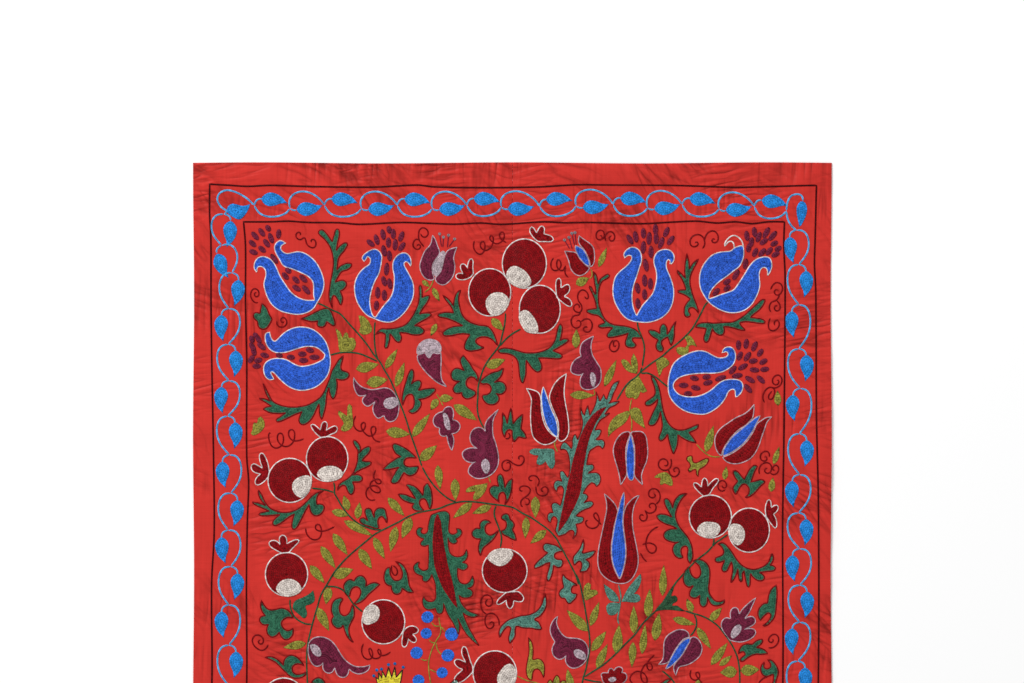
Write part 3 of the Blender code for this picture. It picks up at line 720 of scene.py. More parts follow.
# Sprays of green leaves, with a madder edge
LEAF_SPRAYS = [
    [(-28.2, 22.8, 1), (-28.7, 21.2), (-28.5, 19), (-28.2, 17.4), (-28, 15.8), (-28.1, 14.7), (-28.5, 13.3),
     (-29.4, 12), (-30.4, 11), (-29.9, 10.55), (-29.1, 11.2), (-28.2, 12.5, 1), (-27.9, 11.4),
     (-27.4, 10.4), (-27.1, 11.2), (-27.4, 12.6), (-27.6, 13.9, 1), (-26.9, 13), (-25.9, 12.65),
     (-26.2, 13.6), (-27.2, 14.9), (-27.5, 16.9, 1), (-26.7, 16.1), (-25.2, 15.9), (-25.7, 16.7),
     (-26.7, 17.05), (-27.2, 17.7), (-27.8, 18.8, 1), (-26.9, 18.5), (-26.4, 18.5), (-25.96, 19.1),
     (-26.5, 19.9), (-27, 20.1, 1), (-26.6, 21.2), (-26.7, 21.9), (-26.9, 22.4, 1), (-27.5, 21.2),
     (-28, 20.8), (-28.3, 21.55)],
    [(-39.2, 22.1, 1), (-38.5, 22.8), (-38.1, 23.8), (-37.65, 24.5, 1), (-38, 25.25), (-38.6, 26),
     (-39.4, 26.05), (-39.8, 25.6), (-39.9, 24.9), (-40.45, 24.4), (-40.5, 23.7), (-40.05, 23.5),
     (-39.5, 23.7, 1), (-39.4, 23)],
    [(-33.07, 24.5, 1), (-31.9, 24), (-30.7, 23.4), (-29.8, 23), (-28.8, 22.9), (-28.3, 23.6), (-28, 24.4),
     (-27.8, 25.1), (-27.9, 25.6), (-28.5, 25.3), (-29.1, 24.9, 1), (-29.4, 25.6), (-30.1, 25.8),
     (-30.6, 25.4), (-30.4, 24.8, 1), (-31.5, 24.9)],
    [(-21.4, 26.9, 1), (-20.6, 26.1), (-19.6, 26.1), (-18, 25.9), (-16.7, 25.4), (-15.9, 24.5),
     (-15.2, 23.3), (-14.7, 22), (-14.55, 20.6), (-14.6, 19.5), (-14.4, 19.2), (-14.15, 20.1),
     (-14.15, 21.2, 1), (-13.5, 20.9), (-12.9, 20.9, 1), (-13.35, 21.9), (-14.15, 23), (-14.6, 23.8, 1),
     (-13.7, 23.6), (-12.7, 23.8), (-13.2, 24.3), (-14.3, 24.9), (-15.4, 25.6, 1), (-14.6, 25.7),
     (-13.8, 26.4), (-14.3, 26.9), (-15.4, 27), (-16.7, 26.7), (-17.7, 26.6, 1), (-17.4, 27.3),
     (-17.6, 28.1), (-18.2, 28), (-18.8, 27.2), (-19.2, 26.8, 1), (-19.3, 28), (-19.85, 29.1), (-19.9, 28),
     (-19.85, 26.9, 1), (-20.6, 26.6)],
    [(-10.9, 20.8, 1), (-9.97, 21.5), (-9.2, 22.5, 1), (-9.1, 21.55), (-8.7, 20.4), (-8.1, 19.95, 1),
     (-8.45, 21.2), (-8.3, 22.5), (-7.8, 24), (-6.9, 24.9), (-5.3, 25.5), (-3.9, 25.7), (-3.1, 26.5),
     (-2.6, 27.7), (-2.3, 28.7, 1), (-3.2, 27.7), (-4.35, 27.3), (-5.4, 27.5), (-5.8, 28), (-5.3, 28.6),
     (-4.4, 29, 1), (-5.5, 29.4), (-6.8, 29.5), (-7.5, 29.1), (-7.3, 28.1), (-6.6, 26.9, 1), (-8.05, 26.8),
     (-9.65, 27.1), (-10.9, 26.9), (-10.1, 26.05), (-9, 25.7), (-7.7, 25.6, 1), (-9, 24.9), (-10.3, 24.4),
     (-11.7, 24), (-11.1, 23.6), (-10.1, 23.5), (-9.2, 23.6, 1), (-9.5, 22.7), (-10.3, 21.7)],
    [(-26.5, 30.3, 1), (-26.7, 31.2), (-26.9, 31.9), (-26.74, 32.55), (-25.7, 32.95), (-25.6, 33.5),
     (-26.25, 34), (-27.2, 34), (-27.6, 33.85, 1), (-27.45, 34.65), (-27.55, 35.75), (-27.8, 36.75),
     (-28.1, 37), (-28.5, 36.4), (-28.7, 35.2, 1), (-29, 35.95), (-29.15, 37.05), (-29.3, 38.35),
     (-29.65, 39.6), (-29.85, 40.25, 1), (-30.15, 39.6), (-30.2, 38.5), (-30.25, 37.7, 1), (-30.65, 38.5),
     (-31.25, 39.8), (-31.9, 40.6), (-32.7, 41.05), (-33.25, 40.85), (-33.4, 40.25), (-33.15, 39.45),
     (-32.85, 39, 1), (-33.95, 39.4), (-35.1, 39.95), (-36.05, 40.4), (-36.85, 40.6), (-37, 40.35),
     (-36.5, 39.95), (-35.4, 39.2, 1), (-36.5, 39.3), (-38, 39.15), (-39, 38.65, 1), (-38.6, 38.35),
     (-37.65, 38.2, 1), (-38.6, 37.6), (-39.7, 36.95, 1), (-38.95, 37), (-37.9, 37.4, 1), (-38.55, 36.25),
     (-39.05, 34.55, 1), (-38.2, 36.25), (-37.65, 37.3), (-36.85, 37.85), (-35.75, 38.2), (-34.45, 38.35),
     (-33.15, 38.25), (-31.9, 37.95), (-30.9, 37.4), (-30.3, 37), (-29.65, 36.25), (-29.15, 35.15),
     (-28.65, 34), (-28.25, 32.7), (-27.7, 31.75), (-27.2, 30.95)],
    [(-15.7, 32.4, 1), (-15.5, 32.7), (-15.5, 33.7), (-15.85, 34.8, 1), (-15.45, 34.4), (-14.7, 34.15),
     (-14.3, 34.4), (-14.4, 35.1), (-14.8, 35.75, 1), (-13.7, 35.5), (-12.25, 35.4), (-12, 35.6),
     (-12.55, 36.25), (-13.35, 36.8), (-14.3, 37.05), (-14.8, 37.1, 1), (-14.4, 37.35), (-14.3, 38),
     (-14.8, 38.8), (-15.6, 39.3), (-16.1, 39.1), (-16.25, 38.9), (-15.75, 38.65), (-15.45, 38.2),
     (-15.35, 37.4), (-15.5, 36.55), (-15.95, 36.25), (-16.55, 36.5), (-16.9, 37.2), (-17.2, 38, 1),
     (-17.3, 37.4), (-17.15, 36.1), (-16.75, 34.65), (-16.35, 33.35), (-15.95, 32.55)],
    [(-7.7, 30.2, 1), (-8.15, 30.95), (-7.9, 31.9), (-7.5, 32.65, 1), (-8.05, 32.4), (-8.85, 32.25),
     (-9.45, 32.7), (-9.6, 33.35), (-9.35, 34), (-8.7, 34.25), (-8.2, 34.25, 1), (-8.8, 34.65),
     (-9.25, 35.3), (-9.25, 35.75), (-8.85, 36.15), (-8.2, 36.1), (-7.9, 35.95, 1), (-7.85, 36.5),
     (-7.25, 37), (-6.6, 36.9), (-5.95, 36.5), (-5.75, 36), (-6.3, 35.6), (-6.95, 35.3), (-7.25, 34.8),
     (-7.2, 34.15), (-6.7, 33.6), (-6.15, 33.6), (-5.65, 34), (-5.35, 34.35, 1), (-5.4, 33.7),
     (-5.65, 33.05), (-6.15, 32.4), (-6.6, 31.6), (-7.1, 30.95)],
    [(12.7, 17.1, 1), (13.2, 17.85), (13.35, 18.8), (13.5, 19.1, 1), (13.75, 18.3), (14.3, 17.85),
     (14.95, 17.5), (15.2, 17.7), (14.95, 18.1), (14.15, 18.5), (13.75, 19.1), (13.5, 20.1), (13.45, 21.2),
     (13.5, 22.2), (13.85, 23.3), (14.3, 24.3), (14.95, 25), (15.75, 25.4), (16.7, 25.55), (17.85, 25.7),
     (18.95, 26.05), (19.8, 26.7), (20.25, 27.5, 1), (19.45, 27.45), (18.8, 27.5), (18.8, 27.95),
     (19.35, 28.6), (19.1, 28.95), (18.5, 29), (17.85, 28.8), (17.7, 28.15), (17.95, 27.35),
     (18.15, 26.7, 1), (17.35, 27), (16.25, 27.25), (15.3, 27.4), (14.8, 27.25), (14.9, 26.85),
     (15.3, 26.35), (15.75, 25.9, 1), (14.95, 25.8), (14, 25.9), (13.45, 25.7), (13.5, 25.5),
     (14.15, 25.25), (14.55, 25.1, 1), (14, 24.45), (13.35, 23.95), (12.55, 23.8), (11.65, 23.4),
     (11.65, 23.15), (12.4, 23), (13.2, 22.9, 1), (13.05, 22), (12.8, 21.2), (12.4, 20.25), (12, 19.35),
     (12.3, 19.5), (12.7, 20.25), (13.05, 20.75, 1), (13.05, 19.8), (12.85, 18.65)],
    [(27.3, 14.3, 1), (27.6, 15.6), (27.7, 16.8, 1), (28.2, 15.9), (29.1, 15.1, 1), (28.8, 15.8),
     (28.2, 16.9), (27.8, 18), (27.8, 19), (28, 20), (28.3, 21), (28.7, 22), (29.05, 23), (29.15, 23.6, 1),
     (28.7, 23), (28.2, 22.7), (27.7, 22.8), (27.5, 23.2), (27.9, 23.9), (27.6, 24.2), (27.1, 24.1),
     (26.9, 23.4), (27.05, 22.5), (27.5, 21.8), (27.9, 21.4, 1), (27.4, 21), (26.7, 20.6), (25.9, 20.3),
     (25.9, 20.1), (26.5, 20), (27.2, 20, 1), (26.9, 19), (26.4, 18), (25.9, 17.4), (25.8, 16.9, 1),
     (26.5, 17.5), (27.1, 18.2, 1), (27, 17), (27.1, 15.6)],
    [(28.7, 25.8, 1), (29.1, 25.3), (30.2, 25.1), (31.5, 25.2), (33, 25.1), (34.5, 25), (35.4, 24.6),
     (36.4, 23.9), (37.3, 23.1), (38.3, 22.2), (39.1, 21.5), (39.6, 21.5, 1), (39.2, 22.4), (38.5, 23.2),
     (37.7, 23.8), (37.2, 24.3, 1), (38.1, 24.4), (39.1, 24.6), (39.6, 25), (39.1, 25.2), (37.5, 25),
     (36.4, 24.9), (35.5, 25.1, 1), (35.9, 25.7), (36.5, 26.3, 1), (35.6, 26.2), (34.6, 25.9), (33.6, 25.7),
     (33, 25.7, 1), (33.2, 26.3), (33, 26.9), (32.3, 27), (31.7, 26.6), (31.3, 26, 1), (31, 27),
     (30.7, 27.9), (30.2, 28.2), (30, 27.5), (30.2, 26.7), (30.4, 26, 1), (29.7, 25.9)],
    [(25.6, 24.9, 1), (25.35, 25.8), (25.35, 26.8), (25.2, 27.8), (24.8, 28.7, 1), (24.55, 27.9),
     (24.3, 27.3, 1), (23.9, 27.5), (23.4, 27.9), (23.3, 28.4), (23.6, 29.1), (23.4, 29.6), (22.8, 29.5),
     (22.5, 28.9), (22.6, 28.2), (22.9, 27.8, 1), (22, 27.3), (21.4, 26.7), (21.3, 26.3), (22, 26.3),
     (22.8, 26.6), (23.1, 26.9, 1), (23.1, 26.2), (23.3, 25.5), (23.7, 25.3), (24.1, 25.7), (24.2, 26.5),
     (24.2, 27, 1), (24.6, 26.5), (25, 25.7)],
    [(-2.25, 29.4, 1), (-1.4, 29.1), (-0.3, 29.2), (0.8, 29.5), (1.8, 29.8), (3.4, 29.85), (4.55, 29.65),
     (5.5, 29.25), (6.15, 28.7), (6.7, 27.8), (7, 26.5), (7.3, 25.5), (7.6, 25.3, 1), (7.8, 25.7),
     (7.75, 26.5), (7.55, 27.5), (7.4, 28, 1), (8, 27.65), (8.8, 27.75), (8.7, 28), (8.05, 28.45),
     (7.25, 28.95), (6.6, 29.3), (6.3, 29.5, 1), (7.1, 29.8), (7.75, 30.15), (7.8, 30.45), (7.4, 30.7),
     (6.45, 30.7), (5.15, 30.6), (4.05, 30.6, 1), (4.4, 31.3), (4.6, 32), (4.4, 32.6), (3.8, 32.8),
     (3.1, 32.2), (2.5, 31.4), (2.2, 30.9, 1), (2.1, 31.9), (2.1, 33), (1.8, 34.2), (1.6, 34.6, 1),
     (1.3, 34.1), (1.1, 33), (1, 31.9), (0.8, 31), (0.2, 30.3), (-0.9, 29.9), (-2, 29.8)],
    [(-0.25, 38.5, 1), (-0.05, 39.5), (0.1, 41, 1), (0.7, 40.2), (1.6, 39.4, 1), (1.5, 40.5),
     (1.3, 41.7, 1), (1.9, 42.4), (2.2, 43.2, 1), (1.5, 43.1), (1, 42.9, 1), (0.7, 43.3), (0.2, 43.8, 1),
     (0, 42.9), (0, 42, 1), (-0.5, 41.8), (-1, 42.2), (-1.2, 43.1, 1), (-1.6, 42), (-1.55, 40.5),
     (-1.55, 39.2, 1), (-1.1, 39.9), (-0.8, 41, 1), (-0.6, 39.8)],
    [(-5.1, 34.4, 1), (-4.7, 34), (-4, 33.4), (-3, 32.9), (-2.2, 32.7), (-1.4, 32.2, 1), (-1.7, 33.3),
     (-2.3, 34), (-2.9, 34.5, 1), (-2.1, 34.3), (-1.3, 34.6), (-1, 35.4), (-1.4, 36.1), (-2.1, 36.3),
     (-2.6, 36.1, 1), (-2.1, 36.8), (-2.3, 37.5), (-3, 37.9), (-3.9, 37.8), (-4.5, 37.2), (-4.7, 36.5),
     (-4.1, 36.4), (-3.5, 36.1), (-3.3, 35.5), (-3.5, 34.9), (-4.1, 34.6), (-4.6, 34.7)],
    [(21.7, 33.3, 1), (22.4, 34), (22.9, 35.2), (23.2, 36.5), (23.4, 37.9), (23.7, 39.2), (24.1, 40.3),
     (24.7, 41.2), (25.5, 41.8), (26.5, 41.95), (27.5, 41.7), (28.4, 41.3), (29.1, 41, 1), (29, 41.6),
     (28.3, 42), (27.6, 42.3, 1), (28.2, 43), (28.8, 43.9, 1), (27.8, 43.7), (26.9, 43.3), (26.3, 42.9),
     (25.9, 42.6, 1), (25.9, 43.4), (25.7, 44.6), (25.2, 45.7, 1), (24.8, 44.6), (24.5, 43.4),
     (24.3, 42.5, 1), (23.8, 43.2), (23.1, 43.6), (23, 42.9), (23.4, 41.9), (23.5, 40.9, 1), (23.3, 39.7),
     (23.2, 39, 1), (22.9, 40), (22.4, 40.9), (21.8, 41.2), (21.3, 41), (21.6, 40.1), (22.1, 39),
     (22.7, 37.7), (22.8, 37, 1), (22.3, 37.5), (21.6, 38), (20.8, 38), (20.8, 37.6), (21.6, 37),
     (22.3, 36.4), (22.3, 35.3), (21.9, 34.2)],
    [(34.6, 48.3), (35.2, 48.4), (35.8, 49.1), (36.3, 49.7, 1), (36.7, 48.9), (37.2, 48), (37.9, 47.4),
     (38.3, 47.5), (37.9, 48.4), (37.5, 49.5), (37.3, 50.1, 1), (38.1, 49.9), (39, 49.7), (39.5, 50),
     (38.9, 50.6), (38.3, 51.3), (37.6, 52), (36.9, 52.4), (36.4, 52.5, 1), (37, 51.9), (37.1, 51.2),
     (36.8, 50.6), (36.2, 50.3), (35.7, 50.7), (35.3, 51.4), (35, 52, 1), (34.6, 51.5), (34.6, 50.8),
     (35.1, 50.2), (35.3, 49.9, 1), (34.8, 49.2)],
    [(-29.6, 51.4, 1), (-30.4, 52), (-30.7, 52.9), (-30.6, 53.6, 1), (-30.1, 53.5), (-29.5, 53.8),
     (-29.6, 54.5), (-30.1, 55.1), (-30.9, 55.3), (-31.5, 54.8), (-31.7, 54.1), (-31.8, 53.5, 1),
     (-32.3, 54.3), (-32.8, 55.3), (-33.3, 56.3), (-33.9, 57.3), (-34.4, 57.4), (-34.5, 56.6),
     (-34.3, 55.6), (-34.1, 55, 1), (-35, 55.5), (-35.9, 56.2), (-36.9, 56.8), (-37.5, 56.7), (-37.4, 56.1),
     (-36.8, 55.5), (-36.3, 55.1, 1), (-37.3, 55.2), (-38.6, 55.3), (-39.7, 55.1), (-39, 54.8),
     (-38, 54.6, 1), (-39.1, 54.1), (-40.1, 53.7), (-40.8, 53.2, 1), (-40, 53.3), (-39, 53.6),
     (-38.6, 53.8, 1), (-39.3, 52.9), (-39.7, 52.1), (-39.8, 51.3, 1), (-39.3, 52), (-38.8, 53.1),
     (-38.1, 54), (-37.3, 54.5), (-36.2, 54.8), (-35, 54.8), (-33.8, 54.4), (-32.8, 53.7), (-31.9, 52.8),
     (-30.9, 51.9)],
    [(-24.8, 43.5), (-24.2, 43.9), (-23.8, 44.7), (-23.9, 45.5, 1), (-23.4, 44.9), (-22.5, 44.5),
     (-22.2, 44.7), (-22.5, 45.5), (-23.2, 46.2), (-23.6, 46.7, 1), (-22.8, 46.9), (-22.1, 46.9),
     (-22.2, 47.3), (-22.9, 47.7), (-23.8, 48.1), (-24.6, 48.6), (-25, 49, 1), (-24.2, 48.9), (-23.5, 49.3),
     (-23.7, 49.9), (-24.5, 50), (-25.1, 50, 1), (-24.8, 50.6), (-24.8, 51.4), (-25.2, 52), (-25.7, 51.6),
     (-26, 50.8), (-26.3, 50.5), (-26.9, 50.7), (-27.4, 51.3, 1), (-27.2, 50.6), (-26.6, 50), (-25.9, 49.6),
     (-25.2, 49), (-24.7, 48.2), (-24.3, 47), (-24.2, 46), (-24.2, 45.1), (-24.7, 44.3), (-24.95, 43.7)],
    [(-21.2, 57.4, 1), (-22, 57.1), (-23, 56.8), (-23.7, 56.4), (-23.9, 55.9), (-23.3, 55.7),
     (-22.6, 56.2, 1), (-22.9, 55.4), (-23.1, 54.6), (-22.8, 54.2), (-22.2, 54.3), (-21.9, 55),
     (-21.6, 55.7, 1), (-21.6, 55), (-21.4, 54.4), (-20.7, 54.1), (-20, 54.3), (-19.8, 55), (-19.6, 55.8),
     (-19.7, 56.5, 1), (-20, 55.8), (-20.5, 55.4), (-21, 55.8), (-21.1, 56.5), (-20.9, 57.1)],
    [(-18.75, 44.3), (-18.5, 44.05), (-17.7, 44.3), (-16.6, 44.9), (-15.6, 45.7), (-15.05, 46.3, 1),
     (-15.8, 46.2), (-16.6, 46.3), (-17, 46.8), (-16.9, 47.4), (-16.2, 47.7), (-15.3, 47.6),
     (-14.7, 47.6, 1), (-14.9, 48.3), (-15.5, 48.9), (-16.3, 49), (-17, 48.5, 1), (-17.4, 49.2),
     (-17.9, 50), (-18.6, 50.3), (-19, 50), (-18.7, 49.2), (-18.1, 48.2), (-17.7, 47.7, 1), (-18.6, 47.9),
     (-19.6, 48.1), (-20.3, 48.1, 1), (-19.6, 47.4), (-18.8, 46.8), (-18, 46.3), (-17.4, 46.1, 1),
     (-18.2, 45.6), (-18.6, 45)],
    [(-12.9, 54.3, 1), (-12.6, 53.4), (-12.6, 52.2), (-12.8, 51.1), (-13.3, 50.2, 1), (-13.8, 50.7),
     (-13.9, 51.5), (-14, 52.2, 1), (-14.6, 51.4), (-15.4, 50.7), (-16.4, 50.4), (-16.6, 50.5, 1),
     (-16, 51.3), (-15.5, 52.1), (-15.1, 52.7, 1), (-15.9, 52.4), (-16.9, 52), (-17.9, 51.9, 1),
     (-17.3, 52.7), (-16.4, 53.2), (-15.4, 53.4, 1), (-15.7, 54), (-15.2, 54.5), (-14.4, 54.6),
     (-13.8, 54.6, 1), (-14.3, 54), (-14.6, 53.3), (-14.3, 52.7), (-13.7, 52.7), (-13.3, 53.3), (-13.1, 54)],
    [(-1.2, 53.6, 1), (-0.6, 52.7), (-0.2, 51.5), (-0.05, 50.3), (0, 49.5, 1), (-0.6, 49.9), (-1, 50.6),
     (-1.2, 51, 1), (-1.3, 50.2), (-1.5, 49.3), (-1.9, 48.8), (-2.3, 49.2), (-2.3, 50.1), (-2.1, 50.8, 1),
     (-2.7, 50.6), (-3.3, 50.8), (-3.6, 51.3), (-3.4, 52), (-2.9, 52.5), (-2.4, 52.9), (-2.1, 53.2, 1),
     (-2.2, 52.4), (-1.9, 51.7), (-1.5, 51.6), (-1.1, 52), (-1, 52.8)],
    [(-2.2, 57.6, 1), (-2.6, 58.4), (-3.2, 59.2), (-3.9, 59.8), (-4.6, 60.4), (-5, 61.6, 1), (-5.3, 60.7),
     (-5.2, 59.7), (-4.9, 58.9, 1), (-5.7, 58.9), (-6.3, 58.4), (-6.2, 57.7), (-5.6, 57.3), (-5, 57.4, 1),
     (-5.1, 56.7), (-4.7, 56.1), (-4, 56), (-3.4, 56.4, 1), (-4, 56.6), (-4.3, 57.2), (-4.2, 57.9),
     (-3.6, 58.4), (-2.9, 58.2)],
    [(-1.8, 57.7, 1), (-1.2, 57.5), (-0.9, 56.8), (-1.1, 56.1), (-1.7, 55.8), (-1.6, 55.3), (-1, 55),
     (-0.5, 55.3), (-0.4, 55.9), (0, 56.2), (0.3, 56.8), (0, 57.5), (0.4, 58.3), (0.6, 59.2, 1),
     (-0.2, 58.9), (-0.9, 58.5), (-1.5, 58.2)],
    [(27.3, 51.85, 1), (26.7, 52.4), (26.1, 53.3), (25.7, 54.3), (25.5, 55.2), (25.7, 56.1), (26.1, 57),
     (26.8, 57.9), (27.5, 58.8), (28, 59.9), (28.2, 61.1), (28.2, 61.9), (27.8, 62.8, 1), (27.5, 62.3),
     (27.4, 61.5), (27.5, 60.6), (27.3, 60.1), (26.8, 60.1), (26.4, 60.5), (26.4, 61.2), (26.7, 61.8, 1),
     (26.2, 62), (25.6, 61.7), (25.2, 61.1), (25.1, 60.4), (25.5, 59.7), (26.2, 59.4, 1), (25.6, 59.5),
     (24.9, 59.4), (24.1, 59.1), (23.7, 58.6), (23.8, 58), (24.5, 57.5), (25.2, 57.4), (25.8, 57.4, 1),
     (25.2, 57), (24.3, 56.7), (23.4, 56.3), (22.8, 55.8), (22.6, 55.3), (23, 55.1), (23.7, 55.1),
     (24.4, 55.3), (25, 55.6, 1), (24.6, 54.9), (24.1, 54), (23.8, 53.2), (23.8, 52.7), (24.3, 52.7),
     (24.8, 53.4), (25.1, 54.2, 1), (25.3, 53.2), (25.9, 52.3), (26.6, 51.9)],
    [(28.3, 62.4, 1), (28.9, 62.2), (29.7, 62.3), (30.4, 62.8), (30.8, 63.5), (30.9, 64.5), (30.8, 65.7),
     (30.7, 66.6), (30.8, 67.4), (31.2, 68.1), (31.8, 68.7), (32.6, 68.8), (33.2, 68.5, 1), (33.1, 69),
     (32.5, 69.3), (31.7, 69.4), (31.1, 69.1), (30.5, 68, 1), (30.5, 68.9), (30.2, 69.5), (29.8, 69.6),
     (29.4, 69.2), (29.3, 68.4), (29.4, 67.7, 1), (29, 68.1), (28.3, 68.2), (27.8, 67.9), (27.8, 67.2),
     (28.4, 66.2, 1), (27.7, 66.5), (27.1, 66.2), (26.8, 65.5), (26.8, 64.6), (27.1, 63.9), (27.7, 63.3, 1),
     (27.8, 64), (28.1, 64.7), (28.6, 65.1), (29.2, 65), (29.5, 64.4), (29.4, 63.5), (29, 62.9)],
    [(32.2, 59.75, 1), (32.7, 59.6), (33.2, 59.7), (33.8, 60.3), (34.4, 61.1), (34.9, 61.9), (35.5, 62.7),
     (36.2, 63.3), (37, 63.65), (37.9, 63.75), (38.8, 63.5), (39.6, 63.1), (40.1, 62.6), (40.4, 61.9),
     (40.6, 61.2, 1), (40.85, 61.7), (40.8, 62.3), (40.3, 63.1, 1), (40.9, 63.2), (41.2, 63.5),
     (40.9, 63.9), (40, 64), (38.6, 64.2, 1), (39.1, 64.5), (39.5, 65), (39.2, 65.4), (38.6, 65.5),
     (38, 65.2), (37.5, 64.7), (37.3, 64.3, 1), (37.2, 65.1), (37.2, 65.9), (36.95, 66.5), (36.7, 66),
     (36.5, 65.2), (36.3, 63.9, 1), (36, 64.3), (36, 65.1), (35.8, 65.7), (35.5, 65.2), (35.3, 63.6, 1),
     (35.1, 64.3), (34.7, 65.2), (34.2, 65.85, 1), (34.3, 65), (34.5, 64.1), (34.5, 63.2), (34.3, 62.5, 1),
     (33.9, 63.3), (33.6, 63.9), (33.1, 64.1), (32.8, 63.7), (33, 62.9), (33.3, 62.3, 1), (32.7, 62.5),
     (32.1, 62.6), (31.7, 62.3), (31.9, 61.9), (32.5, 61.7), (33, 61.4), (33.1, 60.8), (32.7, 60.1)],
    [(41.3, 66.2, 1), (41.4, 67.1), (41.4, 68.1), (41.3, 69.2), (41.2, 70.3), (41, 71.2), (40.5, 71.9),
     (39.8, 72.5), (39.2, 72.6, 1), (39.8, 72.1), (40.3, 71.5), (40.5, 70.9), (40.2, 70.5), (39.7, 70.7),
     (39.2, 71.2), (38.8, 71.7, 1), (38.5, 71), (38.5, 70.2), (38.9, 69.5), (39.4, 69.1), (40, 69, 1),
     (40.1, 68), (40.4, 67.1), (40.9, 66.5)],
    [(-39.3, 68.6, 1), (-38.9, 69.3), (-38.4, 69.9), (-37.8, 70.1), (-37, 70), (-36.2, 69.8), (-35.4, 70),
     (-34.8, 70.5), (-34.3, 71.3, 1), (-35.1, 71.2), (-35.8, 71.5), (-36.2, 72.1), (-36, 72.8),
     (-35.4, 73.3), (-34.8, 73.3), (-34.35, 72.9, 1), (-34.4, 73.9), (-35, 74.6), (-35.6, 74.7),
     (-36.2, 74.2), (-36.5, 73.5, 1), (-36.9, 74), (-37.5, 74.3), (-38.1, 74.1), (-38.4, 73.5),
     (-38.4, 72.8), (-38.1, 72.3, 1), (-38.7, 72.4), (-39.3, 72.2), (-39.6, 71.6), (-39.3, 71.1),
     (-38.6, 71, 1), (-39.1, 70.4), (-39.4, 69.5)],
    [(-20.8, 66.1, 1), (-21.5, 65.8), (-22.3, 66), (-23, 66.4, 1), (-22.9, 65.6), (-23.3, 64.9),
     (-23.9, 64.7), (-24.5, 65.1), (-24.8, 65.6, 1), (-25.4, 65.3), (-26, 65.6), (-26.4, 66.3),
     (-26.3, 67.1), (-25.9, 67.8), (-25.5, 68, 1), (-25.4, 67.3), (-25.1, 66.7), (-24.5, 66.4), (-24, 66.6),
     (-23.7, 67.2), (-23.9, 68), (-24.4, 68.7), (-24.9, 69.2, 1), (-24.1, 69), (-23.2, 68.4), (-22.5, 67.6),
     (-21.7, 66.9)],
    [(-25, 69.2, 1), (-24.8, 70), (-24.8, 71), (-25.2, 71.9), (-25.6, 72.8), (-25.6, 73.6), (-25.3, 74.5),
     (-24.9, 75.2, 1), (-25.6, 74.6), (-26.1, 73.7), (-26.5, 72.4, 1), (-26.9, 72.9), (-27.5, 72.9),
     (-28.1, 72.4), (-28.3, 71.6), (-28, 71.1, 1), (-28.3, 70.4), (-28.3, 69.5), (-28, 68.7), (-27.4, 68.3),
     (-26.8, 68.2), (-26.5, 68.4, 1), (-26.9, 68.9), (-27.1, 69.7), (-27, 70.5), (-26.5, 71), (-25.9, 70.9),
     (-25.4, 70.3), (-25.2, 69.7)],
    [(-18.3, 62.5, 1), (-17.5, 62.8), (-16.9, 63.4), (-16.5, 64.3), (-16.3, 65.4), (-16.1, 66.4),
     (-15.5, 67.3, 1), (-16.3, 67.3), (-17.3, 66.6, 1), (-17.4, 67.2), (-17.9, 67.6), (-18.5, 67.5),
     (-18.9, 66.9), (-18.9, 66.3, 1), (-19.5, 66.2), (-20, 65.6), (-20.1, 64.8), (-19.9, 64), (-19.6, 63.5),
     (-19.1, 63.5, 1), (-19.2, 64.2), (-18.9, 65), (-18.3, 65.5), (-17.6, 65.4), (-17.2, 64.7),
     (-17.3, 63.9), (-17.7, 63.1)],
    [(-38.7, 77.5, 1), (-38, 77.4), (-37.2, 77.6), (-36.5, 78.1), (-35.8, 78.8, 1), (-35.8, 78.2),
     (-35.5, 77.6), (-34.9, 77.2), (-34.1, 77.3), (-33.4, 77.8), (-32.6, 78.8, 1), (-33.4, 78.5),
     (-34.1, 78.6), (-34.5, 79.1), (-34.4, 79.8), (-33.8, 80.2), (-33, 80.1), (-32.3, 79.8, 1),
     (-32.5, 80.3), (-33.3, 80.7), (-34.2, 80.7), (-35, 80.3), (-35.7, 79.6), (-36.3, 79), (-37, 78.3),
     (-37.9, 77.8)],
    [(-31.5, 81.5, 1), (-31, 80.9), (-30.3, 80.7), (-29.6, 81.1), (-29.3, 81.8), (-29.5, 82.7),
     (-30.2, 83.6, 1), (-30.1, 82.7), (-30.3, 82), (-30.8, 81.6)],
    [(35.4, 76.9, 1), (35.6, 76.2), (36.1, 75.6), (36.8, 75.4), (37.5, 75.5), (38.1, 75), (38.8, 74.7),
     (39.2, 74.7), (39, 75.3), (38.1, 76, 1), (38.9, 76.1), (39.5, 76.4), (40, 76.9, 1), (39, 77), (38, 77),
     (37.2, 77.3), (36.6, 77.7), (36.1, 78.1), (35.6, 78), (36.1, 77.4), (36.5, 77), (36.3, 76.6),
     (35.9, 76.6)],
    [(40, 77.9, 1), (40.6, 78), (41.1, 78.5), (41.5, 79.2), (41.6, 80), (41.3, 81), (41.1, 82),
     (40.9, 83.2, 1), (40.7, 82.2), (40.9, 81), (40.9, 80.1, 1), (40.3, 80.3), (39.8, 80.5), (39.2, 80.2),
     (38.9, 79.5), (39, 78.8), (39.5, 78.2, 1), (39.3, 78.9), (39.6, 79.3), (40.1, 79.3), (40.5, 78.9),
     (40.4, 78.4)],
]

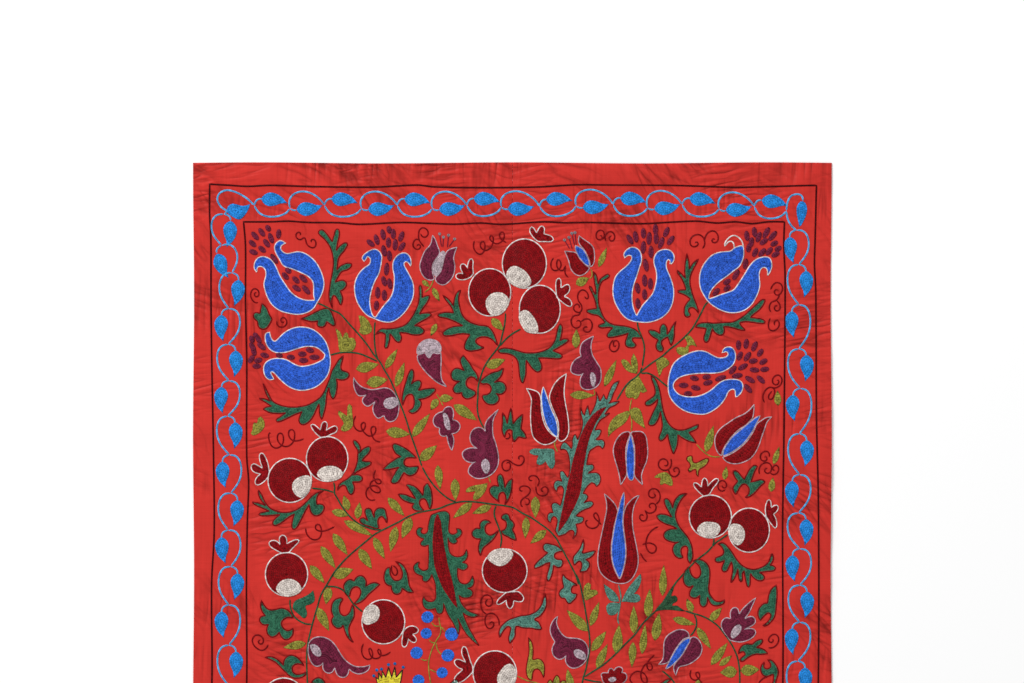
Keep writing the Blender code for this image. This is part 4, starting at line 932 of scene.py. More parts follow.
# Olive leaves drawn out, and plain olive blades as (from, to, width)
OLIVE_LEAVES = [
    [(-24.1, 23.96, 1), (-23.3, 24.1), (-22.3, 25.2), (-22, 26.4), (-22.7, 26.9), (-23.6, 26.9),
     (-24, 26.4), (-23.8, 25.6), (-23.95, 24.8)],
    [(-27.7, 26, 1), (-27, 26.5), (-26.6, 27.5, 1), (-26, 26.6), (-25.6, 27.5, 1), (-24.9, 27.5),
     (-24.5, 28.3), (-24.9, 29.4), (-25.9, 29.8), (-27, 29.6), (-27.3, 27.8)],
    [(-39.4, 39.8, 1), (-38.95, 40.3), (-38.8, 41.25), (-39.25, 42.05), (-40.05, 42.6), (-40.7, 42.75),
     (-40.95, 42.45), (-40.7, 41.85), (-40.65, 41.25), (-40.45, 40.7, 1), (-40, 40.85), (-39.85, 40.1)],
    [(-25.55, 37.8, 1), (-25.15, 38.2), (-25.1, 39), (-25, 39.95), (-24.9, 40.9), (-25.25, 41.65),
     (-26.05, 42.1), (-26.7, 42.05), (-26.85, 41.55), (-26.4, 40.95), (-26.5, 40.6), (-27, 39.9),
     (-27.3, 39.3), (-27.2, 38.9), (-26.7, 39.15), (-25.9, 39.7, 1), (-25.85, 38.85), (-25.8, 38.2)],
    [(27, 27.3), (27.7, 27.1), (28.3, 27.7), (28.9, 28.85, 1), (28.1, 28.6), (27.6, 28.9), (27.6, 29.6),
     (27.2, 30.1), (26.4, 30.2), (25.8, 29.8), (25.7, 29.1), (26.3, 28.9), (27, 29, 1), (27.4, 28.5),
     (27.2, 27.9)],
    [(22.5, 31), (23, 30.6), (23.7, 30.5), (24.3, 30.9), (24.6, 31.5), (24.1, 32), (23.6, 32.3), (23.3, 33),
     (23, 33.6, 1), (22.8, 32.9), (22.6, 32)],
    [(19.6, 33.1, 1), (20.1, 34), (20.6, 34.9), (21.1, 35.8, 1), (20.4, 36.1), (20, 35.9, 1), (19.8, 36.6),
     (19.3, 37.1), (18.8, 36.8, 1), (18.1, 36.9), (17.7, 36.3), (17.8, 35.3), (18.4, 34.5), (19.1, 33.9)],
    [(19.5, 33.1, 1), (18.5, 32.9), (17.7, 32.4), (17.1, 31.4), (17.1, 30.9), (17.7, 30.9), (18.3, 31.4),
     (18.7, 32.1, 1), (18.55, 31), (18.97, 29.9, 1), (19.5, 30.9), (19.65, 32.1)],
    [(18.3, 39), (17.2, 39.2), (16.2, 39.7), (15.4, 40.6), (15, 41.7), (15, 43, 1), (15.6, 42.3),
     (16.5, 41.6), (17.5, 40.9), (18.1, 40.1)],
    [(18.4, 39), (18.8, 38.5), (19.5, 38.4), (20.1, 38.9), (20.4, 39.9), (20.6, 40.9), (20.8, 41.7, 1),
     (19.9, 41.1), (19, 40.4), (18.6, 39.7)],
    [(22.2, 49.3), (23, 48.7), (24, 48.5), (24.5, 48.8), (25, 49.6), (25, 50.6), (24.4, 50.5),
     (23.8, 50.2, 1), (23.2, 50.5), (23.1, 49.9), (23.2, 49.4), (22.6, 49.4)],
    [(-3.9, 50.2, 1), (-4.9, 50.4), (-6.1, 50.6), (-7, 51), (-7.3, 51.6), (-6.6, 51.6), (-5.8, 51.5, 1),
     (-6.1, 52.2), (-6.1, 52.8), (-5.3, 52.7), (-4.6, 52), (-4.1, 51.2)],
    [(11.3, 66.3), (11.9, 65.8), (12.3, 66.2), (12.2, 66.9), (12.9, 66.9), (13.4, 67.4), (12.8, 67.9),
     (12.1, 68.3), (11.5, 68.6), (11.2, 68), (11.1, 67.1)],
]

OLIVE_BLADES = [
    ((-14.15, 18.5), (-12.9, 19.5), 0.8), ((-12.5, 19.6), (-11.4, 21.8), 0.9),
    ((-11.9, 25.25), (-12.8, 27.2), 0.9), ((-19.9, 32.3), (-18, 29.2), 1.1),
    ((-24.5, 32.4), (-20.9, 31.6), 1.6), ((-22.85, 34.6), (-19.5, 34), 1.75),
    ((-18.25, 35.15), (-16.9, 31.3), 1.2), ((-19.8, 42.1), (-16, 42.6), 1.65),
    ((-15.7, 43), (-12.9, 39.3), 1.3), ((-14.5, 46.7), (-11.8, 44.3), 1.6),
    ((-9.2, 37.95), (-5.5, 40.4), 1.6), ((-11.4, 36.95), (-9.25, 36.9), 1.25),
    ((-11.7, 37), (-12.8, 38.8), 1.15), ((-3.3, 24.45), (-1.35, 26.35), 1.3),
    ((-4.1, 32), (-1.1, 30.85), 1.5), ((13.5, 16.4), (14.8, 13.3), 0.95), ((9.95, 19.1), (12, 18.1), 1.4),
    ((9.9, 29.1), (10.05, 26.1), 1.25), ((41.6, 38.1), (41.5, 35.7), 1.1), ((9, 36.4), (12.8, 36.5), 1.3),
    ((14.4, 35.1), (16.3, 30.9), 1.15), ((30.3, 45.4), (31.5, 41.2), 1.3),
    ((40.9, 47.3), (41.8, 44.5), 0.9), ((40.5, 51.6), (40.8, 49.3), 1.05),
    ((33.2, 49.7), (33.5, 47.6), 0.9), ((-25.7, 54.5), (-26.4, 52.1), 1.2),
    ((-24.3, 55.8), (-23.9, 53.2), 1.15), ((-28.3, 54.6), (-25.4, 55.3), 1.2),
    ((-26.4, 56.1), (-21.8, 58.5), 1.3), ((-28.1, 58.1), (-25.8, 61.5), 1.4),
    ((-30, 60.1), (-27.7, 63.6), 1.35), ((-31.7, 63.1), (-29.4, 65.9), 1.35),
    ((-28.1, 64.8), (-24.9, 63.7), 1.7), ((-24, 60.5), (-22, 63.7), 1.5), ((-21.7, 58.7), (-20, 62.1), 1.3),
    ((-11.7, 47.4), (-11.3, 51.2), 1.25), ((-9, 49.5), (-8.9, 53), 1.4), ((-6.3, 53.3), (-9.3, 55.7), 1.3),
    ((-3.3, 53.8), (-6.3, 55), 1.2), ((-19.5, 52.5), (-16.9, 55.4), 1.3),
    ((-15.9, 55.6), (-17.3, 58.9), 1.6), ((-18.2, 57), (-19.1, 61), 1.4), ((3.6, 52.3), (3.6, 55.7), 1.4),
    ((2.2, 55.5), (2, 58.9), 1.2), ((5.3, 57.6), (2.8, 59.7), 1.25), ((-28.7, 66.5), (-29.2, 69.2), 1.4),
    ((-30.5, 69.7), (-28.7, 73.4), 1.5), ((-32.3, 75.3), (-35.9, 76), 1.3),
    ((11.8, 73.4), (8.5, 70.1), 1.6), ((12.2, 72.6), (13.6, 68.8), 1.15),
    ((12.4, 76.5), (14.7, 73.4), 1.35), ((13.2, 79.2), (14.9, 75.4), 1.25), ((16.3, 77), (16.7, 72.4), 1.6),
    ((19, 73.8), (19, 69.4), 1.3), ((18.9, 75.1), (18.7, 79.1), 1.2), ((20.3, 77), (20.8, 72.3), 1.15),
    ((21.2, 71.3), (21.5, 66.8), 1.4), ((22.3, 74.9), (23, 70.5), 1.5), ((23.5, 67.9), (23.7, 63), 1.2),
    ((25.1, 71.4), (28.6, 72.4), 1.2), ((28.2, 70.4), (27.3, 68.3), 1.1), ((28.9, 72.8), (31.1, 76.2), 1.2),
    ((30.9, 71.8), (32.8, 69.7), 1.2), ((31.1, 78.7), (33.7, 75.2), 1.3),
    ((32.4, 78.8), (34.4, 77.2), 0.95), ((35.2, 79.7), (32.5, 79.9), 1.8),
    ((35.7, 79.6), (38.7, 79.4), 1.75), ((9.3, 82.6), (8.6, 79.3), 1.2),
]

# Stems in moss green, short ones in olive
STEMS = [
    [(-30.6, 22), (-29.6, 22.4), (-28.3, 23.1), (-27, 23.7), (-25.6, 25.25), (-24.1, 26.9), (-22.7, 28.6),
     (-21.7, 30.1), (-20.7, 31.3), (-20.1, 32.4), (-19.15, 34), (-18.35, 35.8), (-17.55, 37.85),
     (-16.75, 39.95), (-15.95, 42.5), (-15.15, 44.75), (-14.15, 47.65)],
    [(-21.5, 24.9), (-21.6, 26.2), (-21.6, 27.8), (-21.4, 29.75), (-21, 31)],
    [(-28.6, 30.2), (-27, 29.8), (-25.4, 29.75), (-23.8, 30), (-22.35, 30.6), (-21.06, 31.2)],
    [(-1.1, 23.5), (-1.1, 24.3), (-1.25, 25.6), (-1.55, 26.85), (-2, 28.6), (-2.55, 29.4), (-3.75, 30.95),
     (-4.5, 32.25), (-5, 33.7), (-5.35, 35.1), (-5.4, 36.6), (-5.5, 38.2), (-5.35, 39.6), (-4.85, 40.9),
     (-4.4, 41.7)],
    [(1.4, 26.05), (0.05, 26.8), (-1.1, 27.75), (-2, 28.8)],
    [(19.55, 24.9), (19.7, 25.9), (20.2, 27.2), (20.6, 28.45), (20.65, 29.75), (20.4, 31.35), (20.35, 32)],
    [(30.7, 21.8), (30.2, 22.3), (29.6, 23.5), (28.9, 24.8), (28.1, 26.1), (27, 27.3), (25.9, 28.3),
     (24.6, 29.3), (23.4, 30.4), (22, 31.3), (20.7, 32.3), (20, 32.9), (19.4, 33.6), (18.4, 34.3),
     (17.6, 35.2), (16.9, 36.3), (16.3, 37.3)],
    [(20.35, 32), (20.1, 32.9), (21.2, 33), (22.4, 33.6), (23.5, 34.5), (24.4, 35.2)],
    [(31.6, 58.8), (31.5, 59.6), (31.3, 60.2)],
    [(33.8, 58.2), (32.8, 58.9), (31.8, 59.6), (31.3, 60.2)],
    [(-31.5, 51), (-30.5, 51.1), (-29.2, 51.3), (-27.9, 51.7)],
    [(-28, 50), (-27.8, 51), (-27.9, 51.7), (-27.4, 52.6), (-26.6, 54), (-25.5, 55.4), (-24.2, 56.5),
     (-22.9, 57.1), (-21.5, 57.5), (-20.5, 57.5)],
    [(-29.4, 66.8), (-28.8, 65.7), (-27.9, 64.2), (-26.5, 62.5), (-24.8, 60.9), (-23, 59.4), (-21.5, 58.2),
     (-19.4, 57.1), (-17.8, 56.3), (-16.2, 55.4), (-14.6, 54.8), (-13, 54.5), (-11.5, 54.2), (-10, 53.6),
     (-8.5, 53.2), (-7, 53.1), (-5.5, 53.2), (-4, 53.4), (-2.5, 53.6), (-1, 53.8), (0.2, 54.1), (1.5, 54.9),
     (2.9, 55.6), (4.2, 56.5), (5.6, 57.5), (6.8, 58.8), (7.6, 60.2), (8.4, 61.7), (9.2, 63.2), (9.9, 64.6),
     (10.4, 66.2)],
    [(-14.15, 47.65), (-13.3, 49.2), (-12.2, 50.7), (-10.9, 52), (-9.6, 52.9), (-8.7, 53.2)],
    [(-2.5, 53.7), (-2.8, 54.4), (-2.8, 55.4), (-2.4, 56.5), (-2, 57.6), (-1.7, 58.8), (-1.9, 60.4)],
    [(-26.5, 62.5), (-27.9, 64.3), (-29, 66), (-30, 67.8), (-30.5, 69.5), (-31.1, 71.5), (-31.6, 73.4),
     (-32, 75.2), (-32.2, 77), (-32.2, 79), (-32.1, 81.5), (-32, 83.6)],
    [(-34.8, 68.3), (-34.8, 69.4), (-34.5, 70.5), (-33.9, 71.4), (-33, 72), (-32.2, 72.3), (-31.4, 72.3)],
    [(-29.3, 66.4), (-28.4, 66.4), (-27.6, 66.5), (-26.8, 66.8), (-26.2, 67.3), (-25.6, 68.1), (-25, 69),
     (-24.2, 69.8), (-23.4, 70.4)],
    [(31.4, 60), (30.5, 61), (29.2, 62), (28.2, 62.9), (27.2, 64), (26.2, 65.1), (25.6, 65.8), (25, 66.8)],
    [(22.4, 70.3), (21.2, 71.4), (20.1, 72.6), (19.2, 73.9), (18.1, 75), (16.9, 76.2), (15.6, 77.5),
     (14.2, 78.7), (12.8, 79.6), (11.2, 80.6)],
    [(27, 70.2), (28.2, 70.6), (29.3, 70.9), (30.3, 71.3), (31.3, 71.9), (32.2, 72.6), (33.1, 73.7),
     (33.9, 74.8), (34.6, 76), (35.2, 77.4), (35.5, 78.9), (35.6, 80.5), (35.6, 83)],
    [(28.4, 70.7), (28.8, 71.6), (28.8, 72.6), (28.4, 73.5), (27.8, 74.2)],
    [(9.9, 64.4), (10.5, 65.7), (10.9, 67.4), (11.3, 69.4), (11.6, 71.2), (11.9, 72.9), (12.1, 74.6),
     (12.1, 76.3), (11.8, 77.9), (11.5, 79.4), (11.1, 80.7), (10.7, 83)],
    [(11.1, 80.9), (12, 81.1), (13, 81.3), (14.1, 81.4)],
]

SPRIG_STEMS = [
    [(-12.3, 18.3), (-12.9, 19.6), (-13.8, 20.4)],
    [(-11.9, 36.2), (-11.35, 37.1), (-10.8, 38.2)],
    [(12.3, 16.6), (12.5, 17.4), (12.4, 18), (12, 18.2)],
    [(6.85, 43.4), (6.6, 44.2), (7.1, 45.4)],
    [(12.75, 35.5), (12.9, 36.4), (12.5, 36.5)],
    [(18.6, 42.2), (18.7, 41), (18.6, 39.8), (18.4, 38.9), (18.5, 37.9), (18.7, 37)],
    [(32.6, 46.1), (31.5, 46.1), (30.6, 45.8), (29.7, 45.1), (28.8, 44.1)],
    [(-3.8, 48.9), (-3.6, 49.6), (-3.4, 50.2)],
    [(0.7, 80.4), (1.7, 80.9), (2.8, 81.3), (3.8, 81.5), (5.6, 82.4)],
    [(-11.5, 71.2), (-11.4, 72.1), (-11.2, 73), (-11.3, 73.9), (-11.8, 74.7), (-12.2, 75.4), (-12.6, 76.3),
     (-12.9, 77.2), (-13.1, 78.2), (-13.1, 79.2), (-13, 80.3), (-12.8, 81.5), (-12.6, 83.2)],
    [(-12.7, 72), (-12.1, 72.6), (-11.3, 72.6)],
    [(-13.1, 74.7), (-12.6, 75.2), (-12, 75.2)],
    [(-10.4, 73.6), (-10.9, 73), (-11.3, 72.6)],
    [(-11.9, 75.2), (-11.8, 76.1), (-11.4, 76.8), (-10.9, 77.1)],
    [(-14.4, 77.7), (-13.8, 78), (-13.2, 77.9)],
    [(-11.8, 79.9), (-12.5, 79.6), (-13, 79.3)],
    [(-14, 81.5), (-13.4, 81.9), (-12.8, 81.9)],
]

# Curling tendrils in madder
TENDRILS = [
    [(-39.95, 20.45), (-40.3, 20.35), (-40.4, 20.8), (-40.05, 21.1), (-39.7, 20.7), (-39.8, 20.05),
     (-40.4, 19.75), (-40.85, 20.1), (-41, 20.9), (-40.7, 21.6), (-40.2, 22), (-39.75, 21.9)],
    [(-36.85, 24.75), (-36.85, 25.4), (-36.35, 25.8), (-35.65, 25.65), (-35.3, 25), (-35.65, 24.35),
     (-36.1, 24.3), (-36.3, 24.75), (-35.95, 25.1), (-35.65, 24.9)],
    [(-33.3, 11.5), (-33.1, 11.1), (-33.5, 10.9), (-33.9, 11.3), (-33.7, 11.95), (-33.1, 12.1),
     (-32.6, 11.7), (-32.4, 12), (-32.2, 12.8), (-31.6, 13.3), (-31, 13.3), (-30.75, 12.7), (-31, 12.1),
     (-31.5, 12.1), (-31.5, 12.6)],
    [(-14.4, 11.1), (-14.15, 11.6), (-13.6, 11.7), (-13.2, 11.2), (-13.35, 10.56), (-14, 10.2),
     (-14.55, 10.56), (-14.7, 11.5), (-14.6, 12.2), (-13.8, 13.3)],
    [(-15, 13.2), (-14.8, 12.8), (-14.4, 13.05), (-14.55, 13.5), (-15.1, 13.6), (-15.55, 13.1),
     (-15.5, 12.5), (-15.1, 12), (-14.6, 12.2)],
    [(-5.95, 12.2), (-6.1, 13), (-5.9, 13.8), (-5.15, 14.4), (-4.5, 14), (-4.3, 13.1), (-4.5, 12.4),
     (-5, 12.65), (-4.9, 13.4), (-4.2, 13.8), (-3.4, 13.3), (-3.05, 12.5), (-3, 11.7), (-3.3, 11.4),
     (-3.6, 11.85), (-3.2, 12.4), (-2.5, 12.75), (-1.7, 12.4), (-1.3, 11.7), (-1.35, 11), (-1.8, 10.9),
     (-2.05, 11.4), (-1.8, 12), (-0.9, 12.6)],
    [(-37.75, 42.5), (-38.05, 42.3), (-38.2, 42.65), (-38.05, 43.65), (-37.65, 44.45), (-37, 44.75),
     (-36.35, 44.5), (-35.95, 43.95), (-35.85, 43.15), (-36.05, 42.5), (-36.55, 42.4), (-36.8, 42.85),
     (-36.7, 43.65), (-36.15, 44.3), (-35.5, 44.5), (-34.85, 44.3), (-34.3, 43.7), (-34.1, 42.85),
     (-34.2, 42.05), (-34.7, 41.8), (-35.05, 42.2), (-34.95, 43), (-34.35, 43.55), (-33.5, 43.55),
     (-32.6, 43.25)],
    [(-24.5, 39.6), (-24.85, 40.4), (-24.85, 41.2), (-24.3, 41.95), (-23.55, 42.05), (-23.1, 41.55),
     (-23.05, 40.9), (-23.3, 40.65), (-23.65, 40.9), (-23.65, 41.55), (-23.15, 42.35), (-22.45, 42.85),
     (-21.7, 42.6), (-21.4, 42.05), (-21.45, 41.45), (-21.85, 41.3), (-22.15, 41.7), (-22, 42.65),
     (-21.55, 43.5), (-20.6, 43.8)],
    [(11.3, 20.9), (11.45, 21.3), (11.75, 21.4), (11.9, 20.9), (11.6, 20.25), (11, 19.95), (10.45, 20.25),
     (10.2, 20.9), (10.35, 21.7), (10.8, 22.35), (10.85, 23.1), (10.5, 23.5), (9.85, 23.35), (9.55, 22.85),
     (9.75, 22.3), (10.15, 22.15), (10.5, 22.45), (10.4, 22.9)],
    [(10.75, 23.4), (10.3, 23.95), (9.7, 23.95), (9.2, 24.6), (9.35, 25.55), (9.95, 25.95), (10.6, 25.65),
     (10.7, 25), (10.3, 24.7), (9.95, 24.95)],
    [(10.7, 25), (11.4, 24.5), (12.2, 24.7), (12.5, 25.55), (12.1, 26.45), (11.35, 26.5), (11.1, 26),
     (11.4, 25.7), (11.85, 25.85)],
    [(15.85, 27.75), (15.35, 28.3), (15.2, 29.1), (15.7, 29.65), (16.4, 29.4), (16.7, 28.6), (16.5, 28),
     (16, 27.9), (15.8, 28.45), (16, 28.9), (16.3, 28.6)],
    [(14.15, 12.15), (14.4, 11.35), (14.15, 10.7), (13.5, 10.65), (13.1, 11.2), (13.2, 11.9), (13.7, 12.15),
     (14.1, 11.85), (13.9, 11.45), (13.6, 11.5)],
    [(14.65, 12.4), (14.5, 11.65), (14.8, 11.05), (15.35, 10.8), (15.9, 11.2), (16, 11.9), (15.6, 12.35),
     (15.2, 12.1), (15.2, 11.6), (15.6, 11.45)],
    [(6.5, 14.9), (6.15, 15.4), (6, 16), (6.15, 16.65), (6.6, 16.95), (7.2, 16.8), (7.6, 16.25),
     (7.5, 15.45), (7.2, 15.15), (6.95, 15.6), (7, 16.4), (7.6, 16.95), (8.05, 16.8), (8.3, 16.2),
     (8.2, 16.9), (8.3, 17.5), (8.8, 18.1)],
    [(29.7, 13.6), (30.1, 12.8), (29.9, 11.8), (29.2, 11.3), (28.3, 11.5), (27.8, 12.2), (28, 13.1),
     (28.6, 13.2), (29.1, 12.8), (28.8, 12.4), (28.5, 12.7)],
    [(30, 12.4), (30.3, 11.4), (30.9, 10.8), (31.7, 10.8), (32.2, 11.5), (32.1, 12.3), (31.6, 12.6),
     (31.2, 12.3), (31.4, 11.9), (31.8, 12.1)],
    [(40.4, 20), (40.7, 19.3), (41.3, 18.8), (42, 19), (42.3, 19.7), (42, 20.5), (41.4, 20.8), (41, 20.4),
     (41.2, 19.9), (41.7, 20.1)],
    [(41.9, 20.7), (41.3, 21.6), (40.5, 21.9), (40.2, 22.8), (40.5, 23.5)],
    [(41.3, 21.6), (41.8, 22.1), (41.9, 22.9), (41.4, 23.3), (41, 22.9), (41.2, 22.4), (41.6, 22.5)],
    [(40.4, 24.3), (40.1, 25.2), (40.2, 26.1), (40.8, 26.4), (41.5, 26), (41.8, 25.3), (41.5, 24.7),
     (41, 25), (41.1, 25.6)],
    [(39.5, 37.7), (39.2, 36.8), (39.5, 35.8), (40.3, 35.2), (41, 35.5), (41, 36.3), (40.6, 37.1),
     (40.1, 37), (40.2, 36.3), (40.7, 35.8)],
    [(40.3, 35.2), (41.2, 35.3), (42, 34.8), (42.2, 33.9), (41.7, 33.3), (41, 33.5), (40.7, 34.2),
     (41, 34.8), (41.6, 34.7), (41.7, 34.1), (41.3, 34.1)],
    [(24.8, 46.3), (24.9, 47.2), (24.5, 48), (23.6, 48.2), (22.9, 47.6), (23, 46.7), (23.7, 46.4),
     (24.3, 46.8), (24.2, 47.5), (23.7, 47.4)],
    [(24.4, 48), (24.8, 49), (25.5, 49.2), (26.1, 48.6), (26, 47.9), (25.4, 47.8), (25.2, 48.3),
     (25.6, 48.5)],
    [(-1, 47.2), (-0.6, 46.9), (-0.3, 47.4), (-0.5, 48.1), (-1.2, 48.3), (-1.65, 47.5), (-1.4, 46.8),
     (-0.7, 46.6), (-0.1, 47), (0.6, 47.4), (1.3, 47.4), (1.8, 46.8), (1.8, 46.2), (1.3, 45.9), (0.9, 46.3),
     (1.2, 46.6)],
    [(3.2, 49.8), (2.7, 49.8), (2.55, 49.35), (3.15, 49), (3.85, 49.25), (4.2, 49.95), (3.85, 50.85)],
    [(-1.2, 43.1), (-0.9, 43.3), (-0.5, 43.2), (-0.4, 42.6), (-0.8, 42.3)],
    [(40.2, 46.2), (40.2, 45.5), (39.6, 45.2), (38.9, 45.7), (38.9, 46.5), (39.5, 46.8), (39.9, 46.4),
     (39.7, 46), (39.4, 46.2)],
    [(38.7, 48.9), (38.6, 48.1), (39, 47.3), (39.8, 47), (40.5, 47.4), (40.5, 48.3), (40, 48.7),
     (39.5, 48.4), (39.6, 47.9), (40, 47.9)],
    [(40.3, 48.6), (40.9, 48.9), (41.5, 48.6), (41.7, 47.9), (41.3, 47.4), (40.8, 47.7), (40.8, 48.2),
     (41.2, 48.2)],
    [(33.4, 51.2), (32.7, 51.5), (32.2, 50.9), (32.3, 50.1), (33, 49.8), (33.5, 50.3), (33.4, 50.9),
     (32.9, 50.9), (32.8, 50.5)],
    [(22.4, 53.6), (23, 52.9), (23.1, 52), (22.6, 51.2), (21.8, 51.1), (21.3, 51.7), (21.5, 52.4),
     (22.1, 52.5), (22.4, 52), (22, 51.8)],
    [(20.7, 54.4), (21.2, 54.9), (22, 54.8), (22.5, 54.2), (22.3, 53.5), (21.6, 53.4), (21.4, 53.9),
     (21.8, 54.2)],
    [(20.7, 54.4), (21.1, 55.3), (20.9, 56), (20.2, 56.1), (19.9, 55.5), (20.2, 55.1), (20.6, 55.4)],
    [(-21.4, 48.1), (-21.7, 48.9), (-21.6, 49.7), (-21.1, 50.3), (-20.6, 50.2), (-20.7, 49.7),
     (-21.3, 49.6), (-22, 49.9), (-22.3, 50.6), (-22, 51.3), (-21.3, 51.7), (-20.7, 51.6), (-20.8, 51),
     (-21.5, 50.6), (-22.4, 50.8), (-22.9, 51.5), (-22.8, 52.4), (-22.2, 52.9), (-21.4, 52.8)],
    [(-32.4, 57.2), (-32.2, 58.2), (-31.6, 58.9), (-30.9, 59.1), (-30.2, 58.8), (-29.9, 58), (-30, 57.1),
     (-30.4, 56.6), (-30.8, 56.8), (-30.8, 57.4), (-30.3, 57.7), (-29.5, 57.7), (-28.6, 57.4), (-27.8, 57)],
    [(3.7, 50.6), (3.7, 51.3), (3.9, 51.9), (4.5, 52.2), (5.2, 52.1), (5.6, 51.4), (5.3, 50.8), (4.7, 50.9),
     (4.5, 51.4), (4.9, 51.6)],
    [(1.7, 51.4), (1.3, 51.5), (1.1, 51), (1.5, 50.7), (2.2, 50.7), (2.8, 51.2), (2.5, 52), (1.8, 52.5),
     (1.3, 53.1), (1.4, 53.8), (1.7, 54)],
    [(1.9, 53.5), (2.4, 53.6), (2.7, 53.1), (2.4, 52.6), (1.9, 52.6)],
    [(-38.2, 75.4), (-38.5, 76), (-39.2, 76.4), (-40, 76.1), (-40.6, 75.4), (-40.7, 74.6), (-40.2, 74),
     (-39.5, 74.1), (-39, 74.6), (-39.1, 75.3), (-39.6, 75.4), (-39.8, 74.9), (-39.4, 74.7)],
    [(-23.3, 75.3), (-23.6, 76.1), (-23.5, 77.1), (-23, 77.7), (-22.3, 77.8), (-21.9, 77.3), (-22, 76.5),
     (-22.4, 76), (-22.4, 76.7), (-22, 77.5), (-21.3, 77.7), (-20.7, 77.4), (-20.6, 76.7), (-21, 76.2),
     (-21, 76.8), (-20.6, 77.2), (-19.8, 77.1), (-19, 76.6)],
    [(-4, 70.8), (-4.7, 70.2), (-4.95, 69.2), (-4.8, 68.2), (-4.2, 67.7), (-3.5, 67.9), (-3.1, 68.6),
     (-3.3, 69.3), (-3.8, 69.5), (-4.2, 69.1), (-4.1, 68.6), (-3.8, 68.4)],
    [(-2.1, 72.6), (-2.1, 71.8), (-2.5, 71), (-3.2, 70.6), (-4, 70.8), (-4.3, 71.6), (-4.2, 72.4),
     (-3.7, 73), (-3.1, 72.8), (-2.9, 72.2), (-3.3, 71.9), (-3.6, 72.3)],
    [(-18.9, 63), (-18.9, 64), (-18.4, 64.7), (-18, 64.3), (-18.2, 63.5), (-18.8, 63.1)],
    [(22.9, 57), (22.1, 57.4), (21.4, 58.1), (21, 59), (20.9, 59.9), (21.2, 60.8), (21.8, 61.2),
     (22.4, 60.9), (22.5, 60.2), (21.9, 59.7), (21, 59.6), (20.3, 59.9)],
    [(20, 61.1), (20.5, 62), (21.1, 62.6)],
    [(11.9, 56), (11.5, 56.1), (11.5, 56.7), (12, 57.2), (12.7, 57.3), (13.3, 57), (13.6, 56.3),
     (13.5, 55.5), (13, 54.8), (12.7, 55.1), (12.9, 55.7), (13.4, 56.2), (14, 56.8)],
    [(22.3, 77.1), (21.6, 77.7), (21.1, 78.5), (21.2, 79.3), (21.7, 79.5), (21.9, 78.9), (21.5, 78.4),
     (20.8, 78.6), (20.3, 79.4), (20.1, 80.3), (20.4, 81.3), (21, 81.5), (21, 80.6), (20.4, 79.9),
     (19.4, 79.7), (18.6, 80.3), (18.4, 81.1), (18.9, 81.6)],
    [(28, 79.4), (27.8, 80.2), (28.1, 80.9), (28.8, 81.1), (29.3, 80.6), (29.2, 79.9), (28.7, 79.9),
     (29, 80.7), (29.8, 81.6)],
    [(40, 76), (40.7, 76), (41.4, 75.5), (41.7, 74.7), (41.4, 74), (40.8, 73.9), (40.2, 74.4), (40.1, 75),
     (40.5, 75.2), (40.9, 74.8), (40.6, 74.6)],
    [(38.5, 81.6), (38.9, 81.1), (39.4, 80.7), (40.1, 80.5)],
]

# The one fruit whose curl is worked in outline only
OPEN_CURL = [
    [(36.2, 13.6), (36, 12.5), (35.4, 11.75), (34.6, 11.45), (33.8, 11.9), (33.3, 12.6), (33.2, 13.2, 1)],
    [(33.2, 13.2, 1), (33.5, 12.8), (33.9, 12.4), (34.4, 12.4), (34.7, 12.9), (34.7, 13.45)],
]

SAGE_LEAVES = [
    [(2.65, 45.3), (3.4, 44.8), (4.6, 44.85), (5.6, 44.8), (6.5, 45), (6.6, 46), (6.65, 47.2), (6.2, 48),
     (5.7, 47.7), (5.2, 46.8, 1), (4.8, 47.2), (4.2, 47.4), (3.8, 47.2), (3.9, 46.4), (4.1, 45.9, 1),
     (3.3, 45.8)],
    [(14.3, 66, 1), (14.9, 66.4), (15.6, 66.9), (16.2, 67.5), (16.6, 68.2), (16.7, 68.8, 1), (16, 68.8),
     (15.3, 68.6), (14.8, 67.9), (14.5, 67.1)],
    [(20.1, 64.4, 1), (20.2, 65.2), (20, 66.1), (19.6, 66.9), (19, 67.6, 1), (19.6, 67.6), (20, 68),
     (20, 68.6), (19.4, 68.9), (18.6, 68.9), (17.8, 68.8), (17.1, 68.8, 1), (17.4, 68), (17.8, 67.2),
     (18.3, 66.4), (18.9, 65.7), (19.5, 65)],
    [(16.8, 69, 1), (16.8, 69.6), (16.5, 70.4), (15.9, 70.9), (15.2, 70.9), (14.8, 70.4), (14.7, 69.6),
     (15, 69.1), (15.6, 68.9)],
]

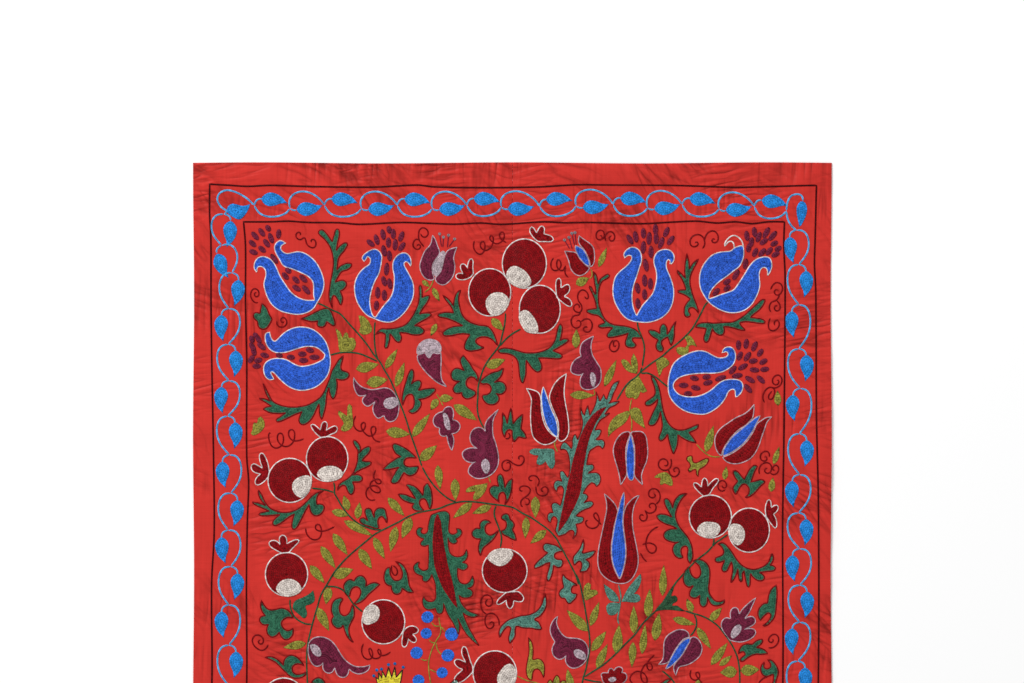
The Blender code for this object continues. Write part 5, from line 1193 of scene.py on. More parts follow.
SAGE_SPRAYS = [
    [(7.9, 60.8, 1), (7, 60.1), (6, 59.8), (5.1, 59.7), (4.8, 60.2), (5, 60.8), (5.6, 61.1, 1), (4.9, 61.7),
     (4.1, 62.4), (3.5, 63.1), (3.4, 63.5), (4.3, 63.3), (5.2, 62.8), (5.9, 62.6, 1), (5.8, 63.4),
     (5.5, 64.4), (5.4, 65.2), (5.6, 65.6), (6, 65), (6.3, 64), (6.4, 63, 1), (7, 63.4), (7.6, 63.3),
     (7.9, 62.6), (7.7, 62.2), (7.1, 62.2), (6.6, 61.9), (6.6, 61.3), (7.1, 61)],
    [(7.9, 64.5, 1), (8.4, 65.1), (9.2, 65.6), (10.2, 66.2, 1), (9.5, 66.3), (9.2, 66.8), (9.3, 67.4),
     (10.1, 67.6, 1), (9.9, 68.2), (9.4, 68.7), (8.9, 69.1), (8.5, 68.7), (8.2, 68.2, 1), (7.7, 68.2),
     (7.3, 67.6), (7.5, 67), (8, 66.6), (7.9, 65.8), (7.8, 65.1)],
    [(11.1, 59, 1), (11.2, 59.8), (11.1, 60.6), (10.9, 61.2), (11.6, 61.1), (12.4, 60.9), (13, 60.8, 1),
     (12.7, 61.4), (12.1, 61.9), (11.4, 62.2, 1), (11.8, 62.4), (12.1, 62.9), (11.9, 63.5), (11.5, 64),
     (10.5, 64.1, 1), (10.8, 63.6), (10.9, 62.9), (10.6, 62.4), (10.1, 62.6), (9.7, 63.1, 1), (9.5, 62.4),
     (9.6, 61.7), (10.1, 61.1), (10.6, 60.4), (10.9, 59.6)],
    [(5.1, 67.5, 1), (5.3, 68.4), (5.3, 69.4), (4.9, 70.3), (4.2, 71.1), (3.4, 71.6), (4, 71.9),
     (4.4, 72.6), (4.6, 73.1, 1), (3.8, 73.1), (3, 72.9), (2.2, 72.9), (1.4, 72.8), (0.6, 72.6),
     (0.4, 73.3), (0.4, 74.1), (0, 74.8), (-0.4, 75.3, 1), (-0.6, 74.6), (-0.4, 73.8), (-0.2, 72.9, 1),
     (-0.6, 72.6), (-1.1, 72.9), (-1.6, 73.6), (-2, 74.4, 1), (-2.1, 73.7), (-1.9, 72.9), (-1.3, 72.2),
     (-0.5, 71.6), (0.4, 71.3), (1.4, 71), (2.4, 70.9), (3.3, 70.6), (4.1, 70), (4.6, 69.2), (4.9, 68.3)],
]

# Olive leaves with a madder edge
EDGED_OLIVE = [
    [(28.1, 46), (28.2, 46.8), (28.6, 47.1), (29.2, 46.9), (30, 46.5), (30.7, 46.4), (30.5, 47.1),
     (29.9, 47.7), (29.3, 48), (29.1, 48.6), (29.1, 49.2, 1), (28.8, 48.8), (28.8, 48.1), (28.3, 48.1),
     (27.7, 48.5), (27.5, 48.2), (27.9, 47.5), (27.7, 47), (27.3, 46.6), (27.4, 46.1)],
    [(2.5, 74.4, 1), (3, 75.1), (3.2, 76), (3.2, 77.1), (3.2, 77.9), (3.9, 77.7), (4.6, 78), (5, 78.8),
     (5, 79.7), (4.9, 80.7, 1), (4.6, 80), (4.2, 79.4), (3.6, 79.3), (3.2, 79.8), (3.1, 80.6), (3, 81.1, 1),
     (2.5, 80.8), (2.2, 80), (2.2, 79), (2.4, 77.9), (2.6, 76.8), (2.6, 75.6)],
    [(5.6, 82.6, 1), (5.5, 81.6), (5.9, 81), (6.3, 81.5, 1), (6.6, 80.7), (7, 80.3), (7.4, 80.9),
     (7.4, 81.6, 1), (7.9, 81.1), (8.4, 81.3), (8.2, 82.2), (7.3, 83), (6.4, 83.2)],
]

PLAIN_LEAVES = [
    [(-31.2, 67, 1), (-31, 67.8), (-31, 68.7), (-31.6, 69.2), (-32.4, 69.5), (-32.2, 70.2), (-32.2, 71),
     (-32.6, 71.4), (-33.3, 70.9), (-34, 70.3), (-34.4, 69.9, 1), (-34.3, 69.1), (-33.8, 68.5), (-33, 68.2),
     (-32.2, 67.8), (-31.6, 67.4)],
]

SPUR = [
    (25.3, 66, 1), (25.2, 67), (24.9, 67.9), (25.4, 67.8), (25.8, 68.1), (25.8, 68.7), (25, 69.3),
    (25.8, 69.4), (26.5, 69.9), (27.2, 70.3, 1), (26.2, 70.25), (24.9, 70.1), (23.6, 70.1), (22.6, 70.3),
    (22, 70.7, 1), (22.6, 69.8), (23.4, 68.9), (24, 68), (24.6, 67),
]

SAGE_STEMS = [
    [(16.6, 66.1), (16.9, 67.4), (17, 68.2), (16.9, 68.9), (16.8, 69.7), (16.6, 70.7), (16.5, 71.6),
     (16.7, 72.4)],
]

# Blue berries: centre and breadth
BERRIES = [
    ((-13.3, 71.2), 1.85), ((-13.5, 73.75), 1.7), ((-9.5, 73.9), 2.05), ((-15, 76.8), 1.9),
    ((-10.1, 77.2), 1.95), ((-11, 79.9), 1.7), ((-14.7, 81.1), 1.8),
]

# Dagger leaves: the silk of the outline, the outline, and the dark core
DAGGERS = [
    (
        "teal",
        [(16.7, 34.2, 1), (16.3, 35.2), (15.8, 36.2), (15.4, 37.3), (15, 37.8, 1), (15.9, 37.5),
         (16.8, 37.4, 1), (16.1, 38), (15.2, 38.4), (14.8, 38.9), (14.4, 39.5, 1), (15.3, 39.2, 1),
         (14.6, 39.8), (13.8, 40.3), (13.2, 41.2), (12.9, 42, 1), (13.5, 41.8), (13.9, 41.9), (13.6, 42.8),
         (13, 43.4, 1), (13.4, 43.5), (14, 43.4), (14.4, 43.8), (14.3, 44.6), (14, 44.9, 1), (13.9, 44.5),
         (13.3, 44.4), (12.6, 44.8), (12.1, 45.2), (11.8, 46.2), (11.6, 47.4, 1), (12, 47.4), (12.6, 47.3),
         (12.7, 48), (12.1, 48.4), (11.8, 48.7, 1), (12.7, 48.6), (13.4, 48.7), (13.8, 49.4), (13.6, 50.3),
         (13.1, 50.8, 1), (12.9, 50.3), (12.5, 50.1), (12, 50.4), (11.5, 51), (11, 51.9, 1), (11.5, 51.9),
         (11.8, 52.2), (11.6, 52.8), (11.1, 53.4, 1), (11.8, 53.1), (12.5, 53.1), (12.7, 53.4), (12.2, 54),
         (11.4, 54.3), (10.5, 54.8), (9.9, 55.4, 1), (10.5, 55.5), (11.1, 55.6), (11.1, 56.1), (10.6, 56.5),
         (9.9, 56.6, 1), (10.1, 57.3), (10, 58.2), (9.4, 59, 1), (9.7, 58.2), (9.6, 57.7), (9, 57.6),
         (8.2, 58.2), (7.2, 58.5, 1), (6.9, 58), (6.7, 57.6, 1), (6.95, 56.8), (7, 55.8), (6.5, 55.4),
         (6.1, 55.8), (6, 56.4, 1), (5.6, 56.1), (5.5, 55.4), (5.8, 54.9), (6.4, 54.9, 1), (6.2, 54.2),
         (6.2, 53.5), (6.8, 53.3), (7.5, 53.8, 1), (7.8, 52.8), (8, 51.7), (8, 51.1), (7.6, 50.6),
         (7.1, 50.9), (6.9, 51.6, 1), (6.5, 50.9), (6.6, 50.1), (7.1, 49.8), (7.8, 50, 1), (7.5, 49.2),
         (7.5, 48.4), (7.9, 48.3), (8.3, 48.9), (8.7, 49.4, 1), (8.9, 48.8), (9, 47.6), (8.9, 46.3),
         (8.6, 45.3), (8.1, 44.9), (7.5, 45, 1), (7.6, 44.4), (8.1, 43.8), (8.7, 44.2), (9.3, 44.9, 1),
         (9.4, 44.2), (9.4, 43.3), (9.8, 42.5, 1), (10, 42.9), (10.2, 43.5, 1), (10.6, 42.6), (10.9, 41.6),
         (11, 40.5), (10.7, 39.3), (10.7, 38.4, 1), (10.9, 39), (11.3, 39.7, 1), (11.5, 38.8),
         (11.8, 38, 1), (11.9, 38.6), (12.1, 39.7, 1), (12.6, 38.8), (13, 37.9), (13.2, 36.8),
         (13.1, 35.9, 1), (13.5, 36.9), (13.7, 37.5, 1), (14.3, 36.3, 1), (14.5, 36.9), (14.8, 37.2, 1),
         (15.1, 36.2), (15.5, 35.2), (15.9, 34.6)],
        [(14.8, 38.2, 1), (14, 39.4), (13.2, 40.6), (12.6, 41.9), (12.1, 43.2), (11.7, 44.7), (11.4, 46.3),
         (11.1, 48), (10.9, 50), (10.6, 51.8), (10, 53.4), (9.2, 55), (8.3, 56.5), (7.5, 57.6),
         (7.1, 57.9, 1), (7.3, 56.8), (7.6, 55.3), (7.9, 53.9), (8.2, 52.4), (8.6, 50.5), (9, 48.8),
         (9.5, 46.5), (10, 44.8), (10.5, 43.2), (11.1, 41.8), (11.8, 40.5), (12.6, 39.5), (13.6, 38.7)],
    ),
    (
        "leaf",
        [(-11.6, 54.75, 1), (-11.1, 54.65), (-10.5, 54.6), (-9.9, 55.05), (-9.9, 56.25), (-10, 57.45),
         (-9.9, 57.95, 1), (-9.5, 58.25), (-8.9, 58.15), (-8.6, 57.85), (-8.8, 57.35, 1), (-8.2, 57.45),
         (-7.9, 57.95), (-8.3, 58.65), (-8.9, 58.95, 1), (-8.6, 59.25), (-8.9, 59.65), (-9.5, 59.65),
         (-10, 59.15), (-10.1, 58.65, 1), (-10, 60.25), (-9.7, 61.25), (-8.9, 61.75), (-7.9, 61.65),
         (-7.4, 61.15), (-7.2, 60.55, 1), (-7, 61.45), (-7.3, 62.25), (-7.9, 62.65, 1), (-7.1, 62.9),
         (-7, 63.4), (-7.7, 63.85), (-8.6, 63.5, 1), (-8.6, 64.65), (-8.3, 65.65), (-7.5, 66.05),
         (-6.7, 65.65), (-6.25, 64.65, 1), (-6, 65.65), (-6.3, 66.4), (-7.1, 66.7, 1), (-6.4, 67),
         (-6.2, 67.5), (-6.5, 68), (-7.2, 68.2), (-7.9, 68.1), (-8.4, 67.7, 1), (-8.1, 68.8), (-7.5, 69.7),
         (-6.8, 70.3), (-6, 70.6), (-5.1, 70.9, 1), (-6.1, 71.2), (-7, 71), (-7.8, 70.5, 1), (-7.3, 71.8),
         (-6.7, 73.1), (-5.9, 74.5), (-5.2, 75.7, 1), (-6.2, 74.9), (-7.3, 73.7), (-8, 72.5),
         (-8.6, 71.3, 1), (-8.3, 72.3), (-8.3, 73.2), (-8.5, 74, 1), (-8.9, 72.9), (-9.4, 71.9),
         (-10.1, 70.8), (-10.8, 69, 1), (-10.8, 69.8), (-11, 70.5), (-11.5, 70.7), (-11.9, 70.4),
         (-12, 69.8, 1), (-12.7, 70), (-13.4, 70), (-13.9, 69.5), (-14.1, 68.7), (-13.9, 67.9, 1),
         (-13.6, 68.5), (-13, 68.8), (-12.3, 68.7), (-12, 68.2), (-12, 67.2), (-12.1, 65.9),
         (-12.6, 64.5, 1), (-13, 65.25), (-13.6, 65.7), (-14.1, 65.35), (-14, 64.8, 1), (-14.5, 64.65),
         (-15.2, 64.25), (-15.5, 63.45), (-15.1, 62.75), (-14.5, 62.55, 1), (-14.75, 63.05), (-14.5, 63.65),
         (-13.8, 63.95), (-13.2, 63.65, 1), (-13.15, 62.65), (-13.1, 61.05), (-13.15, 59.85, 1),
         (-13.8, 60.1), (-14.4, 59.85), (-14.3, 59.45), (-13.8, 58.95, 1), (-14.2, 58.85), (-14.9, 58.35),
         (-15, 57.65), (-14.6, 57.2), (-14, 57.3, 1), (-14.35, 57.55), (-14.3, 57.95), (-13.8, 58.2),
         (-13.3, 57.85), (-13.2, 57.05), (-13, 56.05), (-12.7, 55.25), (-12.1, 54.95)],
        [(-11.7, 55, 1), (-12.1, 55.7), (-12.4, 57.85), (-12.5, 59.5), (-12.4, 61.5), (-12.2, 63.1),
         (-11.6, 65), (-10.9, 66.65), (-10.1, 67.9), (-9.2, 69.2), (-8.6, 69.8, 1), (-8.8, 68.6),
         (-9, 67.4), (-9.3, 66), (-9.6, 64.8), (-10, 63.4), (-10.3, 61.9), (-10.7, 59.9), (-11, 57.85),
         (-11.2, 56.25)],
    ),
]

# ---- the border: twin lines with a vine of leaves between them

OUTER_TOP = [
    (-47.4, 3.4, 1), (-44, 3.6), (-41.5, 3.75), (-38, 3.6), (-33, 3.75), (-27, 3.86), (-21.4, 3.86),
    (-17.4, 3.65), (-14.6, 3.55), (-12.7, 3.8), (-8, 3.94), (0, 3.93), (5, 3.8), (8, 3.6), (10.5, 3.5),
    (15, 3.55), (25, 3.6), (30, 3.75), (34.5, 3.9), (40, 3.8), (45, 3.65), (47.6, 3.6, 1),
]
OUTER_RIGHT = [
    (47.5, 8), (47.4, 12), (47.3, 16), (47.5, 20), (47.6, 40), (47.9, 54), (47.9, 81), (47.4, 94),
    (47, 110), (47.2, 130), (47.3, 140),
]
OUTER_LEFT = [
    (-47.4, 8), (-47.2, 12), (-47.2, 20), (-47.1, 30), (-46.8, 46), (-46.7, 58), (-47.1, 66), (-47.05, 81),
    (-47.6, 94), (-47.5, 120), (-47.4, 140),
]
INNER_TOP = [
    (-42.1, 9.3, 1), (-38, 9.3), (-35, 9.2), (-32, 9.4), (-27, 9.45), (-24.1, 9.7), (-17.4, 9.4),
    (-12.5, 9.56), (-9, 9.67), (-5, 9.48), (-1.9, 9.7), (5, 9.3), (8, 9.45), (12, 9.4), (20, 9.6),
    (25, 9.35), (29, 9.2), (32, 9.5), (35, 9.3), (37.5, 9.6), (40, 9.3), (42.6, 9.3, 1),
]
INNER_RIGHT = [
    (42.5, 13), (42.7, 18), (42.55, 40), (42.4, 50), (42.3, 58), (42.35, 81), (41.9, 94), (41.7, 112),
    (41.8, 130),
]
INNER_LEFT = [
    (-41.8, 13), (-41.8, 22), (-41.6, 31), (-41.6, 46), (-41.3, 50), (-41.5, 56), (-41.65, 66), (-41.6, 81),
    (-42.1, 94), (-42.5, 112), (-42.6, 132),
]
VINE_TOP = [
    (-40.4, 6.75), (-34.8, 7.2), (-29.4, 6.75), (-23.6, 7.2), (-18, 6.75), (-12.5, 7.2), (-7.1, 6.75),
    (-1.7, 7), (4.3, 6.95), (10, 6.8), (15.8, 6.6), (21.2, 7.1), (26.6, 6.6), (32.4, 7.3), (37.9, 6.9),
    (42.9, 7.6),
]
VINE_LEFT = [
    (-45.2, 8.1), (-45.5, 13), (-43.9, 17.3), (-44.4, 22.9), (-44.5, 28.5), (-44.35, 34.2), (-44.6, 39.75),
    (-44.3, 45.8), (-44.1, 51.8), (-44.5, 57.6), (-44.1, 63.3), (-44.4, 69.3), (-44.4, 75.6),
]
VINE_RIGHT = [
    (44.5, 10.6), (44.85, 16), (44.9, 22.3), (44.85, 29.2), (45.1, 35.4), (44.95, 42.5), (45, 48.9),
    (44.8, 54.9), (45, 60.5), (45, 66.2), (45, 72), (44.7, 78.1),
]
LOWER_PITCHES = 10
VINE_PITCH = 5.6
LEAF_SIZE = 1.08
# One turn of the vine, along it and to its side
ARCH = [
    (0, 0), (-0.1, 0.6), (0, 1.3), (0.5, 1.95), (1.3, 2.35), (2.3, 2.45), (3.3, 2.2), (4.3, 1.6),
    (5.1, 0.8), (5.6, 0),
]
HOLLOW = [(0, 0), (0.3, 0.5), (1, 1.2), (2.1, 1.55), (3.3, 1.5), (4.3, 1.2), (5.1, 0.7), (5.6, 0)]
BOW = [(0, 0), (0.2, 0.95), (0.8, 1.5), (1.6, 1.75), (2.7, 1.75), (3.8, 1.4), (4.7, 0.8), (5.6, 0)]
STALK = [(0, 0), (0.1, 0.5), (0.45, 1), (1.15, 1.15)]
SHORT_STALK = [(0, 0), (0.3, 0.3), (0.7, 0.4), (1.1, 0.3)]
VINE_LEAF = [
    (0, 0), (0.3, 0.5), (0.95, 0.95), (1.65, 1), (2.35, 0.8), (3.05, 0.4), (3.55, -0.1), (3.85, -0.35, 1),
    (2.95, -0.45), (2.15, -0.8), (1.25, -1), (0.45, -0.7),
]
CORNER_LOOPS = [
    [(-45.2, 8.1), (-44.7, 7.7), (-45.5, 7.1), (-46.1, 6.2), (-46.2, 5.6), (-45.9, 4.9), (-45.3, 4.5),
     (-44.6, 4.35), (-43.5, 4.6), (-42.6, 5), (-41.5, 5.7), (-40.4, 6.75)],
    [(42.9, 7.6), (43.1, 6.2), (43.6, 5.3), (44.4, 5), (45, 5.05), (45.4, 5.4), (45.5, 6.1)],
    [(42.9, 7.6), (43.1, 8.8), (43.6, 9.8), (44.3, 10.5), (44.6, 10.7)],
]
CORNER_LEAVES = [
    [(-44.7, 7.7), (-44.6, 7), (-44, 6.5), (-43.2, 6.55), (-42.3, 6.8), (-41.6, 6.7), (-41.1, 6.5, 1),
     (-41.2, 7.1), (-41.7, 8), (-42.4, 8.8), (-42.9, 8.95), (-43.7, 8.6), (-44.3, 8.2)],
    [(45.1, 6.1), (45.7, 6.2), (46.1, 6.9), (46.1, 7.9), (45.7, 9), (45.2, 9.9), (44.9, 10.1, 1), (44.7, 9),
     (44.5, 8), (44.5, 7.1), (44.8, 6.4)],
]

# Gold crown with black edges and blue tips
CROWN = [
    (-21.4, 80.6, 1), (-20.9, 81, 1), (-21, 79.8, 1), (-20.4, 80.8, 1), (-20.4, 79.6, 1), (-19.8, 80.7, 1),
    (-19.4, 79, 1), (-18.9, 80.7, 1), (-18.4, 78.9, 1), (-18.2, 80.7, 1), (-17.2, 79.4, 1), (-17.4, 80.8),
    (-17.7, 82), (-18, 83.2, 1), (-19.2, 83.5), (-20.6, 83.3, 1), (-21, 82),
]
CROWN_BEADS = [
    (-21.7, 80.4), (-21.25, 79.5), (-20.5, 79.35), (-19.4, 78.65), (-18.4, 78.5), (-17.1, 79.05),
]

# Motifs charted no deeper than this are worked again, turned half round, from the lower end
TURN_DEPTH = 68.5
# Where the upper half's own motifs reach past the middle: right, down, radius
KEEP_CLEAR = [
    (-35.8, 84, 3.9), (-19.3, 81.5, 2.6), (-1.5, 80.5, 3.6), (-32, 82.5, 1.4), (-30.2, 82.2, 1.5),
    (35.6, 82, 1.2), (10.8, 82, 1.1), (9, 81.5, 1.2), (7, 81.8, 1.9), (-12.7, 82.2, 1), (40.9, 81.6, 1.3),
    (16, 80.9, 2.2), (4.5, 82, 1.2), (-14.7, 81.1, 1.1),
]
# Where the cloth is drawn in and ripples round heavy work: metres right and up, and the radius
RIPPLE_CENTRES = [
    (way * x * CM, way * (TOP_EDGE - y * CM), (rx + ry) / 2 * CM)
    for (x, y), rx, ry, cap, crown in POMEGRANATES
    for way in ((1, -1) if y < TURN_DEPTH else (1,))
]

# ---------------------------------------------------------------- the lie of the cloth


def waves(across, down, spacing):
    """Smooth uneven waves, from -1 to 1, about this far apart. They are the same each time."""
    column, row = np.floor(across / spacing), np.floor(down / spacing)
    part_x, part_y = across / spacing - column, down / spacing - row

    def knot(i, j):
        value = np.sin(i * 127.1 + j * 311.7) * 43758.5453
        return 2 * (value - np.floor(value)) - 1

    ease_x, ease_y = part_x**2 * (3 - 2 * part_x), part_y**2 * (3 - 2 * part_y)
    near = knot(column, row) * (1 - ease_x) + knot(column + 1, row) * ease_x
    far = knot(column, row + 1) * (1 - ease_x) + knot(column + 1, row + 1) * ease_x
    return near * (1 - ease_y) + far * ease_y


def fold_height(right, down, fold):
    """How far one fold lifts the cloth: a round-backed ridge that dies away at both ends."""
    x0, y0, x1, y1, foot_width, height = fold
    length = math.hypot(x1 - x0, y1 - y0)
    run_x, run_y = (x1 - x0) / length, (y1 - y0) / length
    off_x, off_y = right - (x0 + x1) / 2, down - (y0 + y1) / 2
    along = np.minimum(np.abs(off_x * run_x + off_y * run_y) / (length / 2), 1)
    across = np.minimum(np.abs(off_x * run_y - off_y * run_x) / (foot_width / 2), 1)
    return height * (1 - along**2) ** 2 * (0.5 + 0.5 * np.cos(math.pi * across))


def ripple_height(x, y):
    """Fine ripples that stand out round each heavily worked motif, where the stitching draws the cloth in."""
    height = np.zeros_like(x)
    for centre_x, centre_y, radius in RIPPLE_CENTRES:
        off_x, off_y = x - centre_x, y - centre_y
        angle = np.arctan2(off_y, off_x)
        outside = (np.hypot(off_x, off_y) - radius) / RIPPLE_REACH
        count = round(2 * math.pi * radius / RIPPLE_SPACING)
        shape = np.sin(count * angle + 2.5 * waves(x, y, 0.03))
        height += RIPPLE_HEIGHT * shape * np.exp(-((outside - 0.5) ** 2) * 2.5)
    return height


def cloth_lift(x, y):
    """Height of the cloth's underside over the surface, by its main folds only."""
    return sum(fold_height(x, TOP_EDGE - y, fold) for fold in MAIN_FOLDS)


def cloth_face(x, y):
    """Height of the cloth's face, with every crease, pucker and ripple."""
    down = TOP_EDGE - y
    fine = sum(fold_height(x, down, crease) for crease in CREASES)
    slack = SLACK_HEIGHT * (0.6 * waves(x, y, 0.045) + 0.4 * waves(y + 3, x, 0.021))
    seam = -0.9 * MM * np.exp(-((x / (2.5 * MM)) ** 2))
    depth = bpy.context.scene.suzani_cloth.fold_depth
    return cloth_lift(x, y) + CLOTH_THICKNESS + depth * (fine + slack + ripple_height(x, y)) + seam


def drawn_in(position, length, count):
    """How far an edge of the cloth is drawn in at a position along it."""
    return EDGE_PULL * (0.5 - 0.5 * np.cos(2 * math.pi * count * position / length))


# ---------------------------------------------------------------- drawing on the cloth


def smooth(points, closed=True, step=0.3):
    """Evenly spaced points, in centimetres, on a smooth line through the given ones.

    A point with a third number is a corner."""
    count = len(points)
    spots = [Vector(point[:2]) for point in points]
    route = []
    for i in range(count if closed else count - 1):
        here, there = spots[i], spots[(i + 1) % count]
        before, after = spots[i - 1], spots[(i + 2) % count]
        chord = there - here
        leave, arrive = there - before, after - here
        if len(points[i]) > 2 or (not closed and i == 0):
            leave = chord
        if len(points[(i + 1) % count]) > 2 or (not closed and i == count - 2):
            arrive = chord
        reach = chord.length / 3
        handle_a = here + leave.normalized() * reach
        handle_b = there - arrive.normalized() * reach
        pieces = max(1, round(chord.length / step))
        route += geometry.interpolate_bezier(here, handle_a, handle_b, there, pieces + 1)[:-1]
    if not closed:
        route.append(spots[-1])
    return [(spot.x, spot.y) for spot in route]


def moved(points, at, angle=0.0, size=1.0, flip=False):
    """Points drawn round (0, 0), turned clockwise by an angle in degrees, sized and carried to a place."""
    turn = math.radians(angle)
    cos, sin = math.cos(turn) * size, math.sin(turn) * size
    side = -1 if flip else 1
    return [
        (at[0] + p[0] * cos - side * p[1] * sin, at[1] + p[0] * sin + side * p[1] * cos, *p[2:])
        for p in points
    ]


def ellipse(at, length, width, angle=0.0):
    """An oval outline, its long axis turned clockwise from the right by an angle in degrees."""
    count = max(8, round(2.2 * (length + width) / 0.3))
    turns = [2 * math.pi * i / count for i in range(count)]
    oval = [(length / 2 * math.cos(t), width / 2 * math.sin(t)) for t in turns]
    return moved(oval, at, angle)


def nearest_on(spots, ring):
    """Distance from each spot to a closed outline, and how far along the outline the nearest place is."""
    starts = ring
    runs = np.roll(ring, -1, axis=0) - ring
    lengths = np.hypot(runs[:, 0], runs[:, 1])
    before = np.concatenate([[0], np.cumsum(lengths)[:-1]])
    offsets = spots[:, None, :] - starts[None]
    parts = np.clip((offsets * runs).sum(axis=2) / lengths**2, 0, 1)
    gaps = offsets - parts[..., None] * runs
    distances = np.hypot(gaps[..., 0], gaps[..., 1])
    best = distances.argmin(axis=1)
    rows = np.arange(len(spots))
    along = before[best] + parts[rows, best] * lengths[best]
    return distances[rows, best], along, runs[best] / lengths[best, None]


class Needlework:
    """Gathers the stitched shapes of one piece of needlework, and makes them one object."""

    def __init__(self, name, turned=False):
        self.name = name
        self.turned = turned
        self.bm = bmesh.new()
        self.bm.loops.layers.uv.new(STITCH_MAP)
        self.threads = []

    def place(self, points):
        """Charted points, in centimetres, as places on the cloth in metres."""
        side = -1 if self.turned else 1
        return np.array([(side * x * CM, side * (TOP_EDGE - y * CM)) for x, y, *_ in points])

    def thread_slot(self, thread):
        if thread not in self.threads:
            self.threads.append(thread)
        return self.threads.index(thread)

    def add(self, shape):
        """Join one finished shape to the piece."""
        mesh = bpy.data.meshes.new("shape")
        bmesh.ops.recalc_face_normals(shape, faces=shape.faces[:])
        shape.to_mesh(mesh)
        shape.free()
        self.bm.from_mesh(mesh)
        bpy.data.meshes.remove(mesh)

    def fill(self, outline, thread, rise=FILL_RISE, under=0.0):
        """A padded area filled with rows of chain stitch that follow its outline."""
        ring = self.place(outline)
        shape = bmesh.new()
        uv = shape.loops.layers.uv.new(STITCH_MAP)
        rim = [shape.verts.new((x, y, 0)) for x, y in ring]
        shape.faces.new(rim)
        for axis in (0, 1):
            normal = (1, 0, 0) if axis == 0 else (0, 1, 0)
            low, high = ring[:, axis].min(), ring[:, axis].max()
            cuts = max(1, round((high - low) / FILL_CELL))
            for i in range(1, cuts):
                spot = Vector(normal) * (low + (high - low) * i / cuts)
                bmesh.ops.bisect_plane(
                    shape,
                    geom=shape.verts[:] + shape.edges[:] + shape.faces[:],
                    dist=1e-6,
                    plane_co=spot,
                    plane_no=normal,
                )
        shape.verts.index_update()
        spots = np.array([vertex.co.xy for vertex in shape.verts])
        distance, along, _ = nearest_on(spots, ring)
        crown = np.clip(distance / (2.2 * MM), 0, 1)
        crown = FILL_EDGE_RISE + (rise - FILL_EDGE_RISE) * crown * (2 - crown)
        heights = cloth_face(spots[:, 0], spots[:, 1]) + crown - under
        centres = np.array([face.calc_center_median().xy for face in shape.faces])
        _, face_along, face_run = nearest_on(centres, ring)
        for i, face in enumerate(shape.faces):
            for loop in face.loops:
                k = loop.vert.index
                u = along[k]
                if abs(u - face_along[i]) > 2 * FILL_CELL:
                    u = face_along[i] + float((spots[k] - centres[i]) @ face_run[i])
                loop[uv].uv = (u, distance[k])
        rim_edges = [edge for edge in shape.edges if edge.is_boundary]
        for vertex, height in zip(shape.verts, heights):
            vertex.co.z = height
        skirt = bmesh.ops.extrude_edge_only(shape, edges=rim_edges)["geom"]
        low_verts = [item for item in skirt if isinstance(item, bmesh.types.BMVert)]
        low_edges = [item for item in skirt if isinstance(item, bmesh.types.BMEdge) and item.is_boundary]
        for vertex in low_verts:
            vertex.co.z -= FILL_EDGE_RISE + SUNK
        bmesh.ops.edgeloop_fill(shape, edges=low_edges)
        slot = self.thread_slot(thread)
        for face in shape.faces:
            face.material_index = slot
        self.add(shape)

    def line(self, points, thread, width=OUTLINE_WIDTH, closed=False, rise=LINE_RISE, step=LINE_STEP):
        """A row of chain stitch along a line: a low rounded rib, which tapers to nothing at its ends."""
        route = evenly(self.place(points), step, closed)
        if closed:
            route = np.vstack([route, route[:1]])
        cells = len(route) - 1
        ahead, behind = np.roll(route, -1, axis=0), np.roll(route, 1, axis=0)
        if closed:
            ahead[-1], behind[0] = route[1], route[-2]
        else:
            ahead[-1], behind[0] = route[-1], route[0]
        runs = ahead - behind
        runs /= np.maximum(np.hypot(runs[:, 0], runs[:, 1]), 1e-9)[:, None]
        lengths = np.hypot(*np.diff(route, axis=0).T)
        along = np.concatenate([[0], np.cumsum(lengths)])
        shape = bmesh.new()
        uv = shape.loops.layers.uv.new(STITCH_MAP)
        bmesh.ops.create_grid(shape, x_segments=cells, y_segments=LINE_SIDES, size=1)
        across = np.array([(v.co.x, v.co.y) for v in shape.verts])
        i = np.rint((across[:, 0] + 1) / 2 * cells).astype(int)
        j = np.rint((across[:, 1] + 1) / 2 * LINE_SIDES).astype(int)
        turn = 2 * math.pi * j / LINE_SIDES  # from the middle of the underside
        taper = np.ones(cells + 1)
        if not closed:
            taper[0] = taper[-1] = 0.02
        side, up = np.sin(turn) * taper[i] * width / 2, -np.cos(turn)
        x = route[i, 0] - runs[i, 1] * side
        y = route[i, 1] + runs[i, 0] * side
        lift = np.where(up > 0, up * rise, up * SUNK) * taper[i]
        heights = cloth_face(x, y) + lift
        for face in shape.faces:
            for loop in face.loops:
                k = loop.vert.index
                loop[uv].uv = (along[i[k]], ROW_PITCH * j[k] / LINE_SIDES)
        for vertex, a, b, c in zip(shape.verts, x, y, heights):
            vertex.co = (a, b, c)
        bmesh.ops.remove_doubles(shape, verts=shape.verts[:], dist=1e-6)
        slot = self.thread_slot(thread)
        for face in shape.faces:
            face.material_index = slot
            face.smooth = True
        self.add(shape)

    def finish(self):
        """The gathered shapes as one object, which lies on the cloth."""
        mesh = bpy.data.meshes.new(self.name)
        self.bm.to_mesh(mesh)
        self.bm.free()
        for thread in self.threads:
            mesh.materials.append(thread_material(thread))
        mesh.shade_smooth()
        mesh.set_sharp_from_angle(angle=math.radians(70))
        piece = bpy.data.objects.new(self.name, mesh)
        bpy.context.scene.collection.objects.link(piece)
        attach(piece, BODY)
        return piece


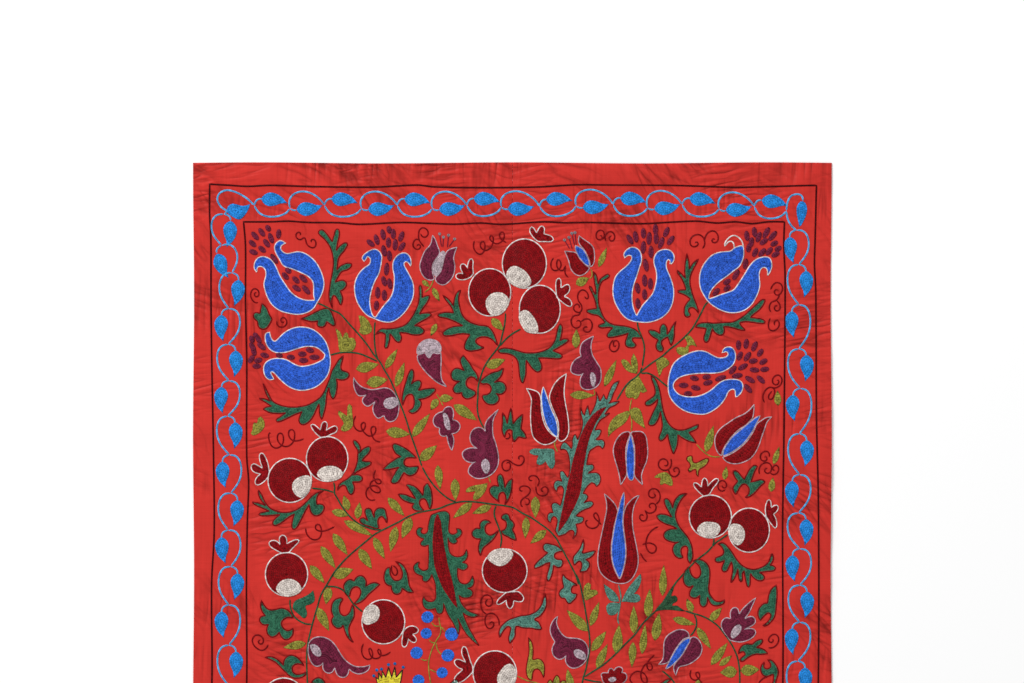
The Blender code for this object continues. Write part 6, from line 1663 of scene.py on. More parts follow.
def evenly(route, step, closed):
    """The same line with its points one step apart."""
    if closed:
        route = np.vstack([route, route[:1]])
    lengths = np.hypot(*np.diff(route, axis=0).T)
    along = np.concatenate([[0], np.cumsum(lengths)])
    count = max(3 if closed else 2, round(along[-1] / step))
    marks = np.linspace(0, along[-1], count + 1)
    if closed:
        marks = marks[:-1]
    return np.column_stack([np.interp(marks, along, route[:, k]) for k in (0, 1)])


# ---------------------------------------------------------------- materials


def add_node(tree, kind, **settings):
    """A node of a kind, with its settings by name."""
    node = tree.nodes.new(kind)
    for name, value in settings.items():
        setattr(node, name, value)
    return node


def feed(tree, socket, value):
    """Link a socket to another, or set it to a value."""
    if isinstance(value, bpy.types.NodeSocket):
        tree.links.new(value, socket)
    else:
        socket.default_value = value


def calculate(tree, operation, *values, clamp=False):
    """The output of a Math node."""
    node = add_node(tree, "ShaderNodeMath", operation=operation, use_clamp=clamp)
    for socket, value in zip(node.inputs, values):
        feed(tree, socket, value)
    return node.outputs[0]


def blend_colour(tree, factor, low, high):
    """The output of a colour Mix node."""
    node = add_node(tree, "ShaderNodeMix", data_type="RGBA")
    for name, value in (("Factor_Float", factor), ("A_Color", low), ("B_Color", high)):
        feed(tree, next(s for s in node.inputs if s.identifier == name), value)
    return next(s for s in node.outputs if s.identifier == "Result_Color")


def noise(tree, vector, scale, detail=2.0):
    """The value of a Noise Texture, from 0 to 1."""
    node = add_node(tree, "ShaderNodeTexNoise")
    feed(tree, node.inputs["Vector"], vector)
    node.inputs["Scale"].default_value = scale
    node.inputs["Detail"].default_value = detail
    return node.outputs["Fac"]


def stretched(tree, vector, scale):
    """A vector scaled along the cloth's axes."""
    node = add_node(tree, "ShaderNodeMapping")
    feed(tree, node.inputs["Vector"], vector)
    node.inputs["Scale"].default_value = scale
    return node.outputs["Vector"]


def new_group(name, inputs, outputs):
    """An empty shader node group with named float inputs and outputs, and its two end nodes."""
    group = bpy.data.node_groups.new(name, "ShaderNodeTree")
    for socket_name, default in inputs:
        socket = group.interface.new_socket(socket_name, in_out="INPUT", socket_type="NodeSocketFloat")
        socket.default_value = default
    for socket_name in outputs:
        group.interface.new_socket(socket_name, in_out="OUTPUT", socket_type="NodeSocketFloat")
    return group, group.nodes.new("NodeGroupInput"), group.nodes.new("NodeGroupOutput")


def chain_stitch_group():
    """Rows of chain stitch along the stitch map: the silk's Height, each link's Tone, and a slow Shade."""
    name = "chain stitch"
    if name in bpy.data.node_groups:
        return bpy.data.node_groups[name]
    tree, given, result = new_group(
        name, (("Row Pitch", ROW_PITCH), ("Link Length", LINK_LENGTH)), ("Height", "Tone", "Shade")
    )
    stitch_map = add_node(tree, "ShaderNodeUVMap", uv_map=STITCH_MAP)
    parts = add_node(tree, "ShaderNodeSeparateXYZ")
    feed(tree, parts.inputs[0], stitch_map.outputs[0])
    row_place = calculate(tree, "DIVIDE", parts.outputs["Y"], given.outputs["Row Pitch"])
    row = calculate(tree, "FLOOR", row_place)
    in_row = calculate(tree, "SUBTRACT", row_place, row)
    start = add_node(tree, "ShaderNodeTexWhiteNoise", noise_dimensions="1D")
    feed(tree, start.inputs["W"], row)
    link_place = calculate(tree, "DIVIDE", parts.outputs["X"], given.outputs["Link Length"])
    link_place = calculate(tree, "ADD", link_place, start.outputs["Value"])
    link = calculate(tree, "FLOOR", link_place)
    in_link = calculate(tree, "SUBTRACT", link_place, link)
    bulge = calculate(tree, "SINE", calculate(tree, "MULTIPLY", in_link, math.pi))
    from_middle = calculate(tree, "ABSOLUTE", calculate(tree, "SUBTRACT", in_row, 0.5))
    strand = calculate(tree, "MULTIPLY", bulge, 0.26)
    gap = calculate(tree, "ABSOLUTE", calculate(tree, "SUBTRACT", from_middle, strand))
    silk = calculate(tree, "SUBTRACT", 1.0, calculate(tree, "DIVIDE", gap, 0.3), clamp=True)
    fullness = calculate(tree, "MULTIPLY_ADD", bulge, 0.5, 0.5)
    feed(tree, result.inputs["Height"], calculate(tree, "MULTIPLY", silk, fullness))
    pair = add_node(tree, "ShaderNodeCombineXYZ")
    feed(tree, pair.inputs["X"], row)
    feed(tree, pair.inputs["Y"], link)
    tone = add_node(tree, "ShaderNodeTexWhiteNoise", noise_dimensions="2D")
    feed(tree, tone.inputs["Vector"], pair.outputs[0])
    feed(tree, result.inputs["Tone"], tone.outputs["Value"])
    place = add_node(tree, "ShaderNodeTexCoord").outputs["Object"]
    feed(tree, result.inputs["Shade"], noise(tree, place, 70.0, 3.0))
    return tree


def new_material(name, roughness):
    material = bpy.data.materials.new(name)
    material.use_nodes = True
    shader = material.node_tree.nodes["Principled BSDF"]
    shader.inputs["Roughness"].default_value = roughness
    shader.inputs["Metallic"].default_value = 0.0
    shader.inputs["Specular IOR Level"].default_value = 0.07
    return material, material.node_tree, shader


def scaled(colour, factor):
    return tuple(min(1.0, part * factor) for part in colour[:3]) + (1.0,)


def thread_material(thread):
    """Silk thread of one colour, worked in chain stitch, with painted highlight where the silk stands high
    and painted shade in the gaps between rows and links.
    """
    name = thread + " silk"
    if name in bpy.data.materials:
        return bpy.data.materials[name]
    colour = getattr(bpy.context.scene.suzani_threads, thread)
    material, tree, shader = new_material(name, 0.42)
    stitch = add_node(tree, "ShaderNodeGroup", node_tree=chain_stitch_group())
    stitch.inputs["Row Pitch"].default_value = ROW_PITCH
    stitch.inputs["Link Length"].default_value = LINK_LENGTH
    height, tone, shade = (stitch.outputs[key] for key in ("Height", "Tone", "Shade"))
    contrast = bpy.context.scene.suzani_threads.contrast
    # Each link's own random tone, plus painted light and shade from the stitch height: lighter where the silk
    # stands high, darker in the gaps between rows and links.
    lightness = calculate(tree, "MULTIPLY_ADD", tone, 0.4, calculate(tree, "MULTIPLY", height, 0.7))
    dark, light = scaled(colour, 1 - 0.8 * contrast), scaled(colour, 1 + 1.1 * contrast)
    lit = blend_colour(tree, lightness, dark, light)
    faded = calculate(tree, "MULTIPLY_ADD", shade, 1.6, -0.55, clamp=True)
    lit = blend_colour(tree, calculate(tree, "MULTIPLY", faded, 0.15), lit, scaled(colour, 1.45))
    feed(tree, shader.inputs["Base Color"], lit)
    bump = add_node(tree, "ShaderNodeBump")
    bump.inputs["Strength"].default_value = 0.7
    bump.inputs["Distance"].default_value = 0.5 * MM
    feed(tree, bump.inputs["Height"], height)
    feed(tree, shader.inputs["Normal"], bump.outputs[0])
    return material


def wrinkles(tree, place, near_ends, turn, across, along):
    """Scattered creases lying one way, more of them near the ends: how far they sink, and the painted shadow
    along each.
    """
    lay = add_node(tree, "ShaderNodeMapping", vector_type="TEXTURE")
    feed(tree, lay.inputs["Vector"], place)
    lay.inputs["Rotation"].default_value = (0, 0, math.radians(turn))
    lay.inputs["Scale"].default_value = (1 / along, 1 / across, 1)
    field = noise(tree, lay.outputs[0], 1.0, 1.5)
    where = add_node(tree, "ShaderNodeMapping")
    feed(tree, where.inputs["Vector"], place)
    where.inputs["Location"].default_value = (turn, across, along)
    patch = noise(tree, where.outputs[0], 7.0, 2.0)
    patch = calculate(tree, "MULTIPLY_ADD", patch, 5.0, -2.6)
    patch = calculate(tree, "ADD", patch, near_ends, clamp=True)
    off = calculate(tree, "ABSOLUTE", calculate(tree, "SUBTRACT", field, 0.5))
    wide = calculate(tree, "SUBTRACT", 1.0, calculate(tree, "MULTIPLY", off, 6.0), clamp=True)
    thin = calculate(tree, "SUBTRACT", 1.0, calculate(tree, "MULTIPLY", off, 16.0), clamp=True)
    sink = calculate(tree, "MULTIPLY", calculate(tree, "MULTIPLY", wide, patch), -1.0)
    return sink, calculate(tree, "MULTIPLY", thin, patch)


def cloth_material():
    """Red satin-faced cloth: fine slubs both ways, a slow unevenness of dye, and scattered creases with
    painted shadow along them.
    """
    settings = bpy.context.scene.suzani_cloth
    material, tree, shader = new_material("red satin cloth", 0.46)
    place = add_node(tree, "ShaderNodeTexCoord").outputs["Object"]
    weft = noise(tree, stretched(tree, place, (12, 420, 1)), 1.0, 2.0)
    warp = noise(tree, stretched(tree, place, (360, 9, 1)), 1.0, 2.0)
    dye = noise(tree, place, 9.0, 3.0)
    slubs = calculate(tree, "ADD", weft, warp)
    uneven = calculate(tree, "MULTIPLY_ADD", dye, 0.8, -0.5)
    tone = calculate(tree, "MULTIPLY_ADD", slubs, 0.6, uneven, clamp=True)
    colour = settings.colour
    dyed = blend_colour(tree, tone, scaled(colour, 0.86), scaled(colour, 1.14))
    parts = add_node(tree, "ShaderNodeSeparateXYZ")
    feed(tree, parts.inputs[0], place)
    # More creases towards both ends, and with them more painted shadow.
    near_ends = calculate(tree, "MULTIPLY", calculate(tree, "ABSOLUTE", parts.outputs["Y"]), 7.0)
    near_ends = calculate(tree, "MULTIPLY", calculate(tree, "SUBTRACT", near_ends, 4.6, clamp=True), 0.55)
    crumple = 0.0
    shadow = 0.0
    for turn, across, along in ((-24, 46, 9), (8, 64, 13), (-56, 50, 11), (88, 52, 6)):
        crease, soft = wrinkles(tree, place, near_ends, turn, across, along)
        crumple = calculate(tree, "ADD", crease, crumple)
        shadow = calculate(tree, "ADD", soft, shadow)
    # Painted shadow along the creases: the cloth colour darkened towards 0.42 of itself, as strongly as the
    # folds are set.
    painted_crease_shade = calculate(tree, "MULTIPLY", shadow, 0.62 * settings.fold_depth, clamp=True)
    feed(tree, shader.inputs["Base Color"], blend_colour(tree, painted_crease_shade, dyed, scaled(colour, 0.42)))
    fold = add_node(tree, "ShaderNodeBump")
    fold.inputs["Strength"].default_value = 0.85 * min(1.0, settings.fold_depth)
    fold.inputs["Distance"].default_value = 4.0 * MM
    feed(tree, fold.inputs["Height"], crumple)
    bump = add_node(tree, "ShaderNodeBump")
    bump.inputs["Strength"].default_value = 0.35
    bump.inputs["Distance"].default_value = 0.25 * MM
    feed(tree, bump.inputs["Height"], slubs)
    feed(tree, bump.inputs["Normal"], fold.outputs[0])
    feed(tree, shader.inputs["Normal"], bump.outputs[0])
    return material


# ---------------------------------------------------------------- what a user would change


class SuzaniCloth(bpy.types.PropertyGroup):
    """The ground cloth"""

    colour: bpy.props.FloatVectorProperty(
        name="Cloth colour", description="Colour of the red satin ground", subtype="COLOR",
        default=(0.560, 0.031, 0.024), min=0, max=1,
    )
    # Fine folds also sets how dark the painted shadow along the creases is.
    fold_depth: bpy.props.FloatProperty(
        name="Fine folds", description="How deep the creases, puckers and ripples are, 1 as laid out",
        default=1.0, min=0, max=2, subtype="FACTOR",
    )


def thread_colour(label, colour):
    return bpy.props.FloatVectorProperty(
        name=label, description=f"Colour of the {label.lower()} silk", subtype="COLOR",
        default=colour, min=0, max=1,
    )


class SuzaniThreads(bpy.types.PropertyGroup):
    """Colours of the embroidery silks"""

    madder: thread_colour("Madder", (0.130, 0.002, 0.004))
    maroon: thread_colour("Maroon", (0.045, 0.001, 0.002))
    garnet: thread_colour("Garnet", (0.165, 0.002, 0.004))
    ivory: thread_colour("Ivory", (0.560, 0.430, 0.390))
    cream: thread_colour("Cream", (0.700, 0.560, 0.480))
    cobalt: thread_colour("Cobalt", (0.020, 0.078, 0.420))
    vine: thread_colour("Vine blue", (0.030, 0.255, 0.680))
    berry: thread_colour("Berry blue", (0.020, 0.110, 0.560))
    vine: thread_colour("Vine blue", (0.060, 0.270, 0.700))
    berry: thread_colour("Berry blue", (0.020, 0.110, 0.560))
    vine: thread_colour("Vine blue", (0.060, 0.270, 0.700))
    berry: thread_colour("Berry blue", (0.020, 0.110, 0.560))
    sky: thread_colour("Sky blue", (0.014, 0.165, 0.480))
    plum: thread_colour("Plum", (0.110, 0.010, 0.030))
    silver: thread_colour("Silver grey", (0.330, 0.260, 0.290))
    leaf: thread_colour("Leaf green", (0.020, 0.092, 0.052))
    teal: thread_colour("Grey green", (0.062, 0.160, 0.128))
    moss: thread_colour("Moss green", (0.018, 0.055, 0.026))
    moss: thread_colour("Moss green", (0.018, 0.055, 0.026))
    moss: thread_colour("Moss green", (0.018, 0.055, 0.026))
    olive: thread_colour("Olive", (0.190, 0.180, 0.028))
    gold: thread_colour("Gold", (0.700, 0.420, 0.030))
    black: thread_colour("Black", (0.012, 0.008, 0.012))
    # Contrast sets both how much each link's own tone varies and how strong the painted highlight and shade
    # on the stitch relief are.
    contrast: bpy.props.FloatProperty(
        name="Thread contrast", description="How much the links of the stitching vary in lightness",
        default=1.0, min=0, max=1.5, subtype="FACTOR",
    )


def make_panel(side, material):
    """One loom width of cloth, laid on the surface. side is -1 for the left panel and 1 for the right one."""
    name = "cloth_left" if side < 0 else "cloth_right"
    width = (CLOTH_WIDTH - SEAM_GAP) / 2
    centre = side * (CLOTH_WIDTH - width) / 2
    sheet = bmesh.new()
    bmesh.ops.create_grid(
        sheet, x_segments=round(width / PANEL_CELL), y_segments=round(CLOTH_LENGTH / PANEL_CELL), size=0.5
    )
    bmesh.ops.scale(sheet, vec=(width, CLOTH_LENGTH, 1), verts=sheet.verts)
    bmesh.ops.translate(sheet, vec=(centre, 0, 0), verts=sheet.verts)
    raised = bmesh.ops.extrude_face_region(sheet, geom=sheet.faces[:], use_keep_orig=True)
    top = [item for item in raised["geom"] if isinstance(item, bmesh.types.BMVert)]
    bmesh.ops.translate(sheet, vec=(0, 0, 1), verts=top)
    bmesh.ops.recalc_face_normals(sheet, faces=sheet.faces[:])
    mesh = bpy.data.meshes.new(name)
    sheet.to_mesh(mesh)
    sheet.free()
    spots = np.empty(len(mesh.vertices) * 3, np.float32)
    mesh.vertices.foreach_get("co", spots)
    x, y, is_top = spots.reshape(-1, 3).astype(float).T
    face = cloth_face(x, y)
    under = np.clip(face - CLOTH_THICKNESS, 0, None)
    z = np.where(is_top > 0.5, face, under)
    down = TOP_EDGE - y
    side_scale = 1 - drawn_in(down, CLOTH_LENGTH, SIDE_WAVES) / (CLOTH_WIDTH / 2)
    end_scale = 1 - drawn_in(x, CLOTH_WIDTH, END_WAVES) / (CLOTH_LENGTH / 2)
    laid = np.column_stack([x * side_scale, y * end_scale, z]).astype(np.float32)
    mesh.vertices.foreach_set("co", laid.ravel())
    mesh.shade_smooth()
    mesh.set_sharp_from_angle(angle=math.radians(60))
    mesh.materials.append(material)
    panel = bpy.data.objects.new(name, mesh)
    bpy.context.scene.collection.objects.link(panel)
    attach(panel, BODY)
    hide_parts("panel_left" if side < 0 else "panel_right")
    return panel


class SUZANI_OT_cloth(bpy.types.Operator):
    """Lay the two loom widths of red satin cloth"""

    bl_idname = "suzani.cloth"
    bl_label = "Cloth"

    def execute(self, context):
        material = cloth_material()
        make_panel(-1, material)
        make_panel(1, material)
        return {"FINISHED"}


# ---------------------------------------------------------------- the needlework, group by group


def middle(points):
    """The middle of a motif's breadth and depth on the chart."""
    rights, downs = [p[0] for p in points], [p[1] for p in points]
    return (min(rights) + max(rights)) / 2, (min(downs) + max(downs)) / 2


def has_room(points):
    """Whether a motif may be worked again from the lower end without meeting one that is there."""
    for right, down, radius in KEEP_CLEAR:
        if any(math.hypot(-p[0] - right, TURN_LENGTH - p[1] - down) < radius for p in points):
            return False
    return middle(points)[1] < TURN_DEPTH


def work_group(name, motifs, stitch, shape_of=list):
    """Work every motif of a group, then those that the lower end repeats, as two pieces."""
    upper = Needlework(name)
    lower = Needlework(name + "_lower", turned=True)
    for motif in motifs:
        stitch(upper, motif)
        if has_room(shape_of(motif)):
            stitch(lower, motif)
    upper.finish()
    if lower.threads:
        lower.finish()


def edged(work, outline, thread, edge, width=OUTLINE_WIDTH):
    """A filled shape with a row of another silk round it."""
    route = smooth(outline)
    work.fill(route, thread)
    work.line(route, edge, width=width, closed=True)


def grown(route, reach):
    """A closed outline moved outward by a reach in centimetres."""
    spots = np.array(route)
    runs = np.roll(spots, -1, axis=0) - np.roll(spots, 1, axis=0)
    runs /= np.maximum(np.hypot(runs[:, 0], runs[:, 1]), 1e-9)[:, None]
    after = np.roll(spots, -1, axis=0)
    way = np.sign((spots[:, 0] * after[:, 1] - spots[:, 1] * after[:, 0]).sum())
    return [tuple(p) for p in spots + way * reach * np.column_stack([runs[:, 1], -runs[:, 0]])]


def blade(start, end, width):
    """The outline of a plain leaf from its stalk to its tip."""
    length = math.dist(start, end)
    angle = math.degrees(math.atan2(end[1] - start[1], end[0] - start[0]))
    half = [(0, 0, 1), (0.12, 0.30), (0.32, 0.5), (0.55, 0.46), (0.8, 0.24), (1, 0, 1)]
    shape = half + [(p[0], -p[1]) for p in half[4:0:-1]]
    return moved([(p[0] * length, p[1] * width, *p[2:]) for p in shape], start, angle)


def stitch_open_pomegranate(work, motif):
    fruit, seeds = motif
    route = smooth(fruit)
    work.fill(route, "cobalt")
    work.line(route, "cream", width=1.9 * MM, closed=True)
    for x, y, turn, length in seeds:
        work.fill(ellipse((x, y), length, 0.8, turn), "plum", under=-0.5 * MM)


def stitch_pomegranate(work, motif):
    (x, y), half_width, half_height, cap, crown = motif
    body = ellipse((x, y), 2 * half_width, 2 * half_height)
    work.fill(body, "garnet")
    work.line(body, "cream", width=2.1 * MM, closed=True)
    work.fill(smooth(cap), "ivory", under=-0.6 * MM)
    edged(work, crown, "garnet", "cream", 1.9 * MM)


def pomegranate_shape(motif):
    (x, y), half_width, half_height, cap, crown = motif
    return ellipse((x, y), 2 * half_width, 2 * half_height) + crown


def stitch_flower(work, motif):
    name, petals = motif
    for thread, edge, outline in petals:
        if thread == "cobalt":
            core = grown(smooth(outline), 0.04)
            work.fill(core, thread, under=-0.4 * MM)
            work.line(core, edge, width=2.0 * MM, closed=True, rise=1.4 * MM)
        elif edge:
            edged(work, outline, thread, edge, 1.9 * MM)
        else:
            work.fill(smooth(outline), thread, under=-0.5 * MM)


def flower_shape(motif):
    return [point for petal in motif[1] for point in petal[2]]


def edged_in(thread, width):
    """The stitching of a shape in one silk, with a madder edge this wide."""
    return lambda work, outline: edged(work, outline, thread, "madder", width)


def filled_in(thread):
    """The stitching of a plain shape in one silk."""
    return lambda work, outline: work.fill(smooth(outline), thread)


def drawn_in_silk(thread, width):
    """The stitching of a line in one silk."""
    return lambda work, route: work.line(smooth(route, closed=False), thread, width=width)


def stitch_blade(work, motif):
    work.fill(smooth(blade(*motif)), "olive")


def blade_shape(motif):
    return [motif[0], motif[1]]


def stitch_dagger(work, motif):
    thread, outline, core = motif
    edged(work, outline, thread, "madder", 2.0 * MM)
    work.fill(smooth(core), "garnet", under=-0.5 * MM)


def stitch_stamen(work, motif):
    foot, tip = motif
    work.line(smooth([foot, tip], closed=False), "plum", width=1.6 * MM)
    work.fill(ellipse(tip, 0.5, 0.5), "silver", under=-0.3 * MM)


def stitch_berry(work, motif):
    at, breadth = motif
    work.fill(ellipse(at, breadth, breadth * 1.04, 70), "berry")


def berry_shape(motif):
    return [motif[0]]


def along_vine(points, start, end, side):
    """A part of the vine, carried to the stretch between two joints; side 1 is left of the way along."""
    span = math.dist(start, end)
    length = span / VINE_PITCH
    run = ((end[0] - start[0]) / span, (end[1] - start[1]) / span)
    across = (side * run[1], -side * run[0])
    return [
        (
            start[0] + length * p[0] * run[0] + p[1] * across[0],
            start[1] + length * p[0] * run[1] + p[1] * across[1],
            *p[2:],
        )
        for p in points
    ]


def stitch_vine(work, joints, side, bows):
    """A run of the vine: bows to alternate sides of its joints, each with a leaf hanging across from it."""
    for i, (start, end) in enumerate(zip(joints, joints[1:])):
        work.line(smooth(along_vine(bows[i % 2], start, end, side), closed=False), "vine", width=3.1 * MM)
        tucked = bows[i % 2] is ARCH
        stalk = along_vine(SHORT_STALK if tucked else STALK, start, end, -side)
        work.line(smooth(stalk, closed=False), "vine", width=2.9 * MM)
        size = VINE_PITCH / math.dist(start, end)
        off = 0.3 if tucked else 1.15
        leaf = [(size * (1 + LEAF_SIZE * p[0]), off + LEAF_SIZE * p[1], *p[2:]) for p in VINE_LEAF]
        work.fill(smooth(along_vine(leaf, start, end, -side)), "sky")
        side = -side


def run_on(joints, end):
    """The joints of a column, carried on evenly to where the lower end's vine meets it."""
    start = joints[-1]
    step_x, step_y = (end[0] - start[0]) / LOWER_PITCHES, (end[1] - start[1]) / LOWER_PITCHES
    return joints + [(start[0] + step_x * i, start[1] + step_y * i) for i in range(1, LOWER_PITCHES + 1)]


def ring_of(top, right, left):
    """A border line right round: the lower end is the top turned half round."""
    turned = [(-p[0], TURN_LENGTH - p[1], *p[2:]) for p in top]
    return top + right + turned + left[::-1]


class SUZANI_OT_border(bpy.types.Operator):
    """Work the twin dark lines of the border"""

    bl_idname = "suzani.border"
    bl_label = "Border lines"

    def execute(self, context):
        for name, ring in (
            ("border_outer", ring_of(OUTER_TOP, OUTER_RIGHT, OUTER_LEFT)),
            ("border_inner", ring_of(INNER_TOP, INNER_RIGHT, INNER_LEFT)),
        ):
            work = Needlework(name)
            work.line(smooth(ring, step=1.0), "maroon", width=3.0 * MM, closed=True)
            work.finish()
        return {"FINISHED"}


class SUZANI_OT_vine(bpy.types.Operator):
    """Work the sky blue vine and its leaves inside the border"""

    bl_idname = "suzani.vine"
    bl_label = "Border vine"

    def execute(self, context):
        for turned in (False, True):
            work = Needlework("vine_top" + ("_lower" if turned else ""), turned)
            stitch_vine(work, VINE_TOP, -1, (HOLLOW, ARCH))
            for loop in CORNER_LOOPS:
                work.line(smooth(loop, closed=False), "vine", width=3.1 * MM)
            for leaf in CORNER_LEAVES:
                work.fill(smooth(leaf), "sky")
            work.finish()
        ends = [(-run[0][0], TURN_LENGTH - run[0][1]) for run in (VINE_RIGHT, VINE_LEFT)]
        left = Needlework("vine_left")
        stitch_vine(left, run_on(VINE_LEFT, ends[0]), -1, (BOW, BOW))
        left.finish()
        right = Needlework("vine_right")
        stitch_vine(right, run_on(VINE_RIGHT, ends[1]), 1, (BOW, BOW))
        right.finish()
        return {"FINISHED"}


class SUZANI_OT_open_pomegranates(bpy.types.Operator):
    """Work the split blue pomegranates and their plum seeds"""

    bl_idname = "suzani.open_pomegranates"
    bl_label = "Open pomegranates"

    def execute(self, context):
        for number, motif in enumerate(OPEN_POMEGRANATES, 1):
            work_group(f"open_pomegranate_{number}", [motif], stitch_open_pomegranate, lambda item: item[0])
        work_group("open_curl", OPEN_CURL, drawn_in_silk("cream", 2.2 * MM))
        return {"FINISHED"}


class SUZANI_OT_pomegranates(bpy.types.Operator):
    """Work the round dark red pomegranates with their pale ends and crowns"""

    bl_idname = "suzani.pomegranates"
    bl_label = "Pomegranates"

    def execute(self, context):
        for number, motif in enumerate(POMEGRANATES, 1):
            work_group(f"pomegranate_{number}", [motif], stitch_pomegranate, pomegranate_shape)
        return {"FINISHED"}


class SUZANI_OT_flowers(bpy.types.Operator):
    """Work the tulips, irises, buds and small flowers"""

    bl_idname = "suzani.flowers"
    bl_label = "Tulips and irises"

    def execute(self, context):
        for motif in FLOWERS:
            work_group(motif[0], [motif], stitch_flower, flower_shape)
        work_group("stamens", STAMENS, stitch_stamen)
        return {"FINISHED"}


class SUZANI_OT_leaf_sprays(bpy.types.Operator):
    """Work the lobed green leaves with their dark edges"""

    bl_idname = "suzani.leaf_sprays"
    bl_label = "Leaf sprays"

    def execute(self, context):
        work_group("leaf_sprays", LEAF_SPRAYS, edged_in("leaf", 2.7 * MM))
        work_group("sage_sprays", SAGE_SPRAYS, edged_in("teal", 2.5 * MM))
        return {"FINISHED"}


class SUZANI_OT_dagger_leaves(bpy.types.Operator):
    """Work the tall dagger leaves with their dark red hearts"""

    bl_idname = "suzani.dagger_leaves"
    bl_label = "Dagger leaves"

    def execute(self, context):
        work_group("dagger_leaves", DAGGERS, stitch_dagger, lambda item: item[1])
        return {"FINISHED"}


class SUZANI_OT_small_leaves(bpy.types.Operator):
    """Work the small olive, green and grey-green leaves"""

    bl_idname = "suzani.small_leaves"
    bl_label = "Small leaves"

    def execute(self, context):
        work_group("olive_leaves", OLIVE_LEAVES, filled_in("olive"))
        work_group("olive_blades", OLIVE_BLADES, stitch_blade, blade_shape)
        work_group("edged_olive_leaves", EDGED_OLIVE, edged_in("olive", 2.0 * MM))
        work_group("sage_leaves", SAGE_LEAVES, filled_in("teal"))
        work_group("plain_leaves", PLAIN_LEAVES, filled_in("leaf"))
        return {"FINISHED"}


class SUZANI_OT_stems(bpy.types.Operator):
    """Work the stems, the branching spur and the tendrils"""

    bl_idname = "suzani.stems"
    bl_label = "Stems and tendrils"

    def execute(self, context):
        work_group("stems", STEMS, drawn_in_silk("moss", 2.8 * MM))
        work_group("sprig_stems", SPRIG_STEMS, drawn_in_silk("olive", 2.0 * MM))
        work_group("sage_stems", SAGE_STEMS, drawn_in_silk("teal", 2.4 * MM))
        work_group("tendrils", TENDRILS, drawn_in_silk("madder", 2.5 * MM))
        spur = Needlework("spur")
        spur.fill(smooth(SPUR), "moss")
        spur.finish()
        return {"FINISHED"}


class SUZANI_OT_berries_and_crown(bpy.types.Operator):
    """Work the sprig of blue berries and the gold crown"""

    bl_idname = "suzani.berries_and_crown"
    bl_label = "Berries and crown"

    def execute(self, context):
        work_group("berries", BERRIES, stitch_berry, berry_shape)
        work = Needlework("crown")
        route = smooth(CROWN)
        work.fill(route, "gold")
        work.line(route, "black", width=1.9 * MM, closed=True)
        for bead in CROWN_BEADS:
            work.fill(ellipse(bead, 0.5, 0.5), "sky", under=-0.3 * MM)
        work.finish()
        return {"FINISHED"}


class SUZANI_OT_seam(bpy.types.Operator):
    """Stitch the two loom widths together down the middle"""

    bl_idname = "suzani.seam"
    bl_label = "Middle seam"

    def execute(self, context):
        work = Needlework("middle_seam")
        count = round(CLOTH_LENGTH / SEAM_STITCH)
        for i in range(count):
            down = (i + 0.5) * CLOTH_LENGTH / count / CM
            work.line([(0.0, down - 0.22), (0.0, down + 0.22)], "madder", width=1.2 * MM, rise=0.3 * MM)
        work.finish()
        return {"FINISHED"}


class SUZANI_OT_stage(bpy.types.Operator):
    """Set the pale floor, the soft light and the camera"""

    bl_idname = "suzani.stage"
    bl_label = "Stage"

    def execute(self, context):
        scene = context.scene
        plane = bmesh.new()
        bmesh.ops.create_grid(plane, x_segments=1, y_segments=1, size=6)
        mesh = bpy.data.meshes.new("floor")
        plane.to_mesh(mesh)
        plane.free()
        floor = bpy.data.objects.new("floor", mesh)
        scene.collection.objects.link(floor)
        material = bpy.data.materials.new("pale floor")
        material.use_nodes = True
        shader = material.node_tree.nodes["Principled BSDF"]
        shader.inputs["Base Color"].default_value = (0.97, 0.97, 0.97, 1)
        shader.inputs["Roughness"].default_value = 0.9
        shader.inputs["Specular IOR Level"].default_value = 0.0
        mesh.materials.append(material)
        world = bpy.data.worlds.new("studio")
        world.use_nodes = True
        world.node_tree.nodes["Background"].inputs["Color"].default_value = (1, 1, 1, 1)
        world.node_tree.nodes["Background"].inputs["Strength"].default_value = 0.66
        scene.world = world
        lamp = bpy.data.lights.new("soft_key", "AREA")
        lamp.shape = "RECTANGLE"
        lamp.size = 2.8
        lamp.size_y = 2.8
        lamp.energy = 520
        key = bpy.data.objects.new("soft_key", lamp)
        scene.collection.objects.link(key)
        key.location = (-4.2, 5.7, 4.9)
        key.rotation_euler = (Vector((0, 0, 0)) - key.location).to_track_quat("-Z", "Y").to_euler()
        scene.view_settings.view_transform = "Standard"
        lens = bpy.data.cameras.new("camera")
        lens.lens = 135
        lens.sensor_width = 36
        camera = bpy.data.objects.new("camera", lens)
        scene.collection.objects.link(camera)
        distance = VIEW_WIDTH * lens.lens / lens.sensor_width
        camera.location = (VIEW_CENTRE[0], TOP_EDGE - VIEW_CENTRE[1], distance)
        camera.rotation_euler = (0, 0, 0)
        lens.clip_end = 100
        scene.camera = camera
        return {"FINISHED"}


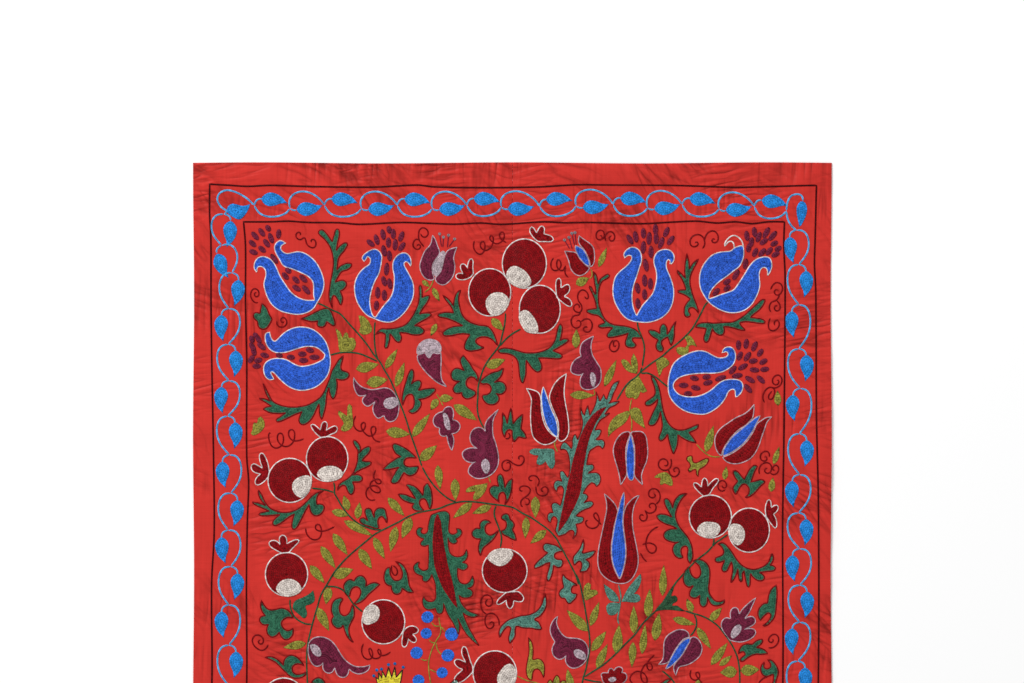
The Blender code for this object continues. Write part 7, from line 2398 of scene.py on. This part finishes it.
STEPS = (
    "suzani.stage",
    "suzani.cloth",
    "suzani.border",
    "suzani.vine",
    "suzani.open_pomegranates",
    "suzani.pomegranates",
    "suzani.flowers",
    "suzani.leaf_sprays",
    "suzani.dagger_leaves",
    "suzani.small_leaves",
    "suzani.stems",
    "suzani.berries_and_crown",
    "suzani.seam",
)


class SUZANI_PT_suzani(bpy.types.Panel):
    """The steps of the suzani, in order"""

    bl_idname = "SUZANI_PT_suzani"
    bl_label = "Suzani"
    bl_space_type = "VIEW_3D"
    bl_region_type = "UI"
    bl_category = "Suzani"

    def draw(self, context):
        for settings in (context.scene.suzani_cloth, context.scene.suzani_threads):
            box = self.layout.box()
            for name in settings.__annotations__:
                box.prop(settings, name)
        for step in STEPS:
            self.layout.operator(step)


CLASSES = (
    SuzaniCloth,
    SuzaniThreads,
    SUZANI_OT_stage,
    SUZANI_OT_cloth,
    SUZANI_OT_border,
    SUZANI_OT_vine,
    SUZANI_OT_open_pomegranates,
    SUZANI_OT_pomegranates,
    SUZANI_OT_flowers,
    SUZANI_OT_leaf_sprays,
    SUZANI_OT_dagger_leaves,
    SUZANI_OT_small_leaves,
    SUZANI_OT_stems,
    SUZANI_OT_berries_and_crown,
    SUZANI_OT_seam,
    SUZANI_PT_suzani,
)


def register():
    for item in CLASSES:
        bpy.utils.register_class(item)
    bpy.types.Scene.suzani_cloth = bpy.props.PointerProperty(type=SuzaniCloth)
    bpy.types.Scene.suzani_threads = bpy.props.PointerProperty(type=SuzaniThreads)


def unregister():
    del bpy.types.Scene.suzani_threads
    del bpy.types.Scene.suzani_cloth
    for item in reversed(CLASSES):
        bpy.utils.unregister_class(item)


def main():
    register()
    bpy.ops.suzani.stage()
    bpy.ops.suzani.cloth()
    bpy.ops.suzani.border()
    bpy.ops.suzani.vine()
    bpy.ops.suzani.open_pomegranates()
    bpy.ops.suzani.pomegranates()
    bpy.ops.suzani.flowers()
    bpy.ops.suzani.leaf_sprays()
    bpy.ops.suzani.dagger_leaves()
    bpy.ops.suzani.small_leaves()
    bpy.ops.suzani.stems()
    bpy.ops.suzani.berries_and_crown()
    bpy.ops.suzani.seam()


if __name__ == "__main__":
    main()
